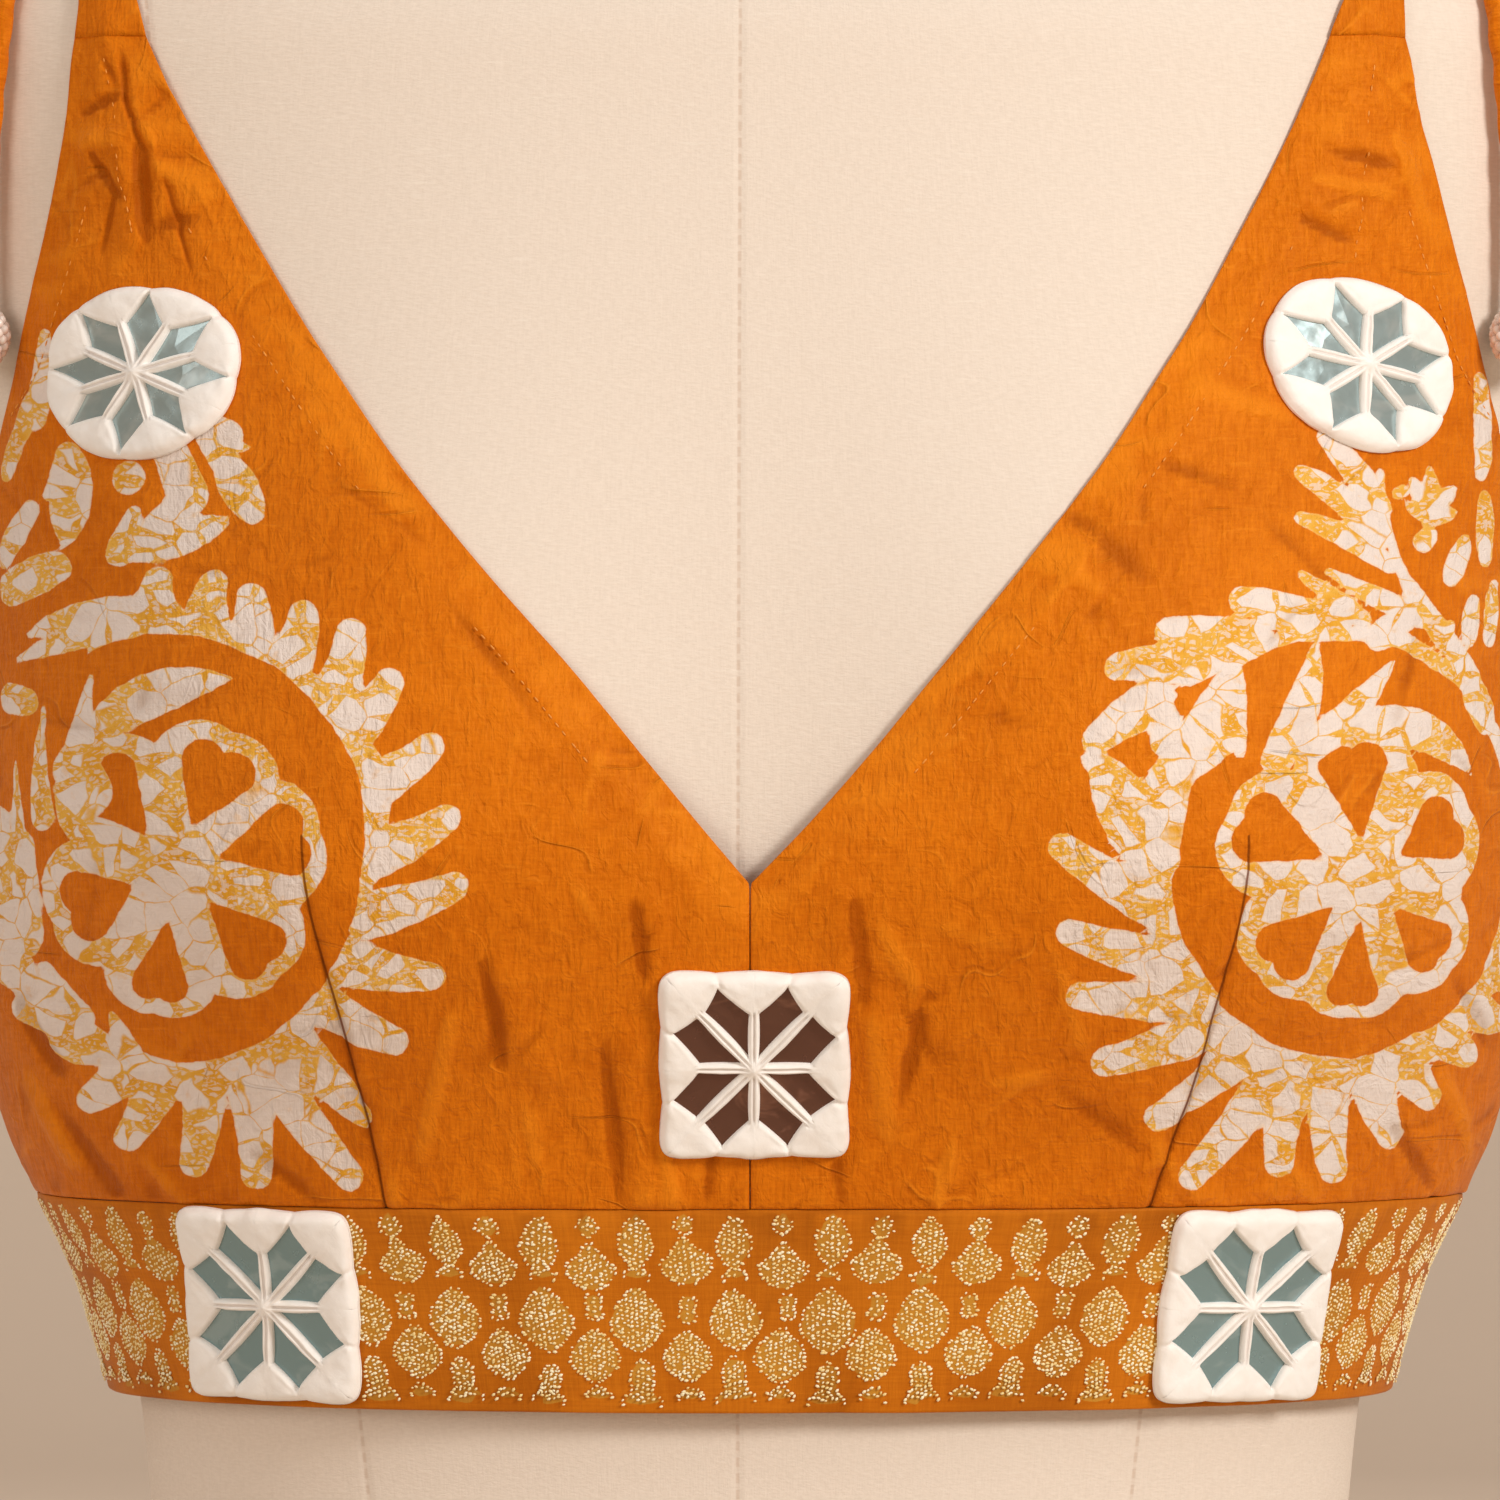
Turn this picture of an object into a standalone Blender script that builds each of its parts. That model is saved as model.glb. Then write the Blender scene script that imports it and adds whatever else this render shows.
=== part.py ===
"""Sleeveless silk blouse with a deep V neck and tied shoulders, worn on a limbless dress form.

Lengths are metres and +Z is up. The blouse faces -Y, so +X is the wearer's left. A point on the cloth
is named by its angle round the body, measured from the centre front towards +X, and by its height.
"""

import math

import bpy
import numpy as np
from mathutils import Matrix

MM = 0.001

# Cloth
WALL = 1.6 * MM  # thickness of a cloth wall
SEAM_GAP = 0.3 * MM  # between two neighbouring pieces
CLEARANCE = 1.7 * MM  # from the form to the cloth

# Heights above the surface that the form stands on
HEM_Z = 263.5 * MM
BAND_SEAM_Z = 305.2 * MM
V_POINT_Z = 371.0 * MM
BACK_POINT_Z = 392.0 * MM
ARMHOLE_Z = 426.0 * MM
STRAP_SEAM_Z = 544.0 * MM

# Angles
SIDE_SEAM = math.radians(91.0)
CENTRE_BACK = math.radians(180.0)
BAND_GAP = 0.0015  # between two neighbouring lengths of the band, in radians

# Sections of the form: height, half width, depth in front of the centre and behind it, in mm
FORM_COLUMNS = ("z", "half_width", "front", "back")
FORM_SECTIONS = (
    (0, 170, 112, 118),
    (60, 172, 110, 120),
    (120, 158, 103, 106),
    (205, 123, 86, 84),
    (240, 126.6, 86, 86),
    (262, 129, 88, 88),
    (285, 136, 92, 92),
    (306, 147, 97, 96),
    (322, 154.5, 101, 98),
    (345, 159.5, 107, 99),
    (380, 161.5, 112, 99),
    (430, 161, 111, 100),
    (467, 166, 108, 102),
    (500, 175, 104, 104),
    (530, 182, 100, 103),
    (545, 184, 98, 100),
    (560, 183.5, 92, 95),
    (575, 177, 82, 86),
    (585, 163, 72, 78),
    (592, 148, 65, 72),
    (603, 117, 57, 66),
    (612, 92, 51, 61),
    (620, 76, 48, 58),
    (632, 66, 46, 55),
    (645, 61, 46, 54),
    (665, 58, 47, 52),
    (690, 57, 48, 50),
)
SECTION_POWER = 2.25  # 2 is an ellipse, more is squarer
FORM_ROWS = (0, 40, 80, 120, 160, 205, 235, 262, 290, 306, 322, 342, 362, 385, 408, 428, 447, 470, 500, 530,
             552, 568, 580, 590, 598, 604, 610, 618, 630, 650, 690)
FORM_ANGLES = 48

# The bust of a general figure, as a smooth swelling on each side
BUST_ANGLE = math.radians(37.5)
BUST_SPREAD = math.radians(20.0)
BUST_Z = 385.0 * MM
BUST_ABOVE = 55.0 * MM
BUST_BELOW = 40.0 * MM
BUST_OUT = 26.0 * MM

# Where the cloth leaves the form: across the hollow between the cups, and at the sides of the hem
BRIDGE_OUT = 4.0 * MM
BRIDGE_Z = 362.0 * MM
BRIDGE_HEIGHT = 28.0 * MM
BRIDGE_SPREAD = math.radians(13.0)
HEM_OUT = 4.0 * MM
HEM_FADE_Z = 335.0 * MM

# Edges of the fronts and backs: height in mm, degrees from the centre seam
FRONT_NECKLINE = {
    "left": ((371, 0), (385, 6.0), (400, 11.8), (415, 17.1), (430, 22.4), (444, 27.5), (459, 33.1),
             (472.6, 37.75), (484.6, 41.75), (501.5, 46.45), (518, 50.5), (530, 53.0), (544, 55.5)),
    "right": ((371, 0), (385, 5.3), (400, 10.8), (415, 16.2), (430, 22.0), (444, 27.35), (459, 33.1),
              (472.6, 37.95), (484.6, 42.1), (501.5, 47.2), (518, 51.6), (530, 54.45), (544, 57.3)),
}
FRONT_ARMHOLE = {
    "left": ((426, 91), (437, 85.5), (447, 79.2), (458, 73.9), (467, 71.1), (484.5, 67.5), (500.7, 64.9),
             (518, 62.9), (528, 61.9), (544, 61.1)),
    "right": ((426, 91), (437, 85.5), (447, 79.1), (458, 73.7), (467, 71.0), (484.5, 67.7), (500.7, 65.3),
              (518, 63.6), (528, 63.0), (544, 62.6)),
}
BACK_NECKLINE = ((392, 0), (402, 12), (415, 21.5), (430, 29), (450, 36.5), (475, 43.5), (500, 49),
                 (525, 53.5), (544, 56.4))
BACK_ARMHOLE = ((426, 89), (437, 83.0), (447, 77.0), (458, 72.0), (475, 67.8), (500, 64.6), (525, 62.9),
                (544, 62.4))

# Straps over the shoulder: degrees up from the strap seam, distances of both edges from the
# middle in mm
STRAP_EDGES = {
    "left": ((6, 121.4, 133.7), (12, 125.4, 135.1), (20, 128.8, 136.0), (35, 131.2, 136.6), (60, 132.0, 137.0)),
    "right": ((6, 125.2, 137.2), (12, 128.2, 137.8), (20, 130.3, 137.8), (35, 131.7, 137.3), (60, 132.0, 137.0)),
    "back": ((6, 122.2, 134.4), (12, 126.0, 135.6), (20, 129.0, 136.2), (35, 131.2, 136.6), (60, 132.0, 137.0)),
}
SEAM_ROUNDS = 4  # of moving the straps' lower corners onto the corners of the panels
KNOT_ANGLE = math.radians(74.0)
KNOT_X = 134.5 * MM
KNOT_RADIUS = 8.4 * MM
KNOT_HALF_HEIGHT = 6.0 * MM
KNOT_LIFT = 6.4 * MM  # of its centre off the form
STRAP_END = 7.7 * MM  # from a strap's end to the knot's centre
STRAP_STEPS = 9
BACK_STRAP_STEPS = 12

# Points of the grids: rows of a panel below its neckline, below its armhole and above it, and steps across
FRONT_ROWS = (7, 5, 11)
FRONT_COLUMNS = (6, 7)  # on both sides of the dart
BACK_ROWS = (6, 3, 8)
BACK_COLUMNS = 14
BAND_ROWS = 3
BAND_FRONT_STEPS = 40
BAND_BACK_STEPS = 16

# Bust darts, sewn shut: height in mm and degrees from the centre, from the band up to the point
DARTS = {
    "left": ((305.5, 41.6), (325, 41.6), (348, 40.3), (381, 39.2)),
    "right": ((305.5, 38.1), (325, 37.2), (348, 36.0), (381, 35.4)),
}
DART_PINCH = 0.7 * MM

# Largest folds, as soft ridges: both ends in degrees and mm of height, half width and height in mm
FOLDS = (
    (-9.6, 366, -8.8, 352, 2.6, 1.0),
    (-12.0, 340, -11.0, 309, 2.8, 0.9),
    (-22.5, 353, -20.5, 334, 3.0, 0.9),
    (8.6, 368, 9.0, 350, 2.6, 1.0),
    (11.5, 348, 14.5, 327, 2.8, 1.0),
    (-56.8, 525, -60.5, 521, 2.0, 1.0),
    (-55.5, 517, -60.0, 512, 2.0, 0.9),
    (-58.0, 522, -57.0, 503, 1.8, 1.1),
    (55.0, 521, 60.5, 518, 2.2, 0.8),
    (52.0, 510, 57.5, 506, 2.2, 0.8),
)

# Mirror patches: name, degrees, height, half width, half height, all in mm, shape, turn in degrees,
# degrees from its own axis to its first spoke, and how far it leans sideways for each mm up
PATCHES = (
    ("patch_round_right", -55.1, 474.4, 24.6, 17.7, "oval", -4.0, 22.5, 0.0),
    ("patch_round_left", 55.4, 476.1, 23.6, 17.6, "oval", -10.0, 0.0, 0.0),
    ("patch_centre", 0.4, 335.5, 18.9, 21.0, "square", 0.0, 0.0, 0.0),
    ("patch_band_right", -52.0, 285.2, 21.0, 20.4, "square", -0.5, 0.0, 0.20),
    ("patch_band_left", 53.8, 284.7, 21.0, 20.5, "square", -1.0, 0.0, -0.16),
)
PATCH_SEAT = 0.5 * MM  # from the cloth to the patch
MIRROR_THICKNESS = 0.8 * MM
COVER_OVER_MIRROR = 1.6 * MM  # underside of the cover over the mirror
COVER_TOP = 2.9 * MM
SPOKE_TOP = 2.5 * MM
RIM_TOP = 1.5 * MM
SPOKE_HALF_WIDTH = 1.0 * MM
SPOKES = 8
HUB = 0.15  # the shares below are of the patch's half size
SPOKE_REACH_AXIS = 0.57
SPOKE_REACH_DIAGONAL = 0.73
WINDOW_REACH = 0.90
SKIRT = 0.955
MIRROR_REACH = 0.925
TURN_STEP = 0.01  # radians, to measure the cloth under a patch

# Tie cords: rolled silk out of the knot, ending in a ball of beads
CORD_RADIUS = 2.1 * MM
CORD_STEP = 9.0 * MM
CORD_GAP = 0.35 * MM  # from a cord's end to the knot or the ball that it comes out of
BALL_RADIUS = 7.8 * MM
# Routes between their ends: distance from the middle in mm, degrees up from the strap seam, mm off the form
TAIL_FRONT = ((145.5, 48.0, 4.6), (149.0, 25.0, 3.4), (152.2, 0.0, 3.2), (153.6, -20.0, 4.2))
TAIL_BACK = ((148.5, 100.0, 4.6), (152.5, 130.0, 3.4), (156.0, 155.0, 3.2), (158.0, 178.0, 4.2))
LOOP_INNER = ((123.5, 46.0, 4.2), (117.0, 20.0, 3.2), (112.0, 9.0, 3.2), (106.5, 16.0, 3.2),
              (108.0, 38.0, 3.4), (116.0, 60.0, 4.6))
LOOP_OUTER = ((149.5, 60.0, 4.8), (157.0, 37.0, 3.4), (163.0, 22.0, 3.3), (168.0, 30.0, 3.3),
              (166.0, 54.0, 3.8), (157.0, 74.0, 4.8))
# Ways out of the knot, in degrees from outwards, turning to the back
EXITS = {"tail_front": 302.0, "tail_back": 47.0, "loop_inner": (240.0, 208.0), "loop_outer": (333.0, 4.0)}
# The balls: distance from the middle in mm, degrees up from the strap seam, mm from their centre to the form
BALLS = {"front": (153.0, -47.0, 8.5), "back": (158.8, 207.0, 7.3)}


class Curve:
    """A smooth curve through a table's rows that never overshoots them."""

    def __init__(self, at, values):
        self.at = np.array(at, float)
        self.values = np.array(values, float)
        step = np.diff(self.at)
        slope = np.diff(self.values) / step
        self.step = step
        self.tangent = np.zeros(len(self.at))
        self.tangent[0], self.tangent[-1] = slope[0], slope[-1]
        for i in range(1, len(self.at) - 1):
            if slope[i - 1] * slope[i] > 0:
                before, after = step[i] * 2 + step[i - 1], step[i] + step[i - 1] * 2
                self.tangent[i] = (before + after) / (before / slope[i - 1] + after / slope[i])

    def __call__(self, at):
        at = np.clip(at, self.at[0], self.at[-1])
        i = np.clip(np.searchsorted(self.at, at, side="right") - 1, 0, len(self.step) - 1)
        h = self.step[i]
        t = (at - self.at[i]) / h
        return ((1 + 2 * t) * (1 - t) ** 2 * self.values[i] + t * (1 - t) ** 2 * h * self.tangent[i]
                + t * t * (3 - 2 * t) * self.values[i + 1] + t * t * (t - 1) * h * self.tangent[i + 1])


def column(rows, names, name, scale):
    """One named column of a table, scaled."""
    return [row[names.index(name)] * scale for row in rows]


def edge_curve(rows):
    """An edge's angle in radians from its height in metres."""
    return Curve([z * MM for z, _ in rows], [math.radians(angle) for _, angle in rows])


FORM_HEIGHTS = column(FORM_SECTIONS, FORM_COLUMNS, "z", MM)
HALF_WIDTH = Curve(FORM_HEIGHTS, column(FORM_SECTIONS, FORM_COLUMNS, "half_width", MM))
FRONT_DEPTH = Curve(FORM_HEIGHTS, column(FORM_SECTIONS, FORM_COLUMNS, "front", MM))
BACK_DEPTH = Curve(FORM_HEIGHTS, column(FORM_SECTIONS, FORM_COLUMNS, "back", MM))


def fade(low, high, value):
    """0 below low and 1 above high, with a smooth step between."""
    t = np.clip((value - low) / (high - low), 0, 1)
    return t * t * (3 - 2 * t)


def bell(value, spread):
    """A bell curve of height 1."""
    return np.exp(-((value / spread) ** 2) / 2)


def wrapped(theta):
    """The same angle between -180 and 180 degrees."""
    return np.arctan2(np.sin(theta), np.cos(theta))


def form_radius(theta, z):
    """The form's distance from the upright axis, a rounded section with the bust swelling out of it."""
    depth = np.where(np.cos(theta) > 0, FRONT_DEPTH(z), BACK_DEPTH(z))
    across = (np.abs(np.sin(theta)) / HALF_WIDTH(z)) ** SECTION_POWER
    along = (np.abs(np.cos(theta)) / depth) ** SECTION_POWER
    radius = (across + along) ** (-1 / SECTION_POWER)
    height = bell(z - BUST_Z, np.where(z > BUST_Z, BUST_ABOVE, BUST_BELOW))
    for side in (-1, 1):
        radius = radius + BUST_OUT * height * bell(wrapped(theta) - side * BUST_ANGLE, BUST_SPREAD)
    return radius


def fold_height(theta, z):
    """How far the largest folds lift the cloth."""
    total = np.zeros(np.broadcast(theta, z).shape)
    around = form_radius(theta, z)
    for angle0, z0, angle1, z1, half_width, out in FOLDS:
        angle0, angle1 = math.radians(angle0), math.radians(angle1)
        start = np.stack([around * (wrapped(theta) - angle0), z - z0 * MM + 0 * around])
        run = np.stack([around * (angle1 - angle0), (z1 - z0) * MM + 0 * around])
        share = np.clip((start * run).sum(0) / (run * run).sum(0), 0, 1)
        away = np.sqrt(((start - share * run) ** 2).sum(0))
        total = total + out * MM * bell(away, half_width * MM)
    return total


def cloth_radius(theta, z):
    """The inside of the cloth: on the form, bridged between the cups and standing off at the hem."""
    bridge = BRIDGE_OUT * bell(wrapped(theta), BRIDGE_SPREAD) * bell(z - BRIDGE_Z, BRIDGE_HEIGHT)
    hem = HEM_OUT * (1 - fade(HEM_Z, HEM_FADE_Z, z))
    return form_radius(theta, z) + CLEARANCE + bridge + hem + fold_height(theta, z)


def polar_point(radius, theta, z):
    """The point at a radius, an angle and a height."""
    return np.stack(np.broadcast_arrays(radius * np.sin(theta), -radius * np.cos(theta), z), axis=-1)


def surface_normal(place, a, b, step_a, step_b):
    """The unit normal of place(a, b), by central differences."""
    across = place(a + step_a, b) - place(a - step_a, b)
    up = place(a, b + step_b) - place(a, b - step_b)
    normal = np.cross(across, up)
    return normal / np.linalg.norm(normal, axis=-1, keepdims=True)


def cloth_point(theta, z, lift):
    """A point off the inside of the cloth, along its normal. A lift of WALL is the outside."""
    def place(angle, height):
        return polar_point(cloth_radius(angle, height), angle, height)

    theta, z = np.broadcast_arrays(np.asarray(theta, float), np.asarray(z, float))
    normal = surface_normal(place, theta, z, 0.004, 0.4 * MM)
    return place(theta, z) + normal * np.asarray(lift)[..., None]


def shoulder_point(x, angle, lift):
    """A point over the shoulder, by its distance from the middle and the angle up from the strap seam.

    Each ray starts on the middle plane at the strap seam's height and is followed to the form.
    """
    def place(side, turn):
        near, far = np.zeros(side.shape), np.full(side.shape, 0.2)
        for _ in range(36):
            middle = (near + far) / 2
            y, z = -middle * np.cos(turn), STRAP_SEAM_Z + middle * np.sin(turn)
            inside = np.hypot(side, y) < form_radius(np.arctan2(side, -y), z)
            near, far = np.where(inside, middle, near), np.where(inside, far, middle)
        return np.stack([side, -near * np.cos(turn), STRAP_SEAM_Z + near * np.sin(turn)], axis=-1)

    x, angle = np.broadcast_arrays(np.asarray(x, float), np.asarray(angle, float))
    normal = surface_normal(place, x, angle, 1.5 * MM, 0.03)
    return place(x, angle) + normal * np.asarray(lift)[..., None]


def make_material(name, colour, roughness, metallic=0.0):
    """A plain material. The colour is linear."""
    material = bpy.data.materials.new(name)
    material.use_nodes = True
    shader = material.node_tree.nodes["Principled BSDF"]
    shader.inputs["Base Color"].default_value = (*colour, 1.0)
    shader.inputs["Roughness"].default_value = roughness
    shader.inputs["Metallic"].default_value = metallic
    return material


def add_object(name, points, faces, material, smooth=True):
    """An object from a list of points and faces."""
    mesh = bpy.data.meshes.new(name)
    mesh.from_pydata([tuple(map(float, p)) for p in points], [], faces)
    mesh.materials.append(material)
    if smooth:
        mesh.shade_smooth()
        mesh.set_sharp_from_angle(angle=math.radians(40))
    mesh.validate()
    made = bpy.data.objects.new(name, mesh)
    bpy.context.scene.collection.objects.link(made)
    return made


def wall(name, inner, outer, material):
    """A closed cloth wall between two grids of points, rows upwards and columns to the right from outside."""
    rows, columns = inner.shape[:2]
    count = rows * columns

    def at(row, col, out):
        return row * columns + col + count * out

    faces = []
    for r in range(rows - 1):
        for c in range(columns - 1):
            faces.append((at(r, c, 1), at(r, c + 1, 1), at(r + 1, c + 1, 1), at(r + 1, c, 1)))
            faces.append((at(r, c, 0), at(r + 1, c, 0), at(r + 1, c + 1, 0), at(r, c + 1, 0)))
    for c in range(columns - 1):
        faces.append((at(0, c, 0), at(0, c + 1, 0), at(0, c + 1, 1), at(0, c, 1)))
        faces.append((at(rows - 1, c, 1), at(rows - 1, c + 1, 1), at(rows - 1, c + 1, 0), at(rows - 1, c, 0)))
    for r in range(rows - 1):
        faces.append((at(r, 0, 0), at(r, 0, 1), at(r + 1, 0, 1), at(r + 1, 0, 0)))
        faces.append((at(r, columns - 1, 1), at(r, columns - 1, 0), at(r + 1, columns - 1, 0),
                      at(r + 1, columns - 1, 1)))
    points = np.concatenate([inner.reshape(-1, 3), outer.reshape(-1, 3)])
    return add_object(name, points, faces, material)


def spaced(low, high, steps):
    """Evenly spaced values with both ends."""
    return list(np.linspace(low, high, steps + 1))


def dress_form(material):
    """The closed torso, from the flat underside at the hips to the cap of the neck."""
    angles = np.linspace(0, 2 * math.pi, FORM_ANGLES, endpoint=False)
    heights = np.array(FORM_ROWS) * MM
    grid = polar_point(form_radius(angles[None, :], heights[:, None]), angles[None, :], heights[:, None])
    points = list(grid.reshape(-1, 3))
    faces = [tuple(range(FORM_ANGLES))[::-1]]
    for r in range(len(heights) - 1):
        for c in range(FORM_ANGLES):
            d = (c + 1) % FORM_ANGLES
            faces.append((r * FORM_ANGLES + c, r * FORM_ANGLES + d, (r + 1) * FORM_ANGLES + d,
                          (r + 1) * FORM_ANGLES + c))
    top = (len(heights) - 1) * FORM_ANGLES
    faces.append(tuple(range(top, top + FORM_ANGLES)))
    return add_object("dress_form", points, faces, material)


def split_columns(inner_edge, middle, outer_edge, steps_in, steps_out):
    """Columns across a panel's row, with one on the line in the middle."""
    return spaced(inner_edge, middle, steps_in) + spaced(middle, outer_edge, steps_out)[1:]


def panel_heights(neck_z, counts):
    """The heights of a panel's rows: from the band to the neck, to the armhole and to the strap."""
    marks = (BAND_SEAM_Z + SEAM_GAP, neck_z, ARMHOLE_Z, STRAP_SEAM_Z)
    low, middle, high = (spaced(a, b, n) for a, b, n in zip(marks, marks[1:], counts))
    return low + middle[1:] + high[1:]


def front_panel(side, material):
    """A front: centre seam, neckline and strap on its inner edge, side seam and armhole on its outer edge."""
    sign = 1 if side == "left" else -1
    neckline, armhole = edge_curve(FRONT_NECKLINE[side]), edge_curve(FRONT_ARMHOLE[side])
    dart = edge_curve(DARTS[side])
    dart_foot, dart_tip = (DARTS[side][0][0] * MM, DARTS[side][-1][0] * MM)
    heights = panel_heights(V_POINT_Z, FRONT_ROWS)
    steps_in, steps_out = FRONT_COLUMNS
    angles, pinch = [], []
    for z in heights:
        half_gap = SEAM_GAP / 2 / float(cloth_radius(0.0, z))
        inner_edge = max(float(neckline(z)) if z > V_POINT_Z else 0.0, half_gap)
        outer_edge = float(armhole(z)) if z > ARMHOLE_Z else SIDE_SEAM - half_gap
        share = float(dart(min(z, dart_tip))) / SIDE_SEAM
        line = inner_edge + (outer_edge - inner_edge) * share
        angles.append([sign * a for a in split_columns(inner_edge, line, outer_edge, steps_in, steps_out)])
        depth = DART_PINCH * float(1 - fade(dart_foot, dart_tip, z)) if z < dart_tip else 0.0
        pinch.append([depth if c == steps_in else 0.0 for c in range(steps_in + steps_out + 1)])
    theta, pinch = np.array(angles), np.array(pinch)
    z = np.repeat(np.array(heights)[:, None], theta.shape[1], axis=1)
    if sign < 0:
        theta, pinch = theta[:, ::-1], pinch[:, ::-1]
    return wall("front_" + side, cloth_point(theta, z, -pinch), cloth_point(theta, z, WALL - pinch), material)


def back_panel(side, material):
    """A back, from the side seam to the opening at the centre back, where its edges meet on hidden hooks."""
    sign = 1 if side == "left" else -1
    neckline, armhole = edge_curve(BACK_NECKLINE), edge_curve(BACK_ARMHOLE)
    heights = panel_heights(BACK_POINT_Z, BACK_ROWS)
    rows = []
    for z in heights:
        half_gap = SEAM_GAP / 2 / float(cloth_radius(CENTRE_BACK, z))
        near = max(float(neckline(z)) if z > BACK_POINT_Z else 0.0, half_gap)
        far = float(armhole(z)) if z > ARMHOLE_Z else CENTRE_BACK - SIDE_SEAM - half_gap
        rows.append([sign * (CENTRE_BACK - a) for a in spaced(far, near, BACK_COLUMNS)])
    theta = np.array(rows)
    z = np.repeat(np.array(heights)[:, None], theta.shape[1], axis=1)
    if sign < 0:
        theta = theta[:, ::-1]
    return wall("back_" + side, cloth_point(theta, z, 0.0 * z), cloth_point(theta, z, WALL + 0 * z), material)


def band(name, start, end, steps, material):
    """A stretch of the hem band between two angles."""
    heights = np.array(spaced(HEM_Z, BAND_SEAM_Z, BAND_ROWS))
    theta, z = np.meshgrid(np.linspace(start, end, steps + 1), heights)
    return wall(name, cloth_point(theta, z, 0.0 * z), cloth_point(theta, z, WALL + 0 * z), material)


def seam_edges(neckline, armhole, centre):
    """Distances from the middle at which a strap's rays start, so that it meets a panel's top corners."""
    found = []
    for rows in (neckline, armhole):
        edge = abs(float(cloth_point(centre - edge_curve(rows)(STRAP_SEAM_Z), STRAP_SEAM_Z, WALL)[0]))
        x = edge
        for _ in range(SEAM_ROUNDS):
            x += edge - float(shoulder_point(x, centre, CLEARANCE + WALL)[0])
        found.append(x)
    return found


def strap(name, side, material):
    """The narrowing strap from a panel's top to the knot, at the front or over the back of the shoulder."""
    sign = 1 if side == "left" else -1
    front = name.startswith("front")
    if front:
        inner_x, outer_x = seam_edges(FRONT_NECKLINE[side], FRONT_ARMHOLE[side], 0.0)
    else:
        inner_x, outer_x = seam_edges(BACK_NECKLINE, BACK_ARMHOLE, CENTRE_BACK)
    edges = STRAP_EDGES[side if front else "back"]
    angles = [0.0] + [math.radians(a) for a, _, _ in edges]
    inner = Curve(angles, [inner_x] + [x * MM for _, x, _ in edges])
    outer = Curve(angles, [outer_x] + [x * MM for _, _, x in edges])
    reach = float(np.linalg.norm(shoulder_point(KNOT_X, KNOT_ANGLE, 0.0) - (KNOT_X, 0, STRAP_SEAM_Z)))
    knot_clear = STRAP_END / reach
    start = SEAM_GAP / reach
    end = KNOT_ANGLE - knot_clear if front else math.pi - KNOT_ANGLE - knot_clear
    turns = spaced(start, end, STRAP_STEPS if front else BACK_STRAP_STEPS)
    x = np.array([spaced(float(inner(t)), float(outer(t)), 3) for t in turns])
    turn = np.repeat(np.array(turns)[:, None], x.shape[1], axis=1)
    if not front:
        turn = math.pi - turn
    x = x * sign
    if (sign < 0) == front:
        x, turn = x[:, ::-1], turn[:, ::-1]
    return wall(f"{name}_{side}", shoulder_point(x, turn, CLEARANCE + 0 * x),
                shoulder_point(x, turn, CLEARANCE + WALL + 0 * x), material)


def ball(name, centre, radii, segments, rings, material):
    """A closed round or flattened ball."""
    points = [(0, 0, -1)]
    for r in range(1, rings):
        tilt = math.pi * (r / rings - 0.5)
        for s in range(segments):
            turn = 2 * math.pi * s / segments
            points.append((math.cos(tilt) * math.cos(turn), math.cos(tilt) * math.sin(turn), math.sin(tilt)))
    points.append((0, 0, 1))
    faces, last = [], len(points) - 1
    for s in range(segments):
        t = (s + 1) % segments
        faces.append((0, 1 + t, 1 + s))
        for r in range(rings - 2):
            low, high = 1 + r * segments, 1 + (r + 1) * segments
            faces.append((low + s, low + t, high + t, high + s))
        faces.append((last, last - segments + s, last - segments + t))
    made = add_object(name, np.array(points) * radii, faces, material)
    made.location = centre
    return made


def smooth_route(points, step):
    """Evenly spaced points along a smooth curve through a route's own points."""
    points = np.array(points, float)
    padded = np.vstack([2 * points[0] - points[1], points, 2 * points[-1] - points[-2]])
    fine = []
    for i in range(1, len(padded) - 2):
        a, b, c, d = padded[i - 1:i + 3]
        for t in np.linspace(0, 1, 24, endpoint=False):
            fine.append(0.5 * (2 * b + (c - a) * t + (2 * a - 5 * b + 4 * c - d) * t * t
                               + (3 * b - a - 3 * c + d) * t ** 3))
    fine = np.array(fine + [points[-1]])
    length = np.concatenate([[0], np.cumsum(np.linalg.norm(np.diff(fine, axis=0), axis=1))])
    at = np.linspace(0, length[-1], max(3, round(length[-1] / step) + 1))
    return np.stack([np.interp(at, length, fine[:, k]) for k in range(3)], axis=1)


def cord(name, points, material):
    """A round cord along a smooth curve through its route's points."""
    data = bpy.data.curves.new(name, "CURVE")
    data.dimensions = "3D"
    data.bevel_depth = CORD_RADIUS
    data.bevel_resolution = 2
    data.use_fill_caps = True
    line = smooth_route(points, CORD_STEP)
    spline = data.splines.new("POLY")
    spline.points.add(len(line) - 1)
    for point, place in zip(spline.points, line):
        point.co = (*place, 1.0)
    data.materials.append(material)
    made = bpy.data.objects.new(name, data)
    bpy.context.scene.collection.objects.link(made)
    return made


def outline_point(shape, half_width, half_height, turn, share):
    """A point of a patch's outline, towards an angle, scaled by a share."""
    across, up = math.cos(turn), math.sin(turn)
    if shape == "square":
        reach = 1 / max(abs(across), abs(up))
        if abs(abs(across) - abs(up)) < 1e-6:
            reach *= 0.96
        across, up = across * reach, up * reach
    return np.array([across * half_width, up * half_height]) * share


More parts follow.
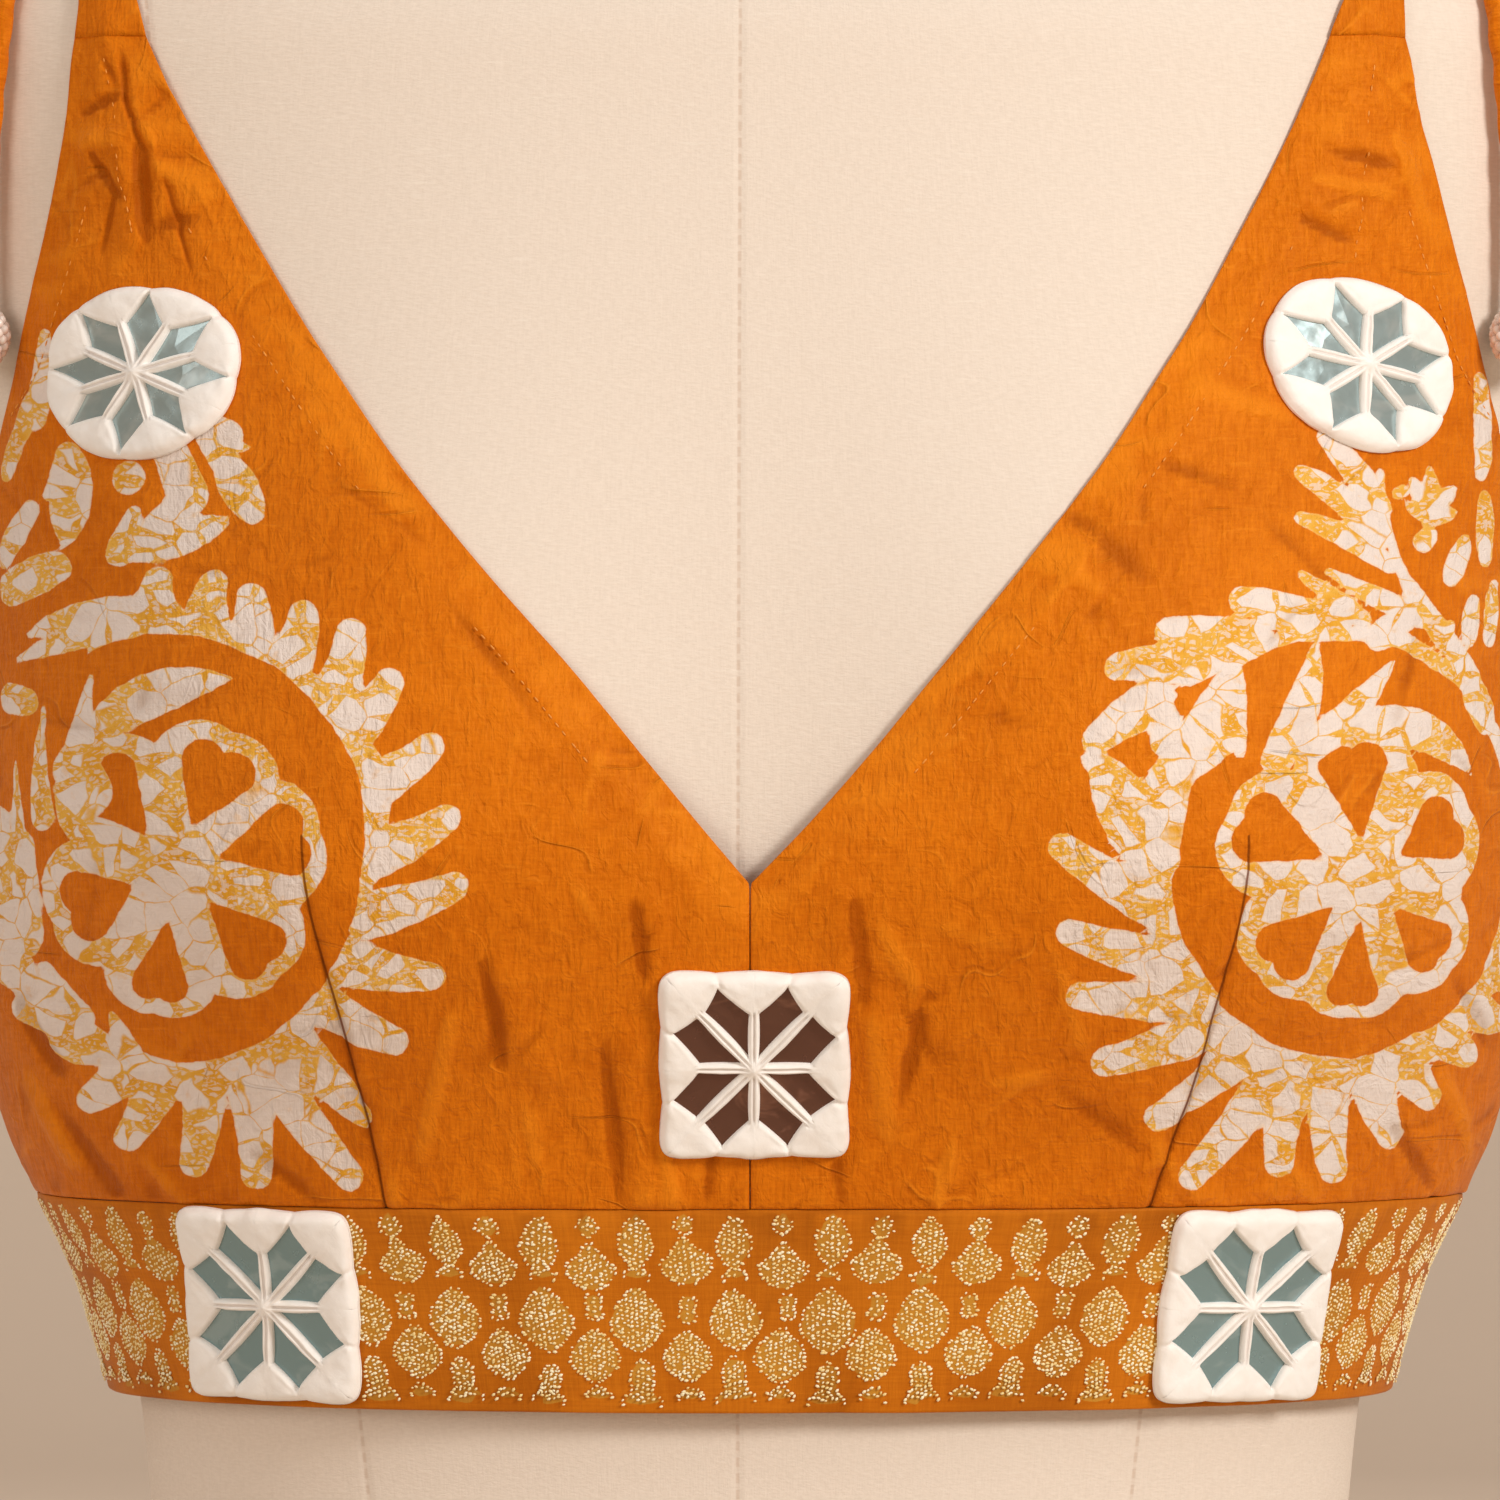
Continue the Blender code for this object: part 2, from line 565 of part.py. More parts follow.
def patch_placer(angle, z, turn, lean):
    """A function from a patch's own plane to the cloth's surface, moved out by a lift."""
    theta, height, spin = math.radians(angle), z * MM, math.radians(turn)
    above, below = (cloth_point(theta, height + rise, WALL) for rise in (MM, -MM))
    up = np.linalg.norm(above - below) / (2 * MM)

    def along(level):
        ahead, behind = (cloth_point(theta + step, level, WALL) for step in (TURN_STEP, -TURN_STEP))
        return np.linalg.norm(ahead - behind) / (2 * TURN_STEP)

    def place(point, lift):
        s = point[0] * math.cos(spin) - point[1] * math.sin(spin) + lean * point[1]
        t = point[0] * math.sin(spin) + point[1] * math.cos(spin)
        level = height + t / up
        return cloth_point(theta + s / along(level), level, WALL + PATCH_SEAT + lift)

    return place


def cover_plan(shape, half_width, half_height, first):
    """The cover's points in its own plane, each with its top and underside heights, and its faces.

    Every eighth of the plan runs from one spoke to the next and has a four-sided window in it. The first
    spoke lies at an angle from the cover's own axis.
    """
    size = np.array([half_width, half_height])
    points, tops, unders, faces = [np.zeros(2)], [SPOKE_TOP], [COVER_OVER_MIRROR], []

    def add(point, top, under):
        points.append(np.asarray(point, float))
        tops.append(top)
        unders.append(under)
        return len(points) - 1

    step = 2 * math.pi / SPOKES
    ends, left, right, tips, inner, skirt, rim = [], [], [], [], [], [], []
    for k in range(SPOKES):
        turn = k * step + first
        middle = turn + step / 2
        reach = SPOKE_REACH_DIAGONAL if k % 2 and shape == "square" else SPOKE_REACH_AXIS
        direction = np.array([math.cos(turn), math.sin(turn)])
        sideways = np.array([-direction[1], direction[0]]) * SPOKE_HALF_WIDTH
        end = direction * reach * size
        ends.append(add(end, COVER_TOP, COVER_OVER_MIRROR))
        left.append(add(end + sideways, SPOKE_TOP, COVER_OVER_MIRROR))
        right.append(add(end - sideways, SPOKE_TOP, COVER_OVER_MIRROR))
        aim = np.array([math.cos(middle), math.sin(middle)])
        inner.append(add(aim * HUB * size, SPOKE_TOP, COVER_OVER_MIRROR))
        tips.append(add(aim * WINDOW_REACH * size, SPOKE_TOP, COVER_OVER_MIRROR))
        for ring, share, top, under in ((skirt, SKIRT, COVER_TOP, COVER_OVER_MIRROR),
                                        (rim, 1.0, RIM_TOP, 0.0)):
            for at in (turn, middle):
                ring.append(add(outline_point(shape, half_width, half_height, at, share), top, under))
    for k in range(SPOKES):
        n = (k + 1) % SPOKES
        a, b, c = 2 * k, 2 * k + 1, 2 * n
        faces += [(0, ends[k], left[k], inner[k]), (0, inner[k], right[n], ends[n]),
                  (ends[k], skirt[a], left[k]), (left[k], skirt[a], skirt[b], tips[k]),
                  (tips[k], skirt[b], skirt[c], right[n]), (right[n], skirt[c], ends[n]),
                  (skirt[a], rim[a], rim[b], skirt[b]), (skirt[b], rim[b], rim[c], skirt[c])]
    return points, tops, unders, faces


def close_plan(name, plan_faces, low, high, material):
    """A closed solid between two copies of a plan, with walls along its open edges."""
    count = len(low)
    faces = [tuple(i + count for i in face) for face in plan_faces]
    faces += [tuple(face[::-1]) for face in plan_faces]
    edges = {}
    for face in plan_faces:
        for a, b in zip(face, face[1:] + face[:1]):
            edges[(a, b)] = True
    for a, b in edges:
        if (b, a) not in edges:
            faces.append((a, b, b + count, a + count))
    return add_object(name, list(low) + list(high), faces, material)


def mirror_patch(row, cover_material, mirror_material):
    """A cover with a star of eight windows, over its mirror plate."""
    name, angle, z, half_width, half_height, shape, turn, first, lean = row
    half_width, half_height = half_width * MM, half_height * MM
    place = patch_placer(angle, z, turn, lean)
    points, tops, unders, faces = cover_plan(shape, half_width, half_height, math.radians(first))
    close_plan(name, faces, [place(p, u) for p, u in zip(points, unders)],
               [place(p, t) for p, t in zip(points, tops)], cover_material)
    sides = 2 * SPOKES
    rings = [[outline_point(shape, half_width, half_height, 2 * math.pi * k / sides, share)
              for k in range(sides)] for share in (MIRROR_REACH / 2, MIRROR_REACH)]
    plate = [np.zeros(2)] + rings[0] + rings[1]
    plate_faces = []
    for k in range(sides):
        near, far = 1 + k, 1 + (k + 1) % sides
        plate_faces += [(0, near, far), (near, near + sides, far + sides, far)]
    close_plan(name.replace("patch", "mirror"), plate_faces, [place(p, 0.0) for p in plate],
               [place(p, MIRROR_THICKNESS) for p in plate], mirror_material)


def route_points(route, sign):
    """A route's own points in space."""
    rows = np.array(route, float)
    return list(shoulder_point(rows[:, 0] * MM * sign, np.radians(rows[:, 1]), rows[:, 2] * MM))


def tied_shoulder(side, silk, beads):
    """The knot of one shoulder with its two loops and its two ends, each end in a ball of beads."""
    sign = 1 if side == "left" else -1
    centre = shoulder_point(KNOT_X * sign, KNOT_ANGLE, KNOT_LIFT)
    ahead, behind = (shoulder_point(KNOT_X * sign, KNOT_ANGLE + turn, KNOT_LIFT) for turn in (-0.05, 0.05))
    backwards = (behind - ahead) / np.linalg.norm(behind - ahead)
    above = shoulder_point(KNOT_X * sign, KNOT_ANGLE, KNOT_LIFT + MM) - centre
    outwards = np.cross(backwards, above) * sign
    outwards = outwards / np.linalg.norm(outwards)
    axes = Matrix([outwards * sign, backwards, np.cross(outwards * sign, backwards)]).transposed()

    def way_out(degrees):
        turn = math.radians(degrees)
        return centre + (outwards * math.cos(turn) + backwards * math.sin(turn)) * (KNOT_RADIUS + CORD_GAP)

    knot = ball("knot_" + side, centre, (KNOT_RADIUS, KNOT_RADIUS, KNOT_HALF_HEIGHT), 12, 6, silk)
    knot.rotation_euler = axes.to_euler()
    for name, route in (("loop_inner", LOOP_INNER), ("loop_outer", LOOP_OUTER)):
        first, last = EXITS[name]
        cord(f"{name}_{side}", [way_out(first)] + route_points(route, sign) + [way_out(last)], silk)
    for end, route in (("front", TAIL_FRONT), ("back", TAIL_BACK)):
        x, angle, lift = BALLS[end]
        place = shoulder_point(x * MM * sign, math.radians(angle), lift * MM)
        ball(f"ball_{end}_{side}", place, (BALL_RADIUS,) * 3, 12, 7, beads)
        points = [way_out(EXITS["tail_" + end])] + route_points(route, sign)
        towards = (points[-1] - place) / np.linalg.norm(points[-1] - place)
        cord(f"tail_{end}_{side}", points + [place + towards * (BALL_RADIUS + CORD_GAP)], silk)


def main():
    for old in list(bpy.data.objects):
        bpy.data.objects.remove(old, do_unlink=True)
    silk = make_material("mustard silk", (0.62, 0.14, 0.006), 0.55)
    woven = make_material("gold woven silk", (0.58, 0.25, 0.045), 0.5)
    linen = make_material("cream linen", (0.86, 0.74, 0.60), 0.9)
    white = make_material("white cotton", (0.90, 0.80, 0.70), 0.75)
    grey_mirror = make_material("grey mirror", (0.30, 0.36, 0.36), 0.12, 0.9)
    brown_mirror = make_material("brown mirror", (0.18, 0.07, 0.035), 0.12, 0.9)
    pearl = make_material("pearl beads", (0.85, 0.78, 0.68), 0.3)

    dress_form(linen)
    for side, sign in (("left", 1), ("right", -1)):
        front_panel(side, silk)
        back_panel(side, silk)
        near, far = SIDE_SEAM + BAND_GAP, CENTRE_BACK - BAND_GAP
        band("band_back_" + side, *sorted((sign * near, sign * far)), BAND_BACK_STEPS, woven)
        strap("front_strap", side, silk)
        strap("back_strap", side, silk)
        tied_shoulder(side, silk, pearl)
    band("band_front", BAND_GAP - SIDE_SEAM, SIDE_SEAM - BAND_GAP, BAND_FRONT_STEPS, woven)
    for row in PATCHES:
        mirror_patch(row, white, brown_mirror if row[0] == "patch_centre" else grey_mirror)


main()
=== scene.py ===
"""Dresses the silk blouse on its form: cloth, batik print, woven band, mirror patches, ties and light.

Lengths are metres and +Z is up. The blouse faces -Y, so +X is the wearer's left. A place on the cloth is
given by its angle round the body, from the centre front towards +X, and its height. The print is laid out
on a flat plan in millimetres: across from the centre front, and up.
"""

import logging
import math
from dataclasses import dataclass
from enum import Enum
from typing import Callable, Optional, Sequence

import bpy
import numpy as np
from mathutils import Matrix


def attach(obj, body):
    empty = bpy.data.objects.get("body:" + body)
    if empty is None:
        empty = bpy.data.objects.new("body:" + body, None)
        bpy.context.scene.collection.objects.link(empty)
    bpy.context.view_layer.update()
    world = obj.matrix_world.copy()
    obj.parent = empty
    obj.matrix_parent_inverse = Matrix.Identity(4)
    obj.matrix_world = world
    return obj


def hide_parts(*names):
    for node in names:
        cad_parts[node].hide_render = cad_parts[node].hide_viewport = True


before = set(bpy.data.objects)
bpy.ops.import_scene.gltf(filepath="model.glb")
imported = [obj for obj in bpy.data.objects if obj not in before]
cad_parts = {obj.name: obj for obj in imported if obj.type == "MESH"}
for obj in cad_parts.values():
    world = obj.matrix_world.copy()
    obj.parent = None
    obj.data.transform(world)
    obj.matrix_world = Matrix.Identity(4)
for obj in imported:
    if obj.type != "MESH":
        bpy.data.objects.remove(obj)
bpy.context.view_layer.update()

LOG = logging.getLogger("blouse")
MM = 0.001
ROOT = "root"
FORM = "dress_form"

Rows = Sequence[Sequence[float]]


class Side(Enum):
    """The wearer's side."""

    LEFT = 1
    RIGHT = -1

    @property
    def label(self) -> str:
        """The side's word in the names of pieces."""
        return self.name.lower()


class Slot(Enum):
    """The record's material slots."""

    SILK = "mustard_silk"
    WOVEN = "gold_woven_silk"
    LINEN = "cream_linen"
    COTTON = "white_cotton"
    GREY_MIRROR = "grey_mirror"
    BROWN_MIRROR = "brown_mirror"
    PEARL = "pearl_beads"


class PatchShape(Enum):
    """The outline of a mirror patch."""

    OVAL = "oval"
    SQUARE = "square"


# Sections of the form: height, half width, depth in front of the centre and behind it, in mm
FORM_SECTIONS = (
    (0, 170, 112, 118), (60, 172, 110, 120), (120, 158, 103, 106), (205, 123, 86, 84), (240, 126.6, 86, 86),
    (262, 129, 88, 88), (285, 136, 92, 92), (306, 147, 97, 96), (322, 154.5, 101, 98), (345, 159.5, 107, 99),
    (380, 161.5, 112, 99), (430, 161, 111, 100), (467, 166, 108, 102), (500, 175, 104, 104),
    (530, 182, 100, 103), (545, 184, 98, 100), (560, 183.5, 92, 95), (575, 177, 82, 86), (585, 163, 72, 78),
    (592, 148, 65, 72), (603, 117, 57, 66), (612, 92, 51, 61), (620, 76, 48, 58), (632, 66, 46, 55),
    (645, 61, 46, 54), (665, 58, 47, 52), (690, 57, 48, 50),
)

# Largest folds of the cloth: both ends in degrees and mm of height, half width and height in mm
MAIN_FOLDS = (
    (-9.6, 366, -8.8, 352, 2.6, 1.0), (-12.0, 340, -11.0, 309, 2.8, 0.9), (-22.5, 353, -20.5, 334, 3.0, 0.9),
    (8.6, 368, 9.0, 350, 2.6, 1.0), (11.5, 348, 14.5, 327, 2.8, 1.0), (-56.8, 525, -60.5, 521, 2.0, 1.0),
    (-55.5, 517, -60.0, 512, 2.0, 0.9), (-58.0, 522, -57.0, 503, 1.8, 1.1), (55.0, 521, 60.5, 518, 2.2, 0.8),
    (52.0, 510, 57.5, 506, 2.2, 0.8),
)

# Heights
HEM_Z = 263.5 * MM
BAND_SEAM_Z = 305.2 * MM
V_POINT_Z = 371.0 * MM
BACK_POINT_Z = 392.0 * MM
ARMHOLE_Z = 426.0 * MM
STRAP_SEAM_Z = 544.0 * MM
NECK_TOP_Z = 690.0 * MM
SIDE_SEAM = math.radians(91.0)
CENTRE_BACK = math.pi

# Edges: height in mm, degrees from the centre seam
FRONT_NECKLINE = {
    Side.LEFT: ((371, 0), (385, 6.0), (400, 11.8), (415, 17.1), (430, 22.4), (444, 27.5), (459, 33.1),
                (472.6, 37.75), (484.6, 41.75), (501.5, 46.45), (518, 50.5), (530, 53.0), (544, 55.5)),
    Side.RIGHT: ((371, 0), (385, 5.3), (400, 10.8), (415, 16.2), (430, 22.0), (444, 27.35), (459, 33.1),
                 (472.6, 37.95), (484.6, 42.1), (501.5, 47.2), (518, 51.6), (530, 54.45), (544, 57.3)),
}
FRONT_ARMHOLE = {
    Side.LEFT: ((426, 91), (437, 85.5), (447, 79.2), (458, 73.9), (467, 71.1), (484.5, 67.5), (500.7, 64.9),
                (518, 62.9), (528, 61.9), (544, 61.1)),
    Side.RIGHT: ((426, 91), (437, 85.5), (447, 79.1), (458, 73.7), (467, 71.0), (484.5, 67.7), (500.7, 65.3),
                 (518, 63.6), (528, 63.0), (544, 62.6)),
}
BACK_NECKLINE = ((392, 0), (402, 12), (415, 21.5), (430, 29), (450, 36.5), (475, 43.5), (500, 49), (525, 53.5),
                 (544, 56.4))
BACK_ARMHOLE = ((426, 89), (437, 83.0), (447, 77.0), (458, 72.0), (475, 67.8), (500, 64.6), (525, 62.9),
                (544, 62.4))
DARTS = {
    Side.LEFT: ((305.5, 41.6), (325, 41.6), (348, 40.3), (381, 39.2)),
    Side.RIGHT: ((305.5, 38.1), (325, 37.2), (348, 36.0), (381, 35.4)),
}

# Straps: degrees up from the strap seam, distances of both edges from the middle in mm
FRONT_STRAP_EDGES = {
    Side.LEFT: ((6, 121.4, 133.7), (12, 125.4, 135.1), (20, 128.8, 136.0), (35, 131.2, 136.6), (60, 132.0, 137.0)),
    Side.RIGHT: ((6, 125.2, 137.2), (12, 128.2, 137.8), (20, 130.3, 137.8), (35, 131.7, 137.3), (60, 132.0, 137.0)),
}
BACK_STRAP_EDGES = ((6, 122.2, 134.4), (12, 126.0, 135.6), (20, 129.0, 136.2), (35, 131.2, 136.6),
                    (60, 132.0, 137.0))
KNOT_ANGLE = math.radians(74.0)
KNOT_X = 134.5 * MM
KNOT_RADIUS = 8.4 * MM
KNOT_LIFT = 6.4 * MM
STRAP_END = 7.7 * MM
CORD_RADIUS = 2.1 * MM
CORD_GAP = 0.35 * MM
BALL_RADIUS = 7.8 * MM
# Cord routes: distance from the middle in mm, degrees up from the strap seam, mm off the form
ROUTES = {
    "tail_front": ((145.5, 48.0, 4.6), (149.0, 25.0, 3.4), (152.2, 0.0, 3.2), (153.6, -20.0, 4.2)),
    "tail_back": ((148.5, 100.0, 4.6), (152.5, 130.0, 3.4), (156.0, 155.0, 3.2), (158.0, 178.0, 4.2)),
    "loop_inner": ((123.5, 46.0, 4.2), (117.0, 20.0, 3.2), (112.0, 9.0, 3.2), (106.5, 16.0, 3.2),
                   (108.0, 38.0, 3.4), (116.0, 60.0, 4.6)),
    "loop_outer": ((149.5, 60.0, 4.8), (157.0, 37.0, 3.4), (163.0, 22.0, 3.3), (168.0, 30.0, 3.3),
                   (166.0, 54.0, 3.8), (157.0, 74.0, 4.8)),
}
EXITS = {"tail_front": 302.0, "tail_back": 47.0, "loop_inner": (240.0, 208.0), "loop_outer": (333.0, 4.0)}
BALLS = {"front": (153.0, -47.0, 8.5), "back": (158.8, 207.0, 7.3)}


class SmoothCurve:
    """A smooth curve through a table's rows that never overshoots them."""

    def __init__(self, at: Sequence[float], values: Sequence[float]) -> None:
        """Args: at: rising places. values: the curve's values there."""
        self.at = np.array(at, float)
        self.values = np.array(values, float)
        self.step = np.diff(self.at)
        slope = np.diff(self.values) / self.step
        self.tangent = np.zeros(len(self.at))
        self.tangent[0], self.tangent[-1] = slope[0], slope[-1]
        for i in range(1, len(self.at) - 1):
            if slope[i - 1] * slope[i] > 0:
                before = self.step[i] * 2 + self.step[i - 1]
                after = self.step[i] + self.step[i - 1] * 2
                self.tangent[i] = (before + after) / (before / slope[i - 1] + after / slope[i])

    def __call__(self, at: np.ndarray) -> np.ndarray:
        """Returns: the curve's values at these places."""
        at = np.clip(at, self.at[0], self.at[-1])
        i = np.clip(np.searchsorted(self.at, at, side="right") - 1, 0, len(self.step) - 1)
        h = self.step[i]
        t = (at - self.at[i]) / h
        return ((1 + 2 * t) * (1 - t) ** 2 * self.values[i] + t * (1 - t) ** 2 * h * self.tangent[i]
                + t * t * (3 - 2 * t) * self.values[i + 1] + t * t * (t - 1) * h * self.tangent[i + 1])


def edge_curve(rows: Rows) -> SmoothCurve:
    """Returns: an edge's angle in radians from its height in metres."""
    return SmoothCurve([z * MM for z, _ in rows], [math.radians(angle) for _, angle in rows])


def fade(low: float, high: float, value: np.ndarray) -> np.ndarray:
    """Returns: 0 below low and 1 above high, with a smooth step between."""
    t = np.clip((value - low) / (high - low), 0, 1)
    return t * t * (3 - 2 * t)


def bell(value: np.ndarray, spread: np.ndarray) -> np.ndarray:
    """Returns: a bell curve of height 1."""
    return np.exp(-((value / spread) ** 2) / 2)


def wrapped(theta: np.ndarray) -> np.ndarray:
    """Returns: the same angle between -180 and 180 degrees."""
    return np.arctan2(np.sin(theta), np.cos(theta))


def soft_noise(u: np.ndarray, v: np.ndarray, seed: int) -> np.ndarray:
    """Smooth random hills between -1 and 1.

    Args:
        u, v: places, in units of a hill's width.
        seed: fixed seed of the table of heights.

    Returns:
        The height at each place.
    """
    table = np.random.default_rng(seed).uniform(-1, 1, (61, 61))
    i, j = np.floor(u).astype(int), np.floor(v).astype(int)
    s, t = u - i, v - j
    s, t = s * s * (3 - 2 * s), t * t * (3 - 2 * t)
    low = table[i % 61, j % 61] * (1 - s) + table[(i + 1) % 61, j % 61] * s
    high = table[i % 61, (j + 1) % 61] * (1 - s) + table[(i + 1) % 61, (j + 1) % 61] * s
    return low * (1 - t) + high * t


def polar_point(radius: np.ndarray, theta: np.ndarray, z: np.ndarray) -> np.ndarray:
    """Returns: the point at a radius, an angle and a height."""
    return np.stack(np.broadcast_arrays(radius * np.sin(theta), -radius * np.cos(theta), z), axis=-1)


def surface_normal(place: Callable, a: np.ndarray, b: np.ndarray, step_a: float, step_b: float) -> np.ndarray:
    """Returns: the unit normal of place(a, b), by central differences."""
    normal = np.cross(place(a + step_a, b) - place(a - step_a, b), place(a, b + step_b) - place(a, b - step_b))
    return normal / np.linalg.norm(normal, axis=-1, keepdims=True)


@dataclass
class BodyShape:
    """The form's surface and the cloth that lies on it, as the solids have them."""

    section_power: float = 2.25
    clearance: float = 1.7 * MM
    bust_angle: float = math.radians(37.5)
    bust_spread: float = math.radians(20.0)
    bust_z: float = 385.0 * MM
    bust_above: float = 55.0 * MM
    bust_below: float = 40.0 * MM
    bust_out: float = 26.0 * MM
    bridge_out: float = 4.0 * MM
    bridge_z: float = 362.0 * MM
    bridge_height: float = 28.0 * MM
    bridge_spread: float = math.radians(13.0)
    hem_out: float = 4.0 * MM
    hem_fade_z: float = 335.0 * MM

    def __post_init__(self) -> None:
        """Makes the smooth curves through the sections."""
        z, half_width, front, back = (np.array(column, float) * MM for column in zip(*FORM_SECTIONS))
        self.half_width = SmoothCurve(z, half_width)
        self.front = SmoothCurve(z, front)
        self.back = SmoothCurve(z, back)

    def form_radius(self, theta: np.ndarray, z: np.ndarray) -> np.ndarray:
        """Returns: the form's distance from the upright axis."""
        depth = np.where(np.cos(theta) > 0, self.front(z), self.back(z))
        across = (np.abs(np.sin(theta)) / self.half_width(z)) ** self.section_power
        along = (np.abs(np.cos(theta)) / depth) ** self.section_power
        radius = (across + along) ** (-1 / self.section_power)
        height = bell(z - self.bust_z, np.where(z > self.bust_z, self.bust_above, self.bust_below))
        for side in (-1, 1):
            radius = radius + self.bust_out * height * bell(wrapped(theta) - side * self.bust_angle,
                                                            self.bust_spread)
        return radius

    def fold_height(self, theta: np.ndarray, z: np.ndarray) -> np.ndarray:
        """Returns: how far the largest folds lift the cloth."""
        total = np.zeros(np.broadcast(theta, z).shape)
        around = self.form_radius(theta, z)
        for angle0, z0, angle1, z1, half_width, out in MAIN_FOLDS:
            angle0, angle1 = math.radians(angle0), math.radians(angle1)
            start = np.stack([around * (wrapped(theta) - angle0), z - z0 * MM + 0 * around])
            run = np.stack([around * (angle1 - angle0), (z1 - z0) * MM + 0 * around])
            share = np.clip((start * run).sum(0) / (run * run).sum(0), 0, 1)
            away = np.sqrt(((start - share * run) ** 2).sum(0))
            total = total + out * MM * bell(away, half_width * MM)
        return total

    def cloth_radius(self, theta: np.ndarray, z: np.ndarray) -> np.ndarray:
        """Returns: the inside of the cloth wall."""
        bridge = self.bridge_out * bell(wrapped(theta), self.bridge_spread) * bell(z - self.bridge_z,
                                                                                   self.bridge_height)
        hem = self.hem_out * (1 - fade(HEM_Z, self.hem_fade_z, z))
        return self.form_radius(theta, z) + self.clearance + bridge + hem + self.fold_height(theta, z)

    def cloth_point(self, theta: np.ndarray, z: np.ndarray, lift: np.ndarray) -> np.ndarray:
        """Returns: a point off the inside of the cloth wall, along its normal."""
        def place(angle: np.ndarray, height: np.ndarray) -> np.ndarray:
            """Returns: the inside of the cloth."""
            return polar_point(self.cloth_radius(angle, height), angle, height)

        theta, z = np.broadcast_arrays(np.asarray(theta, float), np.asarray(z, float))
        normal = surface_normal(place, theta, z, 0.004, 0.4 * MM)
        return place(theta, z) + normal * np.asarray(lift)[..., None]

    def shoulder_point(self, x: np.ndarray, angle: np.ndarray, lift: np.ndarray) -> np.ndarray:
        """Returns: a point over the shoulder, on a ray from the middle plane at the strap seam's height."""
        def place(side: np.ndarray, turn: np.ndarray) -> np.ndarray:
            """Returns: where the ray meets the form."""
            near, far = np.zeros(side.shape), np.full(side.shape, 0.2)
            for _ in range(36):
                middle = (near + far) / 2
                y, z = -middle * np.cos(turn), STRAP_SEAM_Z + middle * np.sin(turn)
                inside = np.hypot(side, y) < self.form_radius(np.arctan2(side, -y), z)
                near, far = np.where(inside, middle, near), np.where(inside, far, middle)
            return np.stack([side, -near * np.cos(turn), STRAP_SEAM_Z + near * np.sin(turn)], axis=-1)

        x, angle = np.broadcast_arrays(np.asarray(x, float), np.asarray(angle, float))
        normal = surface_normal(place, x, angle, 1.5 * MM, 0.03)
        return place(x, angle) + normal * np.asarray(lift)[..., None]

    def angle_for(self, theta: np.ndarray, z: np.ndarray, length: float) -> np.ndarray:
        """Returns: the turn in radians that moves a point of the cloth by a length round the body."""
        step = 0.01
        a = polar_point(self.cloth_radius(theta + step, z), theta + step, z)
        b = polar_point(self.cloth_radius(theta - step, z), theta - step, z)
        return length * 2 * step / np.linalg.norm(a - b, axis=-1)


BODY = BodyShape()


@dataclass(frozen=True)
class PhotoCamera:
    """The level camera in front of the chest."""

    front_plane: float = 0.125
    distance: float = 2.1
    height: float = 0.398
    view_width: float = 0.3
    sensor: float = 36.0

    def build(self) -> None:
        """Sets the scene's camera."""
        data = bpy.data.cameras.new("camera")
        data.sensor_width = self.sensor
        data.lens = self.sensor * self.distance / self.view_width
        camera = bpy.data.objects.new("camera", data)
        camera.location = (0.0, -(self.front_plane + self.distance), self.height)
        camera.rotation_euler = (math.pi / 2, 0.0, 0.0)
        bpy.context.scene.collection.objects.link(camera)
        bpy.context.scene.camera = camera

    def plan(self, points: np.ndarray) -> tuple[np.ndarray, np.ndarray]:
        """Returns: across and up in mm on the front plane, for points in space."""
        share = 1 + (points[..., 1] + self.front_plane) / self.distance
        return points[..., 0] / share / MM, (self.height + (points[..., 2] - self.height) / share) / MM


CAMERA = PhotoCamera()


# Meshes

def build_object(name: str, points: np.ndarray, groups: Sequence[np.ndarray]) -> bpy.types.Object:
    """Makes a smooth mesh object.

    Args:
        name: the object's name.
        points: its vertices.
        groups: arrays of faces, one array for each number of corners.

    Returns:
        The object, linked to the scene.
    """
    mesh = bpy.data.meshes.new(name)
    points = np.asarray(points, np.float32).reshape(-1, 3)
    mesh.vertices.add(len(points))
    mesh.vertices.foreach_set("co", points.ravel())
    if groups:
        corners = np.concatenate([np.asarray(g).ravel() for g in groups]).astype(np.int32)
        sizes = np.concatenate([np.full(len(g), np.asarray(g).shape[1]) for g in groups])
        mesh.loops.add(len(corners))
        mesh.loops.foreach_set("vertex_index", corners)
        mesh.polygons.add(len(sizes))
        mesh.polygons.foreach_set("loop_start", np.concatenate([[0], np.cumsum(sizes)[:-1]]).astype(np.int32))
    mesh.update(calc_edges=True)
    mesh.validate()
    mesh.shade_smooth()
    made = bpy.data.objects.new(name, mesh)
    bpy.context.scene.collection.objects.link(made)
    return made


def grid_faces(rows: int, columns: int, first: int = 0, round_closed: bool = False) -> np.ndarray:
    """Returns: the quads of a grid of points, rows upwards and columns to the right seen from outside."""
    reach = columns if round_closed else columns - 1
    r, c = np.meshgrid(np.arange(rows - 1), np.arange(reach), indexing="ij")
    d = (c + 1) % columns
    return np.stack([r * columns + c, r * columns + d, (r + 1) * columns + d, (r + 1) * columns + c],
                    axis=-1).reshape(-1, 4) + first


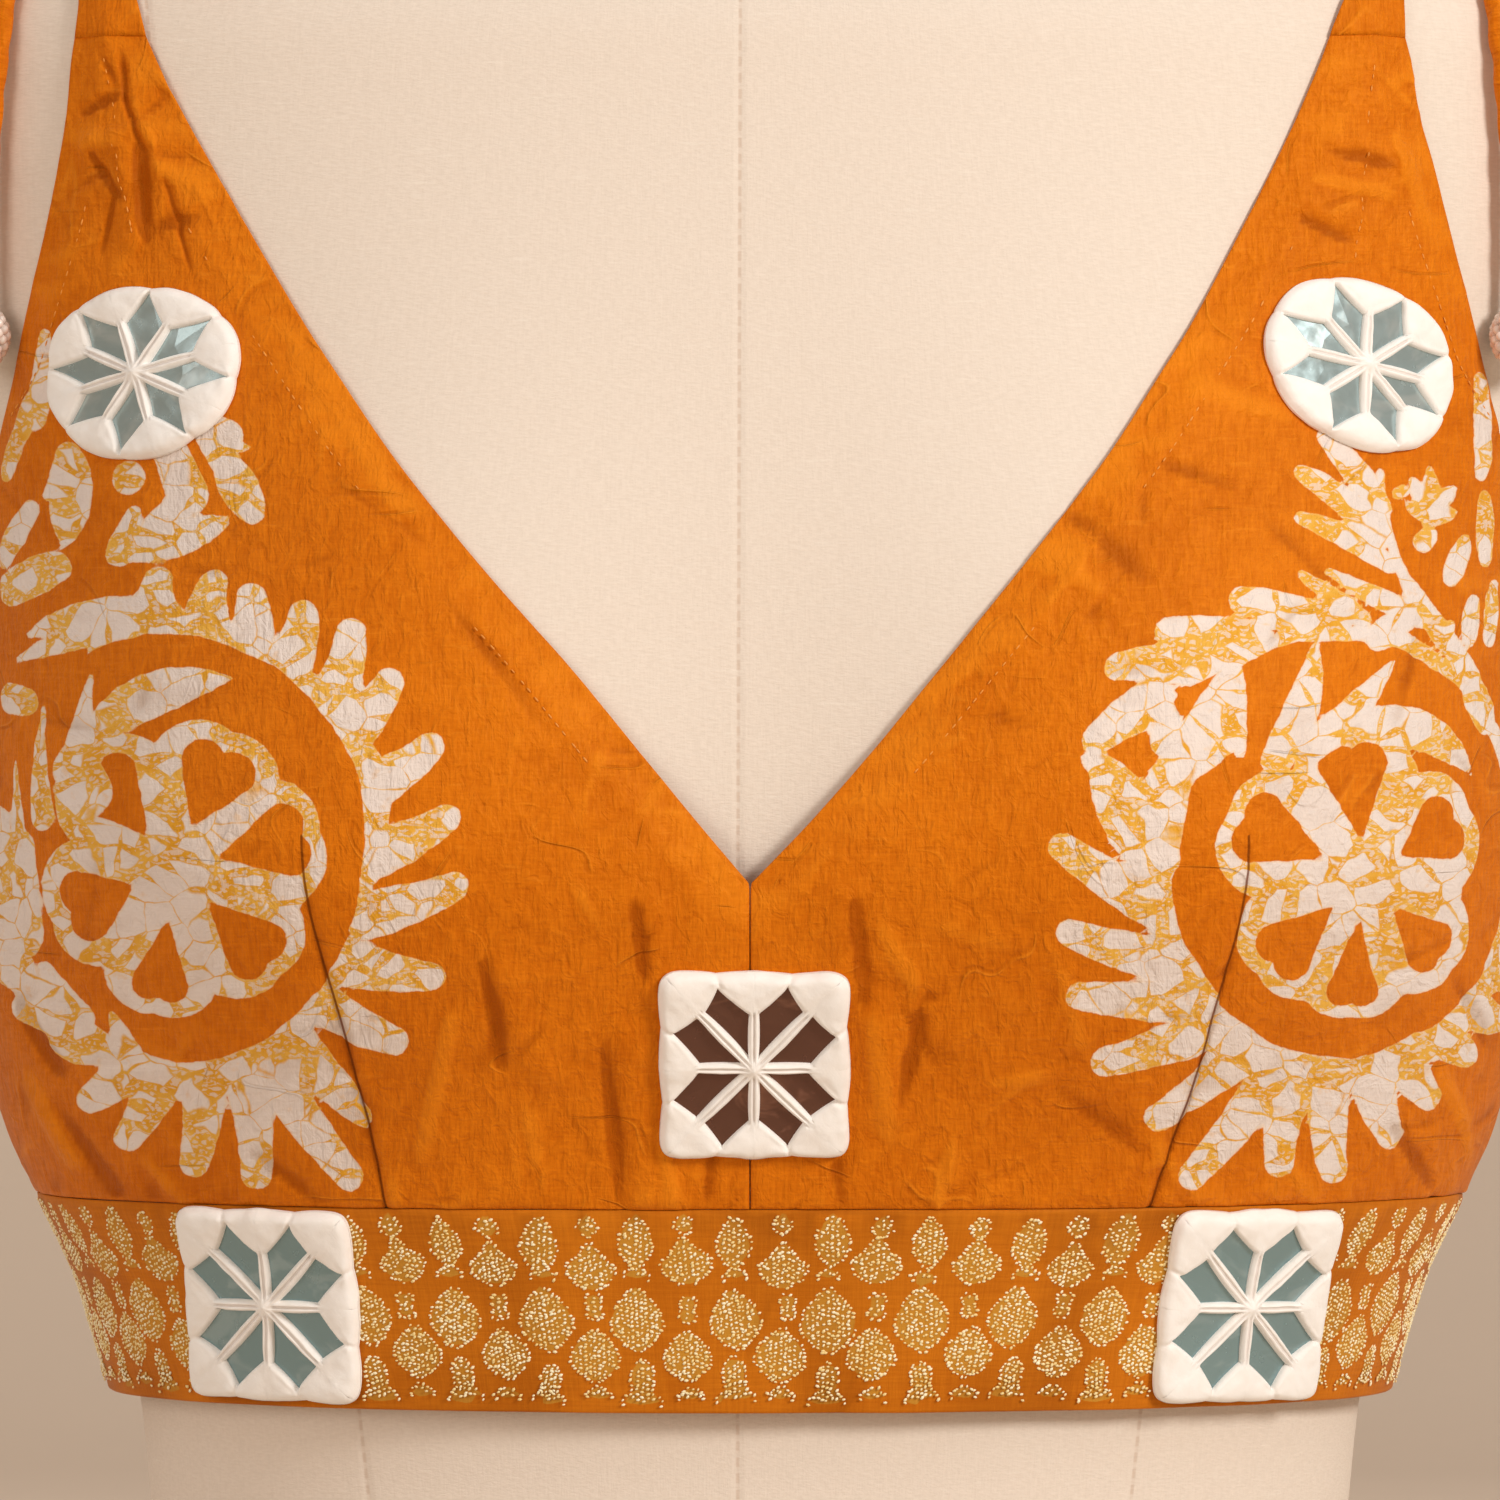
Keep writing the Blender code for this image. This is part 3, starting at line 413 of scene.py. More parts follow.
def shell_faces(rows: int, columns: int) -> np.ndarray:
    """Returns: the quads of a closed sheet, whose outer grid comes first and inner grid second."""
    count = rows * columns
    ring = np.concatenate([np.arange(columns - 1), np.arange(rows - 1) * columns + columns - 1,
                           (rows - 1) * columns + np.arange(columns - 1, 0, -1),
                           np.arange(rows - 1, 0, -1) * columns])
    after = np.roll(ring, -1)
    rim = np.stack([after, ring, ring + count, after + count], axis=1)
    return np.concatenate([grid_faces(rows, columns), grid_faces(rows, columns, count)[:, ::-1], rim])


def set_values(piece: bpy.types.Object, name: str, values: np.ndarray) -> None:
    """Stores one number for each vertex."""
    layer = piece.data.attributes.new(name, "FLOAT", "POINT")
    layer.data.foreach_set("value", np.asarray(values, np.float32).ravel())


def set_vectors(piece: bpy.types.Object, name: str, values: np.ndarray) -> None:
    """Stores one vector for each vertex."""
    layer = piece.data.attributes.new(name, "FLOAT_VECTOR", "POINT")
    layer.data.foreach_set("vector", np.asarray(values, np.float32).ravel())


def set_map(piece: bpy.types.Object, u: np.ndarray, v: np.ndarray) -> None:
    """Gives a piece its cloth map, in metres along the threads."""
    mesh = piece.data
    layer = mesh.uv_layers.new(name="cloth")
    index = np.empty(len(mesh.loops), np.int32)
    mesh.loops.foreach_get("vertex_index", index)
    flat = np.stack([np.asarray(u, float).ravel()[index], np.asarray(v, float).ravel()[index]], axis=1)
    layer.data.foreach_set("uv", flat.astype(np.float32).ravel())


def tube(line: np.ndarray, radii: np.ndarray, sides: int, lobes: float = 0.0, twist: float = 0.0) -> tuple:
    """A closed tube with rounded ends.

    Args:
        line: the points of its middle line.
        radii: its radius at each point.
        sides: points round it.
        lobes: share by which two strands stand out of it.
        twist: turns of the strands for each metre.

    Returns:
        Its points and its groups of faces.
    """
    line = np.asarray(line, float)
    along = np.gradient(line, axis=0)
    along /= np.linalg.norm(along, axis=1, keepdims=True)
    side = np.cross(along[0], (0.0, 0.3, 1.0))
    length = np.concatenate([[0], np.cumsum(np.linalg.norm(np.diff(line, axis=0), axis=1))])
    turn = np.linspace(0, 2 * math.pi, sides, endpoint=False)
    rings = []
    for k, centre in enumerate(line):
        side = side - along[k] * np.dot(side, along[k])
        side = side / np.linalg.norm(side)
        other = np.cross(along[k], side)
        shape = radii[k] * (1 + lobes * np.cos(2 * (turn - 2 * math.pi * twist * length[k])))
        rings.append(centre + shape[:, None] * (np.cos(turn)[:, None] * side + np.sin(turn)[:, None] * other))
    tips = (line[0] - along[0] * radii[0] * 0.6, line[-1] + along[-1] * radii[-1] * 0.6)
    caps = [[], []]
    for end, ring, centre in ((0, rings[0], line[0]), (1, rings[-1], line[-1])):
        caps[end] = centre + (ring - centre) * 0.7 + (tips[end] - centre) * 0.7
    rings = [caps[0]] + rings + [caps[1]]
    count = len(rings) * sides
    last = (len(rings) - 1) * sides
    ends = [(count, (s + 1) % sides, s) for s in range(sides)]
    ends += [(count + 1, last + s, last + (s + 1) % sides) for s in range(sides)]
    points = np.concatenate([np.concatenate(rings), [tips[0], tips[1]]])
    return points, [grid_faces(len(rings), sides, 0, True), np.array(ends)]


def smooth_route(points: Sequence, step: float) -> np.ndarray:
    """Returns: evenly spaced points along a smooth curve through a route's own points."""
    points = np.array(points, float)
    padded = np.vstack([2 * points[0] - points[1], points, 2 * points[-1] - points[-2]])
    fine = []
    for i in range(1, len(padded) - 2):
        a, b, c, d = padded[i - 1:i + 3]
        for t in np.linspace(0, 1, 24, endpoint=False):
            fine.append(0.5 * (2 * b + (c - a) * t + (2 * a - 5 * b + 4 * c - d) * t * t
                               + (3 * b - a - 3 * c + d) * t ** 3))
    fine = np.array(fine + [points[-1]])
    length = np.concatenate([[0], np.cumsum(np.linalg.norm(np.diff(fine, axis=0), axis=1))])
    at = np.linspace(0, length[-1], max(3, round(length[-1] / step) + 1))
    return np.stack([np.interp(at, length, fine[:, k]) for k in range(3)], axis=1)


def away_from(points: np.ndarray, line: np.ndarray) -> np.ndarray:
    """Returns: the distance from each point to a line of points."""
    best = np.full(points.shape[:-1], 1e9)
    for a, b in zip(line[:-1], line[1:]):
        run = b - a
        share = np.clip(((points - a) @ run) / (run @ run), 0, 1)
        best = np.minimum(best, np.linalg.norm(points - a - share[..., None] * run, axis=-1))
    return best


def cloth_area(points: np.ndarray) -> float:
    """Returns: the area of a grid of points in square metres."""
    a = points[1:, 1:] - points[:-1, :-1]
    b = points[1:, :-1] - points[:-1, 1:]
    return float(np.linalg.norm(np.cross(a, b), axis=-1).sum() / 2)


# Materials

class Graph:
    """The node tree of one material."""

    def __init__(self, name: str) -> None:
        """Starts from a plain shader."""
        self.material = bpy.data.materials.new(name)
        self.material.use_nodes = True
        self.tree = self.material.node_tree
        self.shader = self.tree.nodes["Principled BSDF"]

    def feed(self, socket: bpy.types.NodeSocket, value: object) -> None:
        """Links a socket or sets its value."""
        if isinstance(value, bpy.types.NodeSocket):
            self.tree.links.new(value, socket)
        elif socket.type == "RGBA" and len(value) == 3:
            socket.default_value = (*value, 1.0)
        else:
            socket.default_value = value

    def put(self, kind: str, inputs: Optional[dict] = None, **settings: object) -> bpy.types.Node:
        """Returns: a new node with its inputs and settings."""
        node = self.tree.nodes.new(kind)
        for name, value in settings.items():
            setattr(node, name, value)
        for name, value in (inputs or {}).items():
            self.feed(node.inputs[name], value)
        return node

    def math(self, operation: str, a: object, b: object = 0.0, clamp: bool = False) -> bpy.types.NodeSocket:
        """Returns: the result of a Math node."""
        return self.put("ShaderNodeMath", {0: a, 1: b}, operation=operation, use_clamp=clamp).outputs[0]

    def mix(self, share: object, a: object, b: object, blend: str = "MIX") -> bpy.types.NodeSocket:
        """Returns: a mix of two colours."""
        return self.put("ShaderNodeMix", {0: share, 6: a, 7: b}, data_type="RGBA", blend_type=blend).outputs[2]

    def cloth_map(self) -> bpy.types.NodeSocket:
        """Returns: the piece's cloth map."""
        return self.put("ShaderNodeUVMap", uv_map="cloth").outputs[0]

    def place(self) -> bpy.types.NodeSocket:
        """Returns: object coordinates."""
        return self.put("ShaderNodeTexCoord").outputs["Object"]

    def scaled(self, vector: bpy.types.NodeSocket, scale: Sequence[float],
               turn: float = 0.0) -> bpy.types.NodeSocket:
        """Returns: scaled and turned coordinates."""
        return self.put("ShaderNodeMapping", {"Vector": vector, "Scale": scale,
                                              "Rotation": (0.0, 0.0, turn)}).outputs[0]

    def noise(self, vector: bpy.types.NodeSocket, scale: float, detail: float = 2.0, rough: float = 0.5,
              distortion: float = 0.0) -> bpy.types.NodeSocket:
        """Returns: a noise between 0 and 1."""
        return self.put("ShaderNodeTexNoise", {"Vector": vector, "Scale": scale, "Detail": detail,
                                               "Roughness": rough, "Distortion": distortion}).outputs[0]

    def ramp(self, value: object, low: float, high: float, out_low: float = 0.0,
             out_high: float = 1.0) -> bpy.types.NodeSocket:
        """Returns: a smooth step between two values."""
        return self.put("ShaderNodeMapRange", {"Value": value, "From Min": low, "From Max": high,
                                               "To Min": out_low, "To Max": out_high},
                        interpolation_type="SMOOTHSTEP").outputs[0]

    def value(self, name: str) -> bpy.types.NodeSocket:
        """Returns: a number stored on the piece."""
        return self.put("ShaderNodeAttribute", attribute_name=name).outputs["Fac"]

    def cells(self, vector: bpy.types.NodeSocket, scale: float) -> bpy.types.NodeSocket:
        """Returns: the distance to the nearest edge between random cells."""
        return self.put("ShaderNodeTexVoronoi", {"Vector": vector, "Scale": scale},
                        feature="DISTANCE_TO_EDGE").outputs["Distance"]

    def bump(self, height: bpy.types.NodeSocket, distance: float, strength: float = 1.0,
             under: Optional[bpy.types.NodeSocket] = None) -> bpy.types.NodeSocket:
        """Returns: a normal with a height in it."""
        inputs = {"Height": height, "Distance": distance, "Strength": strength}
        if under is not None:
            inputs["Normal"] = under
        return self.put("ShaderNodeBump", inputs).outputs[0]

    def finish(self, colour: object, roughness: object, normal: Optional[object] = None,
               **constants: float) -> bpy.types.Material:
        """Feeds the shader.

        Args:
            colour: base colour.
            roughness: roughness.
            normal: normal, or none.
            constants: further inputs of the shader by name, with _ for a space.

        Returns:
            The material.
        """
        self.feed(self.shader.inputs["Base Color"], colour)
        self.feed(self.shader.inputs["Roughness"], roughness)
        if normal is not None:
            self.feed(self.shader.inputs["Normal"], normal)
        for name, value in constants.items():
            self.feed(self.shader.inputs[name.replace("_", " ")], value)
        return self.material


@dataclass(frozen=True)
class SilkFinish:
    """Slubbed raw silk in mustard orange, with the batik print where a piece has one."""

    name: str = "mustard silk"
    deep: tuple = (0.56, 0.122, 0.0022)
    light: tuple = (0.77, 0.205, 0.0060)
    # Colour of the random dark flecks, and of the painted shade in creases and folds.
    fleck_and_crease_shade: tuple = (0.31, 0.050, 0.0008)
    white: tuple = (0.86, 0.77, 0.71)
    white_dull: tuple = (0.76, 0.66, 0.61)
    ochre: tuple = (0.76, 0.36, 0.030)
    printed: bool = False

    def ground(self, graph: Graph, cloth: bpy.types.NodeSocket) -> tuple:
        """Returns: the silk's colour, with painted shade in its creases and painted highlight on their ridges, and its
        relief before the print.
        """
        weft = graph.noise(graph.scaled(cloth, (260.0, 1500.0, 1.0)), 1.0, 2.0, 0.6)
        warp = graph.noise(graph.scaled(cloth, (1500.0, 180.0, 1.0), 0.06), 1.0, 2.0, 0.6)
        slub = graph.ramp(graph.noise(graph.scaled(cloth, (110.0, 780.0, 1.0)), 1.0, 2.0, 0.5, 0.5), 0.62, 0.76)
        crinkle = graph.noise(graph.scaled(cloth, (360.0, 210.0, 1.0), 0.25), 1.0, 3.0, 0.62, 0.9)
        worn = graph.noise(cloth, 30.0, 3.0, 0.55, 0.4)
        thread = graph.math("ADD", graph.math("MULTIPLY", weft, 0.38), graph.math("MULTIPLY", warp, 0.62))
        tone = graph.math("ADD", graph.math("MULTIPLY", thread, 0.55),
                          graph.math("ADD", graph.math("MULTIPLY", worn, 0.30),
                                     graph.math("MULTIPLY", crinkle, 0.25)))
        colour = graph.mix(graph.ramp(tone, 0.36, 0.74), self.deep, self.light)
        colour = graph.mix(graph.math("MULTIPLY", slub, 0.20), colour, (0.90, 0.30, 0.02))
        fleck = graph.ramp(graph.noise(graph.scaled(cloth, (330.0, 420.0, 1.0)), 1.0, 1.0), 0.80, 0.86)
        colour = graph.mix(graph.math("MULTIPLY", fleck, 0.35), colour, self.fleck_and_crease_shade)
        ridge_and_highlight, fold_and_shade = self.hairlines(graph, cloth)
        # Painted highlight along the wrinkles, and painted shade in the folds beside them.
        colour = graph.mix(graph.math("MULTIPLY", ridge_and_highlight, 0.22), colour, (0.95, 0.33, 0.02))
        colour = graph.mix(graph.math("MULTIPLY", fold_and_shade, 0.24), colour, self.fleck_and_crease_shade)
        # Painted shade: darker where the stored crease height dips.
        crease = graph.ramp(graph.value("crease"), -0.10, -1.3, 0.0, 0.62)
        colour = graph.mix(crease, colour, self.fleck_and_crease_shade)
        # Painted highlight: lighter where the stored crease height rises.
        ridge_highlight = graph.ramp(graph.value("crease"), 0.12, 1.1, 0.0, 0.40)
        colour = graph.mix(ridge_highlight, colour, (0.90, 0.28, 0.012))
        relief = graph.math("ADD", graph.math("MULTIPLY", thread, 0.6),
                            graph.math("ADD", graph.math("MULTIPLY", crinkle, 1.3),
                                       graph.math("MULTIPLY", graph.math("SUBTRACT", ridge_and_highlight, fold_and_shade), 0.22)))
        return colour, relief

    @staticmethod
    def hairlines(graph: Graph, cloth: bpy.types.NodeSocket) -> tuple:
        """Returns: short wrinkle ridges with a painted highlight, and the painted shade of the folds beside them, on
        pieces of level lines.
        """
        found = [0.0, 0.0]
        for scale, reach, turn in (((52.0, 30.0, 1.0), 0.010, 0.5), ((24.0, 60.0, 1.0), 0.008, -0.7)):
            wander = graph.noise(graph.scaled(cloth, scale, turn), 1.0, 1.0, 0.5, 0.1)
            away = graph.math("SUBTRACT", wander, 0.5)
            patchy = graph.noise(graph.scaled(cloth, (48.0, 60.0, 1.0), 1.1 + turn), 1.0, 2.0)
            part = graph.ramp(patchy, 0.54, 0.64)
            for k, middle in enumerate((-0.5, 0.9)):
                line = graph.ramp(graph.math("ABSOLUTE", graph.math("ADD", away, middle * reach)),
                                  reach * (0.7 + 0.5 * k), reach * 0.1)
                found[k] = graph.math("MAXIMUM", found[k], graph.math("MULTIPLY", line, part))
        return tuple(found)

    def print_over(self, graph: Graph, cloth: bpy.types.NodeSocket, colour: bpy.types.NodeSocket) -> tuple:
        """Returns: the colour with the wax print on it, and the print's own mask."""
        waver = graph.math("SUBTRACT", graph.noise(cloth, 260.0, 3.0, 0.6), 0.5)
        depth = graph.math("ADD", graph.value("print"), graph.math("MULTIPLY", waver, 1.1))
        mask = graph.ramp(depth, -0.10, 0.16)
        bent = graph.put("ShaderNodeVectorMath", {0: cloth, 1: graph.put(
            "ShaderNodeVectorMath", {0: graph.put("ShaderNodeTexNoise", {
                "Vector": cloth, "Scale": 120.0, "Detail": 2.0}).outputs[1], 1: (0.0035, 0.0035, 0.0)},
            operation="MULTIPLY").outputs[0]}, operation="ADD").outputs[0]
        wide = graph.cells(graph.scaled(bent, (1.0, 1.2, 1.0), 0.5), 150.0)
        busy = graph.noise(cloth, 75.0, 2.0, 0.5)
        reach = graph.ramp(busy, 0.40, 0.62, 0.014, 0.20)
        gap = graph.math("SUBTRACT", graph.math("ADD", wide, graph.math("MULTIPLY", waver, 0.07)), reach)
        crack = graph.ramp(gap, 0.02, -0.025)
        streak = graph.noise(graph.scaled(bent, (420.0, 900.0, 1.0), 0.7), 1.0, 3.0, 0.6, 0.6)
        lace = graph.cells(graph.scaled(bent, (1.0, 1.5, 1.0), 1.0), 640.0)
        holes = graph.math("MAXIMUM", graph.ramp(streak, 0.54, 0.60), graph.ramp(lace, 0.16, 0.26))
        pale = graph.math("MULTIPLY", holes, graph.ramp(gap, -0.020, -0.045))
        faint = graph.math("MULTIPLY", graph.ramp(graph.noise(cloth, 210.0, 3.0, 0.6), 0.60, 0.72), 0.30)
        ochre = graph.math("MAXIMUM", graph.math("SUBTRACT", crack, graph.math("MULTIPLY", pale, 0.62)), faint)
        cream = graph.mix(graph.noise(cloth, 240.0, 3.0, 0.6), self.white, self.white_dull)
        # Painted shade: the print's white darker where the stored crease height dips.
        cream = graph.mix(graph.ramp(graph.value("crease"), -0.04, -1.0, 0.0, 0.6), cream, (0.50, 0.36, 0.27))
        tone = graph.mix(graph.ramp(graph.noise(cloth, 180.0, 2.0), 0.4, 0.6), self.ochre, (0.80, 0.44, 0.07))
        wax = graph.mix(ochre, cream, tone)
        rim = graph.math("MULTIPLY", graph.ramp(depth, 0.55, 0.15), 0.30)
        wax = graph.mix(rim, wax, (0.88, 0.56, 0.22))
        return graph.mix(mask, colour, wax), mask

    def build(self) -> bpy.types.Material:
        """Returns: the material."""
        graph = Graph(self.name)
        cloth = graph.cloth_map()
        colour, relief = self.ground(graph, cloth)
        if self.printed:
            colour, _ = self.print_over(graph, cloth, colour)
        sewn = graph.ramp(graph.value("line"), 0.42, 0.12, 0.0, 0.85)
        colour = graph.mix(sewn, colour, (0.16, 0.028, 0.001))
        rough = graph.ramp(relief, 0.5, 1.2, 0.62, 0.50)
        return graph.finish(colour, rough, graph.bump(relief, 0.62 * MM, 1.0), Specular_IOR_Level=0.28,
                            Specular_Tint=(1.0, 0.55, 0.14, 1.0))


@dataclass(frozen=True)
class WovenFinish:
    """Silk of the hem band, with ochre leaves under its gold dots."""

    name: str = "gold woven silk"
    base: tuple = (0.50, 0.130, 0.0050)
    base_light: tuple = (0.64, 0.190, 0.0090)
    leaf: tuple = (0.50, 0.235, 0.022)

    def build(self) -> bpy.types.Material:
        """Returns: the material."""
        graph = Graph(self.name)
        cloth = graph.cloth_map()
        threads = graph.noise(graph.scaled(cloth, (90.0, 1500.0, 1.0)), 1.0, 3.0, 0.6)
        cross = graph.noise(graph.scaled(cloth, (1500.0, 110.0, 1.0)), 1.0, 3.0, 0.6)
        thread = graph.math("ADD", graph.math("MULTIPLY", threads, 0.5), graph.math("MULTIPLY", cross, 0.5))
        worn = graph.noise(cloth, 40.0, 2.0)
        tone = graph.math("ADD", graph.math("MULTIPLY", thread, 0.6), graph.math("MULTIPLY", worn, 0.4))
        colour = graph.mix(graph.ramp(tone, 0.36, 0.66), self.base, self.base_light)
        depth = graph.math("ADD", graph.value("print"),
                           graph.math("MULTIPLY", graph.math("SUBTRACT", graph.noise(cloth, 700.0, 2.0), 0.5), 0.8))
        fill = graph.math("MULTIPLY", graph.ramp(depth, 0.0, 0.5), 0.75)
        colour = graph.mix(fill, colour, graph.mix(thread, self.leaf, (0.66, 0.36, 0.06)))
        # Painted shade: darker where the stored crease height dips.
        crease = graph.ramp(graph.value("crease"), 0.15, -0.9, 0.0, 0.45)
        colour = graph.mix(crease, colour, (0.26, 0.06, 0.003))
        return graph.finish(colour, 0.55, graph.bump(thread, 0.25 * MM, 0.8), Specular_IOR_Level=0.3,
                            Specular_Tint=(1.0, 0.6, 0.2, 1.0))


@dataclass(frozen=True)
class GoldThreadFinish:
    """The pale gold thread of the woven dots."""

    name: str = "pale gold thread"

    def build(self) -> bpy.types.Material:
        """Returns: the material."""
        graph = Graph(self.name)
        tone = graph.noise(graph.place(), 420.0, 2.0)
        colour = graph.mix(graph.ramp(tone, 0.38, 0.62), (0.90, 0.70, 0.30), (1.0, 0.93, 0.66))
        return graph.finish(colour, 0.45, None, Specular_IOR_Level=0.5)


@dataclass(frozen=True)
class StitchFinish:
    """Light orange sewing thread."""

    name: str = "orange sewing thread"

    def build(self) -> bpy.types.Material:
        """Returns: the material."""
        graph = Graph(self.name)
        tone = graph.noise(graph.place(), 900.0, 2.0)
        colour = graph.mix(tone, (0.70, 0.21, 0.012), (0.92, 0.40, 0.06))
        return graph.finish(colour, 0.5, graph.bump(tone, 0.08 * MM))


@dataclass(frozen=True)
class LinenFinish:
    """The cream linen cover of the form, with its sewn seams."""

    name: str = "cream linen"
    light: tuple = (0.835, 0.735, 0.635)
    dull: tuple = (0.785, 0.685, 0.585)
    seam: tuple = (0.56, 0.40, 0.29)

    def build(self) -> bpy.types.Material:
        """Returns: the material."""
        graph = Graph(self.name)
        cloth = graph.cloth_map()
        weft = graph.noise(graph.scaled(cloth, (420.0, 1900.0, 1.0), 0.75), 1.0, 3.0, 0.6, 0.2)
        warp = graph.noise(graph.scaled(cloth, (1300.0, 230.0, 1.0)), 1.0, 3.0, 0.6, 0.2)
        thread = graph.math("ADD", graph.math("MULTIPLY", weft, 0.65), graph.math("MULTIPLY", warp, 0.35))
        colour = graph.mix(graph.ramp(thread, 0.36, 0.64), self.dull, self.light)
        slub = graph.ramp(graph.noise(graph.scaled(cloth, (70.0, 900.0, 1.0)), 1.0, 2.0), 0.62, 0.76)
        colour = graph.mix(graph.math("MULTIPLY", slub, 0.25), colour, (0.92, 0.85, 0.75))
        seams = [graph.math("ABSOLUTE", graph.value(name)) for name in ("seam_centre", "seam_bust", "seam_side")]
        depth = graph.math("MINIMUM", seams[0], graph.math("MINIMUM", seams[1], seams[2]))
        line = graph.ramp(depth, 0.55, 0.15)
        dashes = graph.ramp(graph.put("ShaderNodeTexWave", {
            "Vector": graph.scaled(cloth, (1.0, 1.0, 1.0)), "Scale": 95.0}, bands_direction="Y").outputs[1], 0.2, 0.5)
        colour = graph.mix(graph.math("MULTIPLY", line, graph.math("ADD", graph.math("MULTIPLY", dashes, 0.30), 0.16)),
                           colour, self.seam)
        relief = graph.math("SUBTRACT", thread, graph.math("MULTIPLY", graph.ramp(depth, 1.6, 0.0), 0.9))
        return graph.finish(colour, 0.88, graph.bump(relief, 0.26 * MM, 0.7), Specular_IOR_Level=0.12)


@dataclass(frozen=True)
class CottonFinish:
    """Soft white cotton of the patch covers, with painted shade, grey to pink, in the grooves of the spokes."""

    name: str = "white cotton"

    def build(self) -> bpy.types.Material:
        """Returns: the material."""
        graph = Graph(self.name)
        place = graph.place()
        weave = graph.noise(place, 1500.0, 2.0, 0.6)
        soft = graph.noise(place, 190.0, 3.0, 0.55, 0.6)
        colour = graph.mix(graph.ramp(soft, 0.3, 0.7), (0.95, 0.91, 0.86), (0.98, 0.955, 0.92))
        # Painted shade in the grooves of the spokes.
        groove = graph.ramp(graph.value("groove"), 0.35, 0.95, 0.0, 0.60)
        colour = graph.mix(groove, colour, graph.mix(soft, (0.66, 0.63, 0.61), (0.72, 0.62, 0.56)))
        relief = graph.math("ADD", graph.math("MULTIPLY", weave, 0.25), soft)
        return graph.finish(colour, 0.72, graph.bump(relief, 0.30 * MM, 0.6), Sheen_Weight=0.15,
                            Sheen_Roughness=0.5, Specular_IOR_Level=0.3)


@dataclass(frozen=True)
class MirrorFinish:
    """Mirror glass, with lighter patches of painted reflection."""

    name: str
    colour: tuple
    # Lighter colour of the painted reflection patches.
    streak: tuple
    cut: float

    def build(self) -> bpy.types.Material:
        """Returns: the material."""
        graph = Graph(self.name)
        place = graph.place()
        reflection_patches = graph.noise(graph.scaled(place, (60.0, 60.0, 95.0)), 1.0, 3.0, 0.6, 1.2)
        # Painted reflection: lighter patches mixed into the glass colour.
        colour = graph.mix(graph.ramp(reflection_patches, self.cut, self.cut + 0.16), self.colour, self.streak)
        rough = graph.ramp(graph.noise(place, 300.0, 3.0), 0.3, 0.8, 0.16, 0.30)
        return graph.finish(colour, rough, graph.bump(reflection_patches, 0.12 * MM, 0.4), Metallic=0.55,
                            Specular_IOR_Level=0.6)


@dataclass(frozen=True)
class PearlFinish:
    """Small pearl beads."""

    name: str = "pearl beads"

    def build(self) -> bpy.types.Material:
        """Returns: the material."""
        graph = Graph(self.name)
        tone = graph.noise(graph.place(), 380.0, 2.0)
        colour = graph.mix(graph.ramp(tone, 0.35, 0.65), (0.82, 0.70, 0.62), (0.93, 0.87, 0.80))
        return graph.finish(colour, 0.24, graph.bump(tone, 0.05 * MM, 0.3), Coat_Weight=0.4,
                            Coat_Roughness=0.15)


@dataclass(frozen=True)
class StudioFinish:
    """The plain pale paper that the form stands on."""

    name: str = "studio paper"

    def build(self) -> bpy.types.Material:
        """Returns: the material."""
        graph = Graph(self.name)
        tone = graph.noise(graph.place(), 3.0, 2.0)
        colour = graph.mix(tone, (0.60, 0.49, 0.39), (0.63, 0.515, 0.41))
        return graph.finish(colour, 0.9, None, Specular_IOR_Level=0.1)


# Repeated small parts

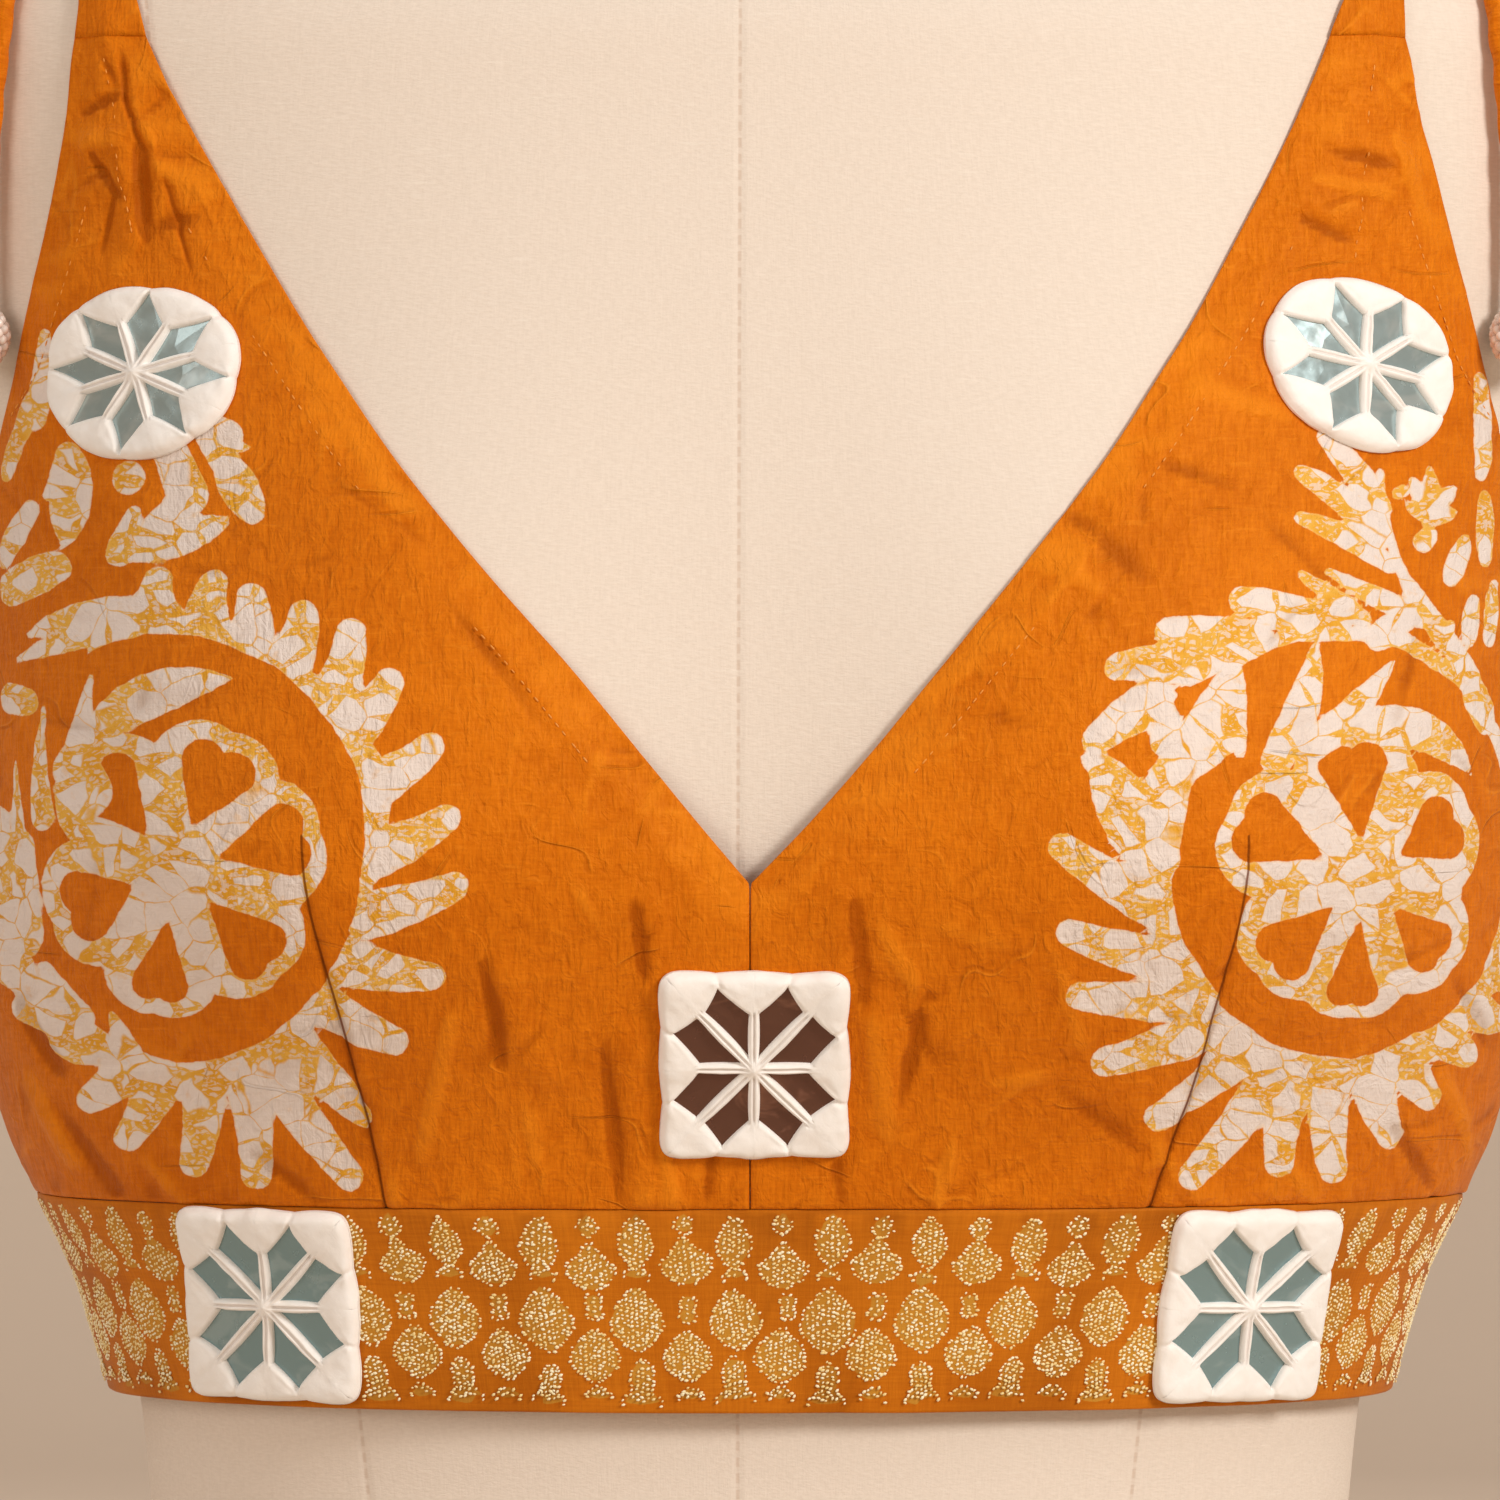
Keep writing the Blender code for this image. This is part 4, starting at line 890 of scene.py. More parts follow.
@dataclass(frozen=True)
class SmallParts:
    """Geometry Nodes that set one small rounded part on every point of a mesh."""

    length: float
    width: float
    height: float
    segments: int
    rings: int
    size_spread: float
    seed: int

    def tree(self, material: bpy.types.Material) -> bpy.types.NodeTree:
        """Returns: the node tree, with a named input for each size."""
        tree = bpy.data.node_groups.new("set small parts", "GeometryNodeTree")
        face = tree.interface
        face.new_socket("Geometry", in_out="INPUT", socket_type="NodeSocketGeometry")
        for name, kind in (("Length", "Float"), ("Width", "Float"), ("Height", "Float"), ("Segments", "Int"),
                           ("Rings", "Int"), ("Size spread", "Float"), ("Seed", "Int"),
                           ("Finish", "Material")):
            face.new_socket(name, in_out="INPUT", socket_type="NodeSocket" + kind)
        face.new_socket("Geometry", in_out="OUTPUT", socket_type="NodeSocketGeometry")
        new, link = tree.nodes.new, tree.links.new
        given, out = new("NodeGroupInput"), new("NodeGroupOutput")
        ball = new("GeometryNodeMeshUVSphere")
        ball.inputs["Radius"].default_value = 0.5
        link(given.outputs["Segments"], ball.inputs["Segments"])
        link(given.outputs["Rings"], ball.inputs["Rings"])
        shape = new("ShaderNodeCombineXYZ")
        for axis, name in zip("XYZ", ("Length", "Width", "Height")):
            link(given.outputs[name], shape.inputs[axis])
        flattened = new("GeometryNodeTransform")
        link(ball.outputs["Mesh"], flattened.inputs["Geometry"])
        link(shape.outputs[0], flattened.inputs["Scale"])
        turns = []
        for name, axis, pivot in (("facing", "Z", "AUTO"), ("along", "X", "Z")):
            stored = new("GeometryNodeInputNamedAttribute")
            stored.data_type = "FLOAT_VECTOR"
            stored.inputs["Name"].default_value = name
            turn = new("FunctionNodeAlignRotationToVector")
            turn.axis, turn.pivot_axis = axis, pivot
            link(stored.outputs["Attribute"], turn.inputs["Vector"])
            if turns:
                link(turns[-1].outputs[0], turn.inputs["Rotation"])
            turns.append(turn)
        low = new("ShaderNodeMath")
        low.operation = "SUBTRACT"
        low.inputs[0].default_value = 1.0
        high = new("ShaderNodeMath")
        high.operation = "ADD"
        high.inputs[0].default_value = 1.0
        size = new("FunctionNodeRandomValue")
        link(given.outputs["Size spread"], low.inputs[1])
        link(given.outputs["Size spread"], high.inputs[1])
        link(low.outputs[0], size.inputs[2])
        link(high.outputs[0], size.inputs[3])
        link(given.outputs["Seed"], size.inputs["Seed"])
        placed = new("GeometryNodeInstanceOnPoints")
        link(given.outputs["Geometry"], placed.inputs["Points"])
        link(flattened.outputs[0], placed.inputs["Instance"])
        link(turns[-1].outputs[0], placed.inputs["Rotation"])
        link(size.outputs[1], placed.inputs["Scale"])
        real = new("GeometryNodeRealizeInstances")
        link(placed.outputs[0], real.inputs[0])
        finish = new("GeometryNodeSetMaterial")
        link(real.outputs[0], finish.inputs["Geometry"])
        link(given.outputs["Finish"], finish.inputs["Material"])
        link(finish.outputs[0], out.inputs[0])
        return tree

    def build(self, name: str, points: np.ndarray, facing: np.ndarray, along: np.ndarray,
              material: bpy.types.Material) -> bpy.types.Object:
        """Sets the parts and makes them one plain mesh.

        Args:
            name: the piece's name.
            points: where the parts go.
            facing: the outward direction at each point.
            along: the direction of a part's length at each point.
            material: their finish.

        Returns:
            The piece.
        """
        carrier = build_object(name, points, [])
        set_vectors(carrier, "facing", facing)
        set_vectors(carrier, "along", along)
        modifier = carrier.modifiers.new("parts", "NODES")
        modifier.node_group = tree = self.tree(material)
        values = {"Length": self.length, "Width": self.width, "Height": self.height, "Segments": self.segments,
                  "Rings": self.rings, "Size spread": self.size_spread, "Seed": self.seed, "Finish": material}
        for item in tree.interface.items_tree:
            if item.in_out == "INPUT" and item.name in values:
                modifier[item.identifier] = values[item.name]
        graph = bpy.context.evaluated_depsgraph_get()
        mesh = bpy.data.meshes.new_from_object(carrier.evaluated_get(graph), depsgraph=graph)
        carrier.modifiers.remove(modifier)
        carrier.data = mesh
        mesh.shade_smooth()
        return carrier


# The batik print

def stroke_depth(x: np.ndarray, z: np.ndarray, row: Sequence[float]) -> np.ndarray:
    """How deep a place lies inside a brushed stroke.

    Args:
        x, z: places in mm.
        row: both ends of the stroke, its bend, the half width at both ends and the belly between them.

    Returns:
        Millimetres inside the stroke, negative outside.
    """
    x0, z0, x1, z1, bend, width0, width1, belly = row
    run = np.array([x1 - x0, z1 - z0])
    side = np.array([-run[1], run[0]]) / max(np.hypot(*run), 1e-6)
    middle = np.array([x0, z0]) + run / 2 + side * bend
    t = np.linspace(0, 1, 9)
    line = (np.outer((1 - t) ** 2, (x0, z0)) + np.outer(2 * t * (1 - t), middle) + np.outer(t * t, (x1, z1)))
    radii = width0 + (width1 - width0) * t + belly * 4 * t * (1 - t)
    best = np.full(x.shape, -1e3)
    for a, b, r0, r1 in zip(line[:-1], line[1:], radii[:-1], radii[1:]):
        d = b - a
        share = np.clip(((x - a[0]) * d[0] + (z - a[1]) * d[1]) / (d @ d + 1e-12), 0, 1)
        best = np.maximum(best, r0 + (r1 - r0) * share - np.hypot(x - a[0] - share * d[0], z - a[1] - share * d[1]))
    return best


@dataclass(frozen=True)
class Rosette:
    """A flower of hearts in a ring of fingers, with brushed leaves round it, in mm from its own hub."""

    hub: tuple
    hearts: tuple  # angle in degrees, distance, length, width
    fingers: tuple  # angle of the tip in degrees, reach, lean
    ring: tuple  # angle in degrees, inner radius of the finger ring
    strokes: tuple
    band: tuple  # angle in degrees, thickness of the ring that the fingers grow from
    heart_band: float = 6.0
    finger_root: float = 5.0
    finger_tip: float = 2.9

    def flower(self, x: np.ndarray, z: np.ndarray) -> np.ndarray:
        """Returns: millimetres inside the white flower, without its hearts."""
        white = 21.5 - np.hypot(x, z)
        holes = np.full(x.shape, -1e3)
        for angle, distance, length, width in self.hearts:
            aim = np.array([math.cos(math.radians(angle)), math.sin(math.radians(angle))])
            side = np.array([-aim[1], aim[0]])
            lobe = width * 0.29
            foot = aim * (distance - length / 2)
            for sign in (-1, 1):
                top = aim * (distance + length / 2 - lobe) + side * sign * width * 0.20
                holes = np.maximum(holes, stroke_depth(x, z, (*foot, *top, sign * -0.5, 0.25, lobe, 0.15)))
                outer = aim * (distance + length * 0.12) + side * sign * width * 0.20
                white = np.maximum(white, width * 0.27 + self.heart_band - np.hypot(x - outer[0], z - outer[1]))
        return np.minimum(white, -holes)

    def depth(self, x: np.ndarray, z: np.ndarray) -> np.ndarray:
        """Returns: millimetres inside the white of the print."""
        x, z = x - self.hub[0], z - self.hub[1]
        rho, phi = np.hypot(x, z), np.degrees(np.arctan2(z, x))
        best = self.flower(x, z)
        at, inner = zip(*self.ring)
        ring = np.interp(phi, at, inner, period=360)
        ring = ring + 0.5 * soft_noise(phi / 9.0, 0 * phi + self.hub[0], 19)
        thick = np.interp(phi, *zip(*self.band), period=360) + 0.9 * soft_noise(phi / 6.0, 0 * phi, 29)
        best = np.maximum(best, np.minimum(rho - ring, ring + thick - rho))
        for angle, reach, lean in self.fingers:
            start = math.radians(angle - lean)
            base = np.interp(math.degrees(start), at, inner, period=360) + self.finger_root * 0.45
            end = math.radians(angle)
            tip = reach - self.finger_tip
            row = (base * math.cos(start), base * math.sin(start), tip * math.cos(end), tip * math.sin(end),
                   math.copysign(1.2, -lean), self.finger_root, self.finger_tip, 0.0)
            best = np.maximum(best, np.minimum(stroke_depth(x, z, row), rho - ring))
        for row in self.strokes:
            best = np.maximum(best, stroke_depth(x, z, row))
        return best


LEFT_ROSETTE = Rosette(
    hub=(-114.4, 374.6),
    hearts=((129, 17.0, 17.5, 14.5), (66, 17.5, 17.0, 15.5), (14, 18.0, 18.0, 14.5), (-46, 17.5, 17.5, 13.5),
            (-100, 18.5, 16.0, 11.5), (-158, 16.5, 15.0, 14.5)),
    fingers=((93, 60, 0), (82, 59.6, 0), (74, 58.6, 2.4), (63, 59.2, 2.2), (53, 61.2, 6.9), (40.8, 59.1, 3.1),
             (25.3, 58.8, 2.9), (10.3, 57.5, 6), (-3.6, 58.3, 9.8), (-22.6, 58, 5.4), (-38, 58.2, 5),
             (-53.7, 64, 4.2), (-62.5, 71.9, 4.8), (-77.5, 65.4, -4.9), (-88.7, 61.6, -4.7), (-102.1, 57.4, -6.5),
             (-112.1, 52.4, -7.4), (-126, 45.3, -10), (-141, 47, -9), (-156, 49, -9), (-170, 52, -9),
             (176, 54, -8), (163, 55, -8)),
    ring=((-180, 36), (-120, 35.5), (-90, 38.5), (-45, 36.5), (0, 37), (45, 42.5), (75, 45), (100, 47),
          (130, 44), (160, 38)),
    band=((-165, 5.0), (-130, 1.5), (-110, 6.5), (-85, 7.5), (-60, 9.0), (-46, 3.0), (-38, -2.0), (-10, -2.0),
          (-2, 4.5), (20, 6.5), (40, 4.5), (60, 3.0), (85, 3.0), (105, 3.5), (118, -2.0), (150, -2.0), (180, 4.0)),
    strokes=(
        (-19.7, 16.2, -16.2, 38.5, 0.8, 4.6, 0.4, 0.0), (-19.5, 19.5, -17.0, 15.0, 0.0, 5.2, 5.0, 0.0),
        (-27.8, -20.9, -20.5, -30.0, 0.0, 2.4, 3.4, 0.0), (-33.8, -23.5, -26.9, -30.4, 0.0, 1.5, 2.2, 0.0),
        (-13.7, -29.1, -9.8, -39.8, 0.0, 0.8, 3.6, 0.4),
        (-18.5, 24.0, 11.5, 37.3, 7.2, 0.8, 0.3, 4.0),
        (-27.4, 10.5, -27.2, 32.0, 1.6, 3.2, 0.4, 0.0), (-34.2, 3.4, -35.0, 21.1, 0.0, 2.8, 0.4, 0.0),
        (-33.0, -12.7, -33.8, 3.4, 0.0, 5.2, 4.4, 0.0), (-31.0, 46.1, -6.4, 51.4, 1.6, 0.6, 2.4, 1.6),
        (-34.2, 41.3, -7.3, 47.3, 1.6, 0.6, 1.6, 1.2), (-37.1, 33.6, -31.4, 32.8, 0.0, 3.2, 2.8, 0.0),
        (-36.0, 55.5, -23.4, 59.8, 0.0, 3.6, 3.2, 0.6), (-8.9, 77.6, -8.9, 77.5, 0.0, 3.3, 3.3, 0.0),
        (-20.9, 82.4, -21.8, 64.9, 1.6, 2.6, 1.2, 2.6), (-22.0, 79.0, -24.5, 74.5, 0.0, 2.0, 1.6, 0.0),
        (-0.2, 81.6, 2.8, 74.0, 0.0, 3.6, 4.2, 0.0), (2.6, 73.0, -5.4, 68.2, 0.0, 3.4, 1.0, 0.0),
        (6.4, 88.2, 11.0, 79.0, 0.0, 3.4, 3.0, 0.0), (8.0, 84.6, 16.0, 83.0, 0.0, 2.4, 0.3, 0.0),
        (11.0, 79.0, 15.5, 70.6, 0.0, 3.2, 2.6, 1.0), (13.0, 77.0, 16.4, 76.5, 0.0, 1.8, 0.5, 0.0),
        (-9.8, 63.6, 10.0, 68.8, -1.5, 2.6, 1.2, 2.0), (-7.8, 70.6, -10.8, 62.5, 0.8, 1.4, 2.8, 0.6),
        (-31.0, 86.0, -25.8, 96.1, 0.8, 1.8, 1.6, 0.8),
        (-35.0, 78.7, -29.8, 88.8, 0.8, 1.8, 1.4, 0.8), (-37.5, 61.8, -29.0, 71.5, 0.0, 2.4, 2.0, 0.6),
        (-5.6, 86.0, -0.4, 81.6, 0.0, 2.6, 2.4, 0.0), (-27.4, 89.2, -25.8, 106.1, -1.2, 2.0, 1.4, 0.6),
        (3.6, 89.0, 10.9, 86.0, 0.0, 2.4, 2.8, 0.4),
    ),
)
RIGHT_ROSETTE = Rosette(
    hub=(122.0, 372.8),
    hearts=((96, 17.0, 19.0, 14.0), (31, 15.5, 14.5, 13.5), (-44, 16.0, 14.5, 11.5), (-93, 17.0, 17.0, 10.5),
            (-136, 16.5, 16.5, 13.0), (155, 18.0, 18.5, 14.5)),
    fingers=((113.7, 62.6, 15.2), (128.5, 65, 12.5), (139.3, 66.7, 12.5), (153, 62.2, 12.5), (174.3, 62.7, -14.4),
             (190.6, 62, -15), (202.5, 63.7, -15.5), (215.3, 65.9, -11.1), (229.5, 65.5, -8.5),
             (242.2, 69.9, -6.7), (255.8, 61.4, 3.4), (266.4, 61.1, 4), (278.3, 54.5, 3.9), (289, 48.9, 4.3),
             (304.6, 45.3, 4.6), (320, 47, 6), (336, 49, 6), (352, 50, 6)),
    ring=((0, 35), (45, 40), (90, 46.5), (120, 49), (140, 52), (152, 47), (160, 42), (180, 38.5), (205, 37), (235, 36.5),
          (270, 36), (290, 33), (320, 33)),
    band=((0, 5.0), (30, 4.5), (60, 3.0), (80, 3.5), (105, 3.0), (118, -1.0), (130, -3.0), (150, -3.0), (164, -2.0),
          (170, 2.0), (185, 4.5), (205, 6.0), (225, 5.0), (250, 4.0), (275, 6.0), (300, 6.0), (330, 5.0)),
    strokes=(
        (-46.0, 9.5, -41.5, 3.0, 0.0, 5.0, 4.2, 0.0), (-38.5, 19.0, -40.5, 4.0, 0.0, 4.4, 3.6, 0.0),
        (-29.0, 29.0, -25.8, 43.0, -1.5, 5.0, 0.8, 0.6), (-24.5, 24.5, -24.8, 33.0, 0.0, 1.2, 1.4, 0.2),
        (-31.0, 25.5, -38.5, 20.0, 0.0, 4.0, 3.6, 0.0),
        (-17.3, 23.0, -9.7, 46.5, -2.8, 3.2, 0.4, 1.6), (-11.3, 25.0, 5.6, 42.7, -2.0, 3.0, 0.4, 1.2),
        (-1.2, 31.0, 23.8, 20.3, 6.0, 2.0, 0.4, 2.8), (-38.3, 27.0, -40.7, 34.6, 0.0, 4.0, 2.6, 0.0),
        (-36.3, 23.4, -25.8, 43.5, -2.4, 3.6, 0.6, 1.6), (-39.9, 3.6, -51.6, 21.3, 2.8, 3.6, 2.6, 2.0),
        (-45.5, 15.3, -54.0, 23.4, 0.0, 3.6, 2.0, 0.8), (2.8, 47.5, 8.1, 51.6, 0.0, 2.8, 2.4, 0.4),
        (3.4, 73.3, -8.1, 87.4, -1.2, 2.0, 1.6, 1.0), (3.6, 67.5, -12.5, 80.4, -1.6, 2.0, 1.6, 1.0),
        (4.8, 62.0, -12.5, 71.3, -1.6, 1.8, 1.4, 0.8), (3.2, 80.6, 8.1, 58.6, -2.8, 0.8, 1.2, 0.0),
        (8.1, 58.6, 24.0, 39.9, -2.0, 1.4, 2.0, 0.8), (-0.6, 51.2, -12.5, 60.0, 0.0, 2.0, 0.8, 0.6),
        (14.9, 49.9, -7.3, 60.8, 1.2, 1.8, 0.6, 1.0), (13.1, 73.3, 9.3, 78.9, 0.0, 2.0, 0.8, 0.6),
        (13.1, 73.3, 12.9, 81.0, 0.0, 2.0, 0.8, 0.6), (13.1, 73.3, 17.7, 77.3, 0.0, 2.0, 0.8, 0.6),
        (12.5, 71.7, 8.5, 73.7, 0.0, 1.6, 0.8, 0.4), (13.3, 71.3, 18.1, 72.5, 0.0, 1.6, 0.8, 0.4),
        (11.7, 66.7, 12.5, 67.7, 0.0, 2.2, 2.2, 0.0), (7.7, 76.9, 6.4, 76.3, 0.0, 1.2, 1.2, 0.0),
        (24.0, 98.7, 24.2, 80.6, 1.2, 2.0, 1.6, 1.0), (17.7, 59.6, 20.9, 66.7, 0.0, 2.0, 1.6, 0.8),
        (17.3, 47.1, 17.7, 49.9, 0.0, 1.4, 1.2, 0.0), (22.6, 47.5, 23.4, 54.4, 0.0, 2.0, 1.8, 0.6),
        (26.6, 63.6, 25.4, 75.7, 0.0, 2.0, 1.6, 0.8), (28.6, 47.5, 29.4, 57.6, 0.0, 2.0, 1.6, 0.6),
        (23.8, 37.5, 27.8, 31.4, 0.0, 2.8, 3.2, 0.8),
    ),
)

# Creases on the plan: both ends across and up in mm, half width and height in mm
FRONT_CREASES = {
    Side.RIGHT: (
        (-133.0, 525.0, -125.6, 528.6, 1.2, -0.8), (-130.0, 537.5, -126.5, 531.5, 1.0, -0.55),
        (-125.8, 540.0, -124.6, 528.0, 0.7, -0.8), (-124.6, 528.0, -121.8, 518.5, 0.7, -0.9),
        (-122.2, 518.0, -121.2, 501.0, 1.5, -1.2), (-123.4, 540.0, -118.0, 538.5, 1.0, -0.5),
        (-121.5, 524.0, -116.5, 529.0, 0.9, -0.5), (-118.6, 532.0, -113.0, 528.0, 1.2, 0.45),
        (-131.5, 517.0, -126.0, 509.0, 0.8, -0.8), (-134.0, 519.0, -127.0, 519.5, 1.4, 0.5),
        (-126.5, 509.0, -129.0, 497.0, 0.7, -0.5), (-119.0, 517.0, -111.0, 516.0, 1.3, -0.45),
        (-117.5, 513.5, -109.0, 509.0, 1.5, 0.4), (-119.5, 503.0, -107.0, 503.5, 1.4, -0.35),
        (-116.5, 512.0, -111.5, 494.0, 0.6, -0.5), (-23.5, 367.5, -21.5, 353.5, 1.3, -0.8),
        (-29.5, 339.0, -26.0, 308.0, 1.5, -0.7), (-53.5, 356.0, -50.0, 336.0, 1.4, -0.8),
        (-46.0, 330.0, -41.0, 308.0, 1.6, 0.4), (-60.0, 345.0, -66.0, 318.0, 2.0, 0.5),
        (-92.0, 480.0, -70.0, 446.0, 2.4, 0.35), (-62.0, 430.0, -40.0, 400.0, 2.2, -0.3),
        (-84.0, 452.0, -66.0, 440.0, 1.4, -0.3), (-148.0, 346.0, -138.0, 334.0, 1.8, -0.9),
        (-146.0, 332.0, -135.0, 316.0, 1.8, 0.7), (-139.0, 327.0, -126.0, 310.0, 1.6, -0.6),
        (-120.0, 316.0, -112.0, 307.0, 1.4, 0.5), (-99.0, 318.0, -86.0, 308.0, 1.4, -0.4),
        (-18.0, 322.0, -16.0, 308.0, 1.3, 0.6), (-8.0, 318.0, -9.0, 308.0, 1.2, -0.5),
        (-36.0, 372.0, -30.0, 362.0, 1.2, 0.35), (-70.0, 380.0, -58.0, 372.0, 1.0, 0.25),
    ),
    Side.LEFT: (
        (119.0, 541.0, 130.0, 538.0, 1.3, 0.5), (116.0, 517.5, 129.0, 514.5, 1.3, -0.6),
        (113.5, 511.5, 127.0, 508.5, 1.3, 0.6), (110.0, 504.0, 119.0, 499.5, 1.3, -0.5),
        (128.0, 520.0, 134.0, 505.0, 1.4, 0.45), (20.5, 367.0, 22.5, 349.0, 1.4, -0.9),
        (26.0, 362.0, 34.5, 347.0, 1.5, 0.6), (34.5, 349.0, 29.5, 328.0, 1.4, -0.7),
        (24.0, 345.0, 27.0, 322.0, 1.8, 0.5), (30.0, 347.0, 37.0, 336.0, 1.0, -0.4),
        (16.0, 322.0, 18.0, 308.0, 1.3, -0.5), (40.0, 320.0, 37.0, 308.0, 1.3, 0.5),
        (62.0, 447.0, 78.0, 432.0, 2.0, -0.4), (58.0, 436.0, 72.0, 428.0, 2.2, 0.4),
        (78.0, 456.0, 96.0, 450.0, 1.8, -0.4), (88.0, 470.0, 106.0, 464.0, 1.8, 0.4),
        (30.0, 404.0, 48.0, 418.0, 1.8, 0.3), (60.0, 360.0, 66.0, 338.0, 1.8, 0.35),
        (62.0, 330.0, 78.0, 318.0, 1.6, -0.45), (78.0, 322.0, 88.0, 309.0, 1.4, 0.4),
        (137.0, 333.0, 147.0, 318.0, 1.8, 0.7), (128.0, 322.0, 138.0, 309.0, 1.6, -0.6),
        (141.0, 352.0, 149.0, 340.0, 1.8, -0.6), (104.0, 318.0, 112.0, 308.0, 1.3, 0.4),
    ),
}


def crease_height(x: np.ndarray, z: np.ndarray, rows: Rows) -> np.ndarray:
    """Returns: the height of listed creases in mm, each with a sharper side than the other."""
    total = np.zeros(x.shape)
    for x0, z0, x1, z1, half_width, out in rows:
        dx, dz = x1 - x0, z1 - z0
        share = np.clip(((x - x0) * dx + (z - z0) * dz) / (dx * dx + dz * dz), 0, 1)
        across = ((x - x0) * dz - (z - z0) * dx) / math.hypot(dx, dz)
        away = np.hypot(x - x0 - share * dx, z - z0 - share * dz)
        width = half_width * np.where(across > 0, 0.45, 0.95)
        total += out * bell(away, width) * (0.55 + 0.45 * np.sin(share * math.pi))
    return total


def small_creases(x: np.ndarray, z: np.ndarray, seed: int, count: int) -> np.ndarray:
    """Returns: the height in mm of many short creases of worn silk, drawn with a fixed seed."""
    draw = np.random.default_rng(seed)
    low_x, high_x, low_z, high_z = x.min(), x.max(), z.min(), z.max()
    rows = []
    for _ in range(count):
        cx, cz = draw.uniform(low_x, high_x), draw.uniform(low_z, high_z)
        turn = draw.choice([0.15, -0.6, 1.25, 0.75]) + draw.normal(0, 0.3)
        half = draw.uniform(2.5, 9.0)
        rows.append((cx - half * math.cos(turn), cz - half * math.sin(turn), cx + half * math.cos(turn),
                     cz + half * math.sin(turn), draw.uniform(0.6, 1.5), draw.uniform(-0.26, 0.26)))
    return crease_height(x, z, rows)


def rippled(away: np.ndarray, along: np.ndarray, seed: int, reach: float = 7.0) -> np.ndarray:
    """Returns: the height in mm of the small puckers that a seam draws in, standing across it."""
    wave = soft_noise(along / 3.6, 0 * along, seed) + 0.6 * soft_noise(along / 1.9, 0 * along + 7, seed + 1)
    return 0.20 * wave * np.exp(-((away / reach) ** 2)) * fade(0.3, 1.6, away)


@dataclass
class SheetGrid:
    """One sheet of cloth as a grid of places, with its relief worked out before it is made a mesh."""

    name: str
    theta: np.ndarray
    z: np.ndarray
    top: float = 1.45 * MM
    thickness: float = 0.75 * MM

    def __post_init__(self) -> None:
        """Lays the grid on the body."""
        self.base = BODY.cloth_point(self.theta, self.z, np.zeros(self.theta.shape))
        self.line = np.full(self.theta.shape, 9.0)
        self.relief = np.zeros(self.theta.shape)

    def edge_line(self, rows: slice, columns: slice) -> np.ndarray:
        """Returns: the points along an edge of the grid."""
        return self.base[rows, columns].reshape(-1, 3)

    def plan(self, mirrored: bool, back: bool = False) -> tuple[np.ndarray, np.ndarray]:
        """The flat plan of the sheet, measured from its edge near the centre.

        Args:
            mirrored: whether the columns run from the side to the centre.
            back: whether the sheet is a back, whose plan starts at the centre back.

        Returns:
            Across and up in mm.
        """
        points = self.base[:, ::-1] if mirrored else self.base
        if back:
            across, up = points[..., 0] / MM, points[..., 2] / MM
        else:
            across, up = CAMERA.plan(points)
        sign = -1.0 if mirrored else 1.0
        run = np.linalg.norm(np.diff(points, axis=1), axis=-1) / MM
        step = np.maximum(np.abs(np.diff(across, axis=1)), 0.6 * run)
        plan = np.concatenate([np.abs(across[:, :1]), np.abs(across[:, :1]) + np.cumsum(step, axis=1)], axis=1)
        plan = plan * sign
        return (plan[:, ::-1], up[:, ::-1]) if mirrored else (plan, up)

    def build(self, free: Sequence[np.ndarray], sewn: Sequence[np.ndarray], finish: bpy.types.Material,
              fall: float = 1.75 * MM) -> tuple:
        """Makes the sheet with its relief, falling to the body at its free edges.

        Args:
            free: lines of points along its free edges.
            sewn: lines of points along its seams, where it turns in a little.
            finish: its material.
            fall: how far a free edge falls.

        Returns:
            The piece and its area.
        """
        loose = np.minimum.reduce([away_from(self.base, line) for line in free]) if free else 1.0 + 0 * self.z
        seam = np.minimum.reduce([away_from(self.base, line) for line in sewn]) if sewn else 1.0 + 0 * self.z
        drop = fall * (1 - fade(0.0, 11.0 * MM, loose))
        self.relief *= fade(0.0, 7.0 * MM, np.maximum(STRAP_SEAM_Z - self.z, 0))
        near = np.minimum(loose, seam)
        turned = np.sqrt(np.clip(1 - (1 - np.clip(near / (0.7 * MM), 0, 1)) ** 2, 0, 1))
        tuck = 0.35 * MM * (1 - fade(0.0, 2.2 * MM, seam))
        height = self.relief * MM
        middle = self.top - self.thickness / 2 - drop + height - tuck
        half = self.thickness / 2 * (0.15 + 0.85 * turned)
        floor = -1.35 * MM
        under = np.maximum(middle - half, floor)
        over = np.maximum(middle + half, under + 0.12 * MM)
        outer = BODY.cloth_point(self.theta, self.z, over)
        inner = BODY.cloth_point(self.theta, self.z, under)
        rows, columns = self.theta.shape
        piece = build_object(self.name, np.concatenate([outer.reshape(-1, 3), inner.reshape(-1, 3)]),
                             [shell_faces(rows, columns)])
        piece.data.materials.append(finish)
        # The relief is stored to paint shade in the creases and highlight on their ridges.
        set_values(piece, "crease", np.tile(np.clip(self.relief / 0.42, -1.6, 1.6).ravel(), 2))
        set_values(piece, "line", np.tile(self.line.ravel(), 2))
        return piece, cloth_area(outer)


def spread(low: float, high: float, steps: int, edge: float) -> np.ndarray:
    """Returns: evenly spaced values with closer ones at both ends."""
    inner = np.linspace(low + 2.2 * edge, high - 2.2 * edge, steps)
    return np.concatenate([[low, low + 0.35 * edge, low + edge], inner, [high - edge, high - 0.35 * edge, high]])


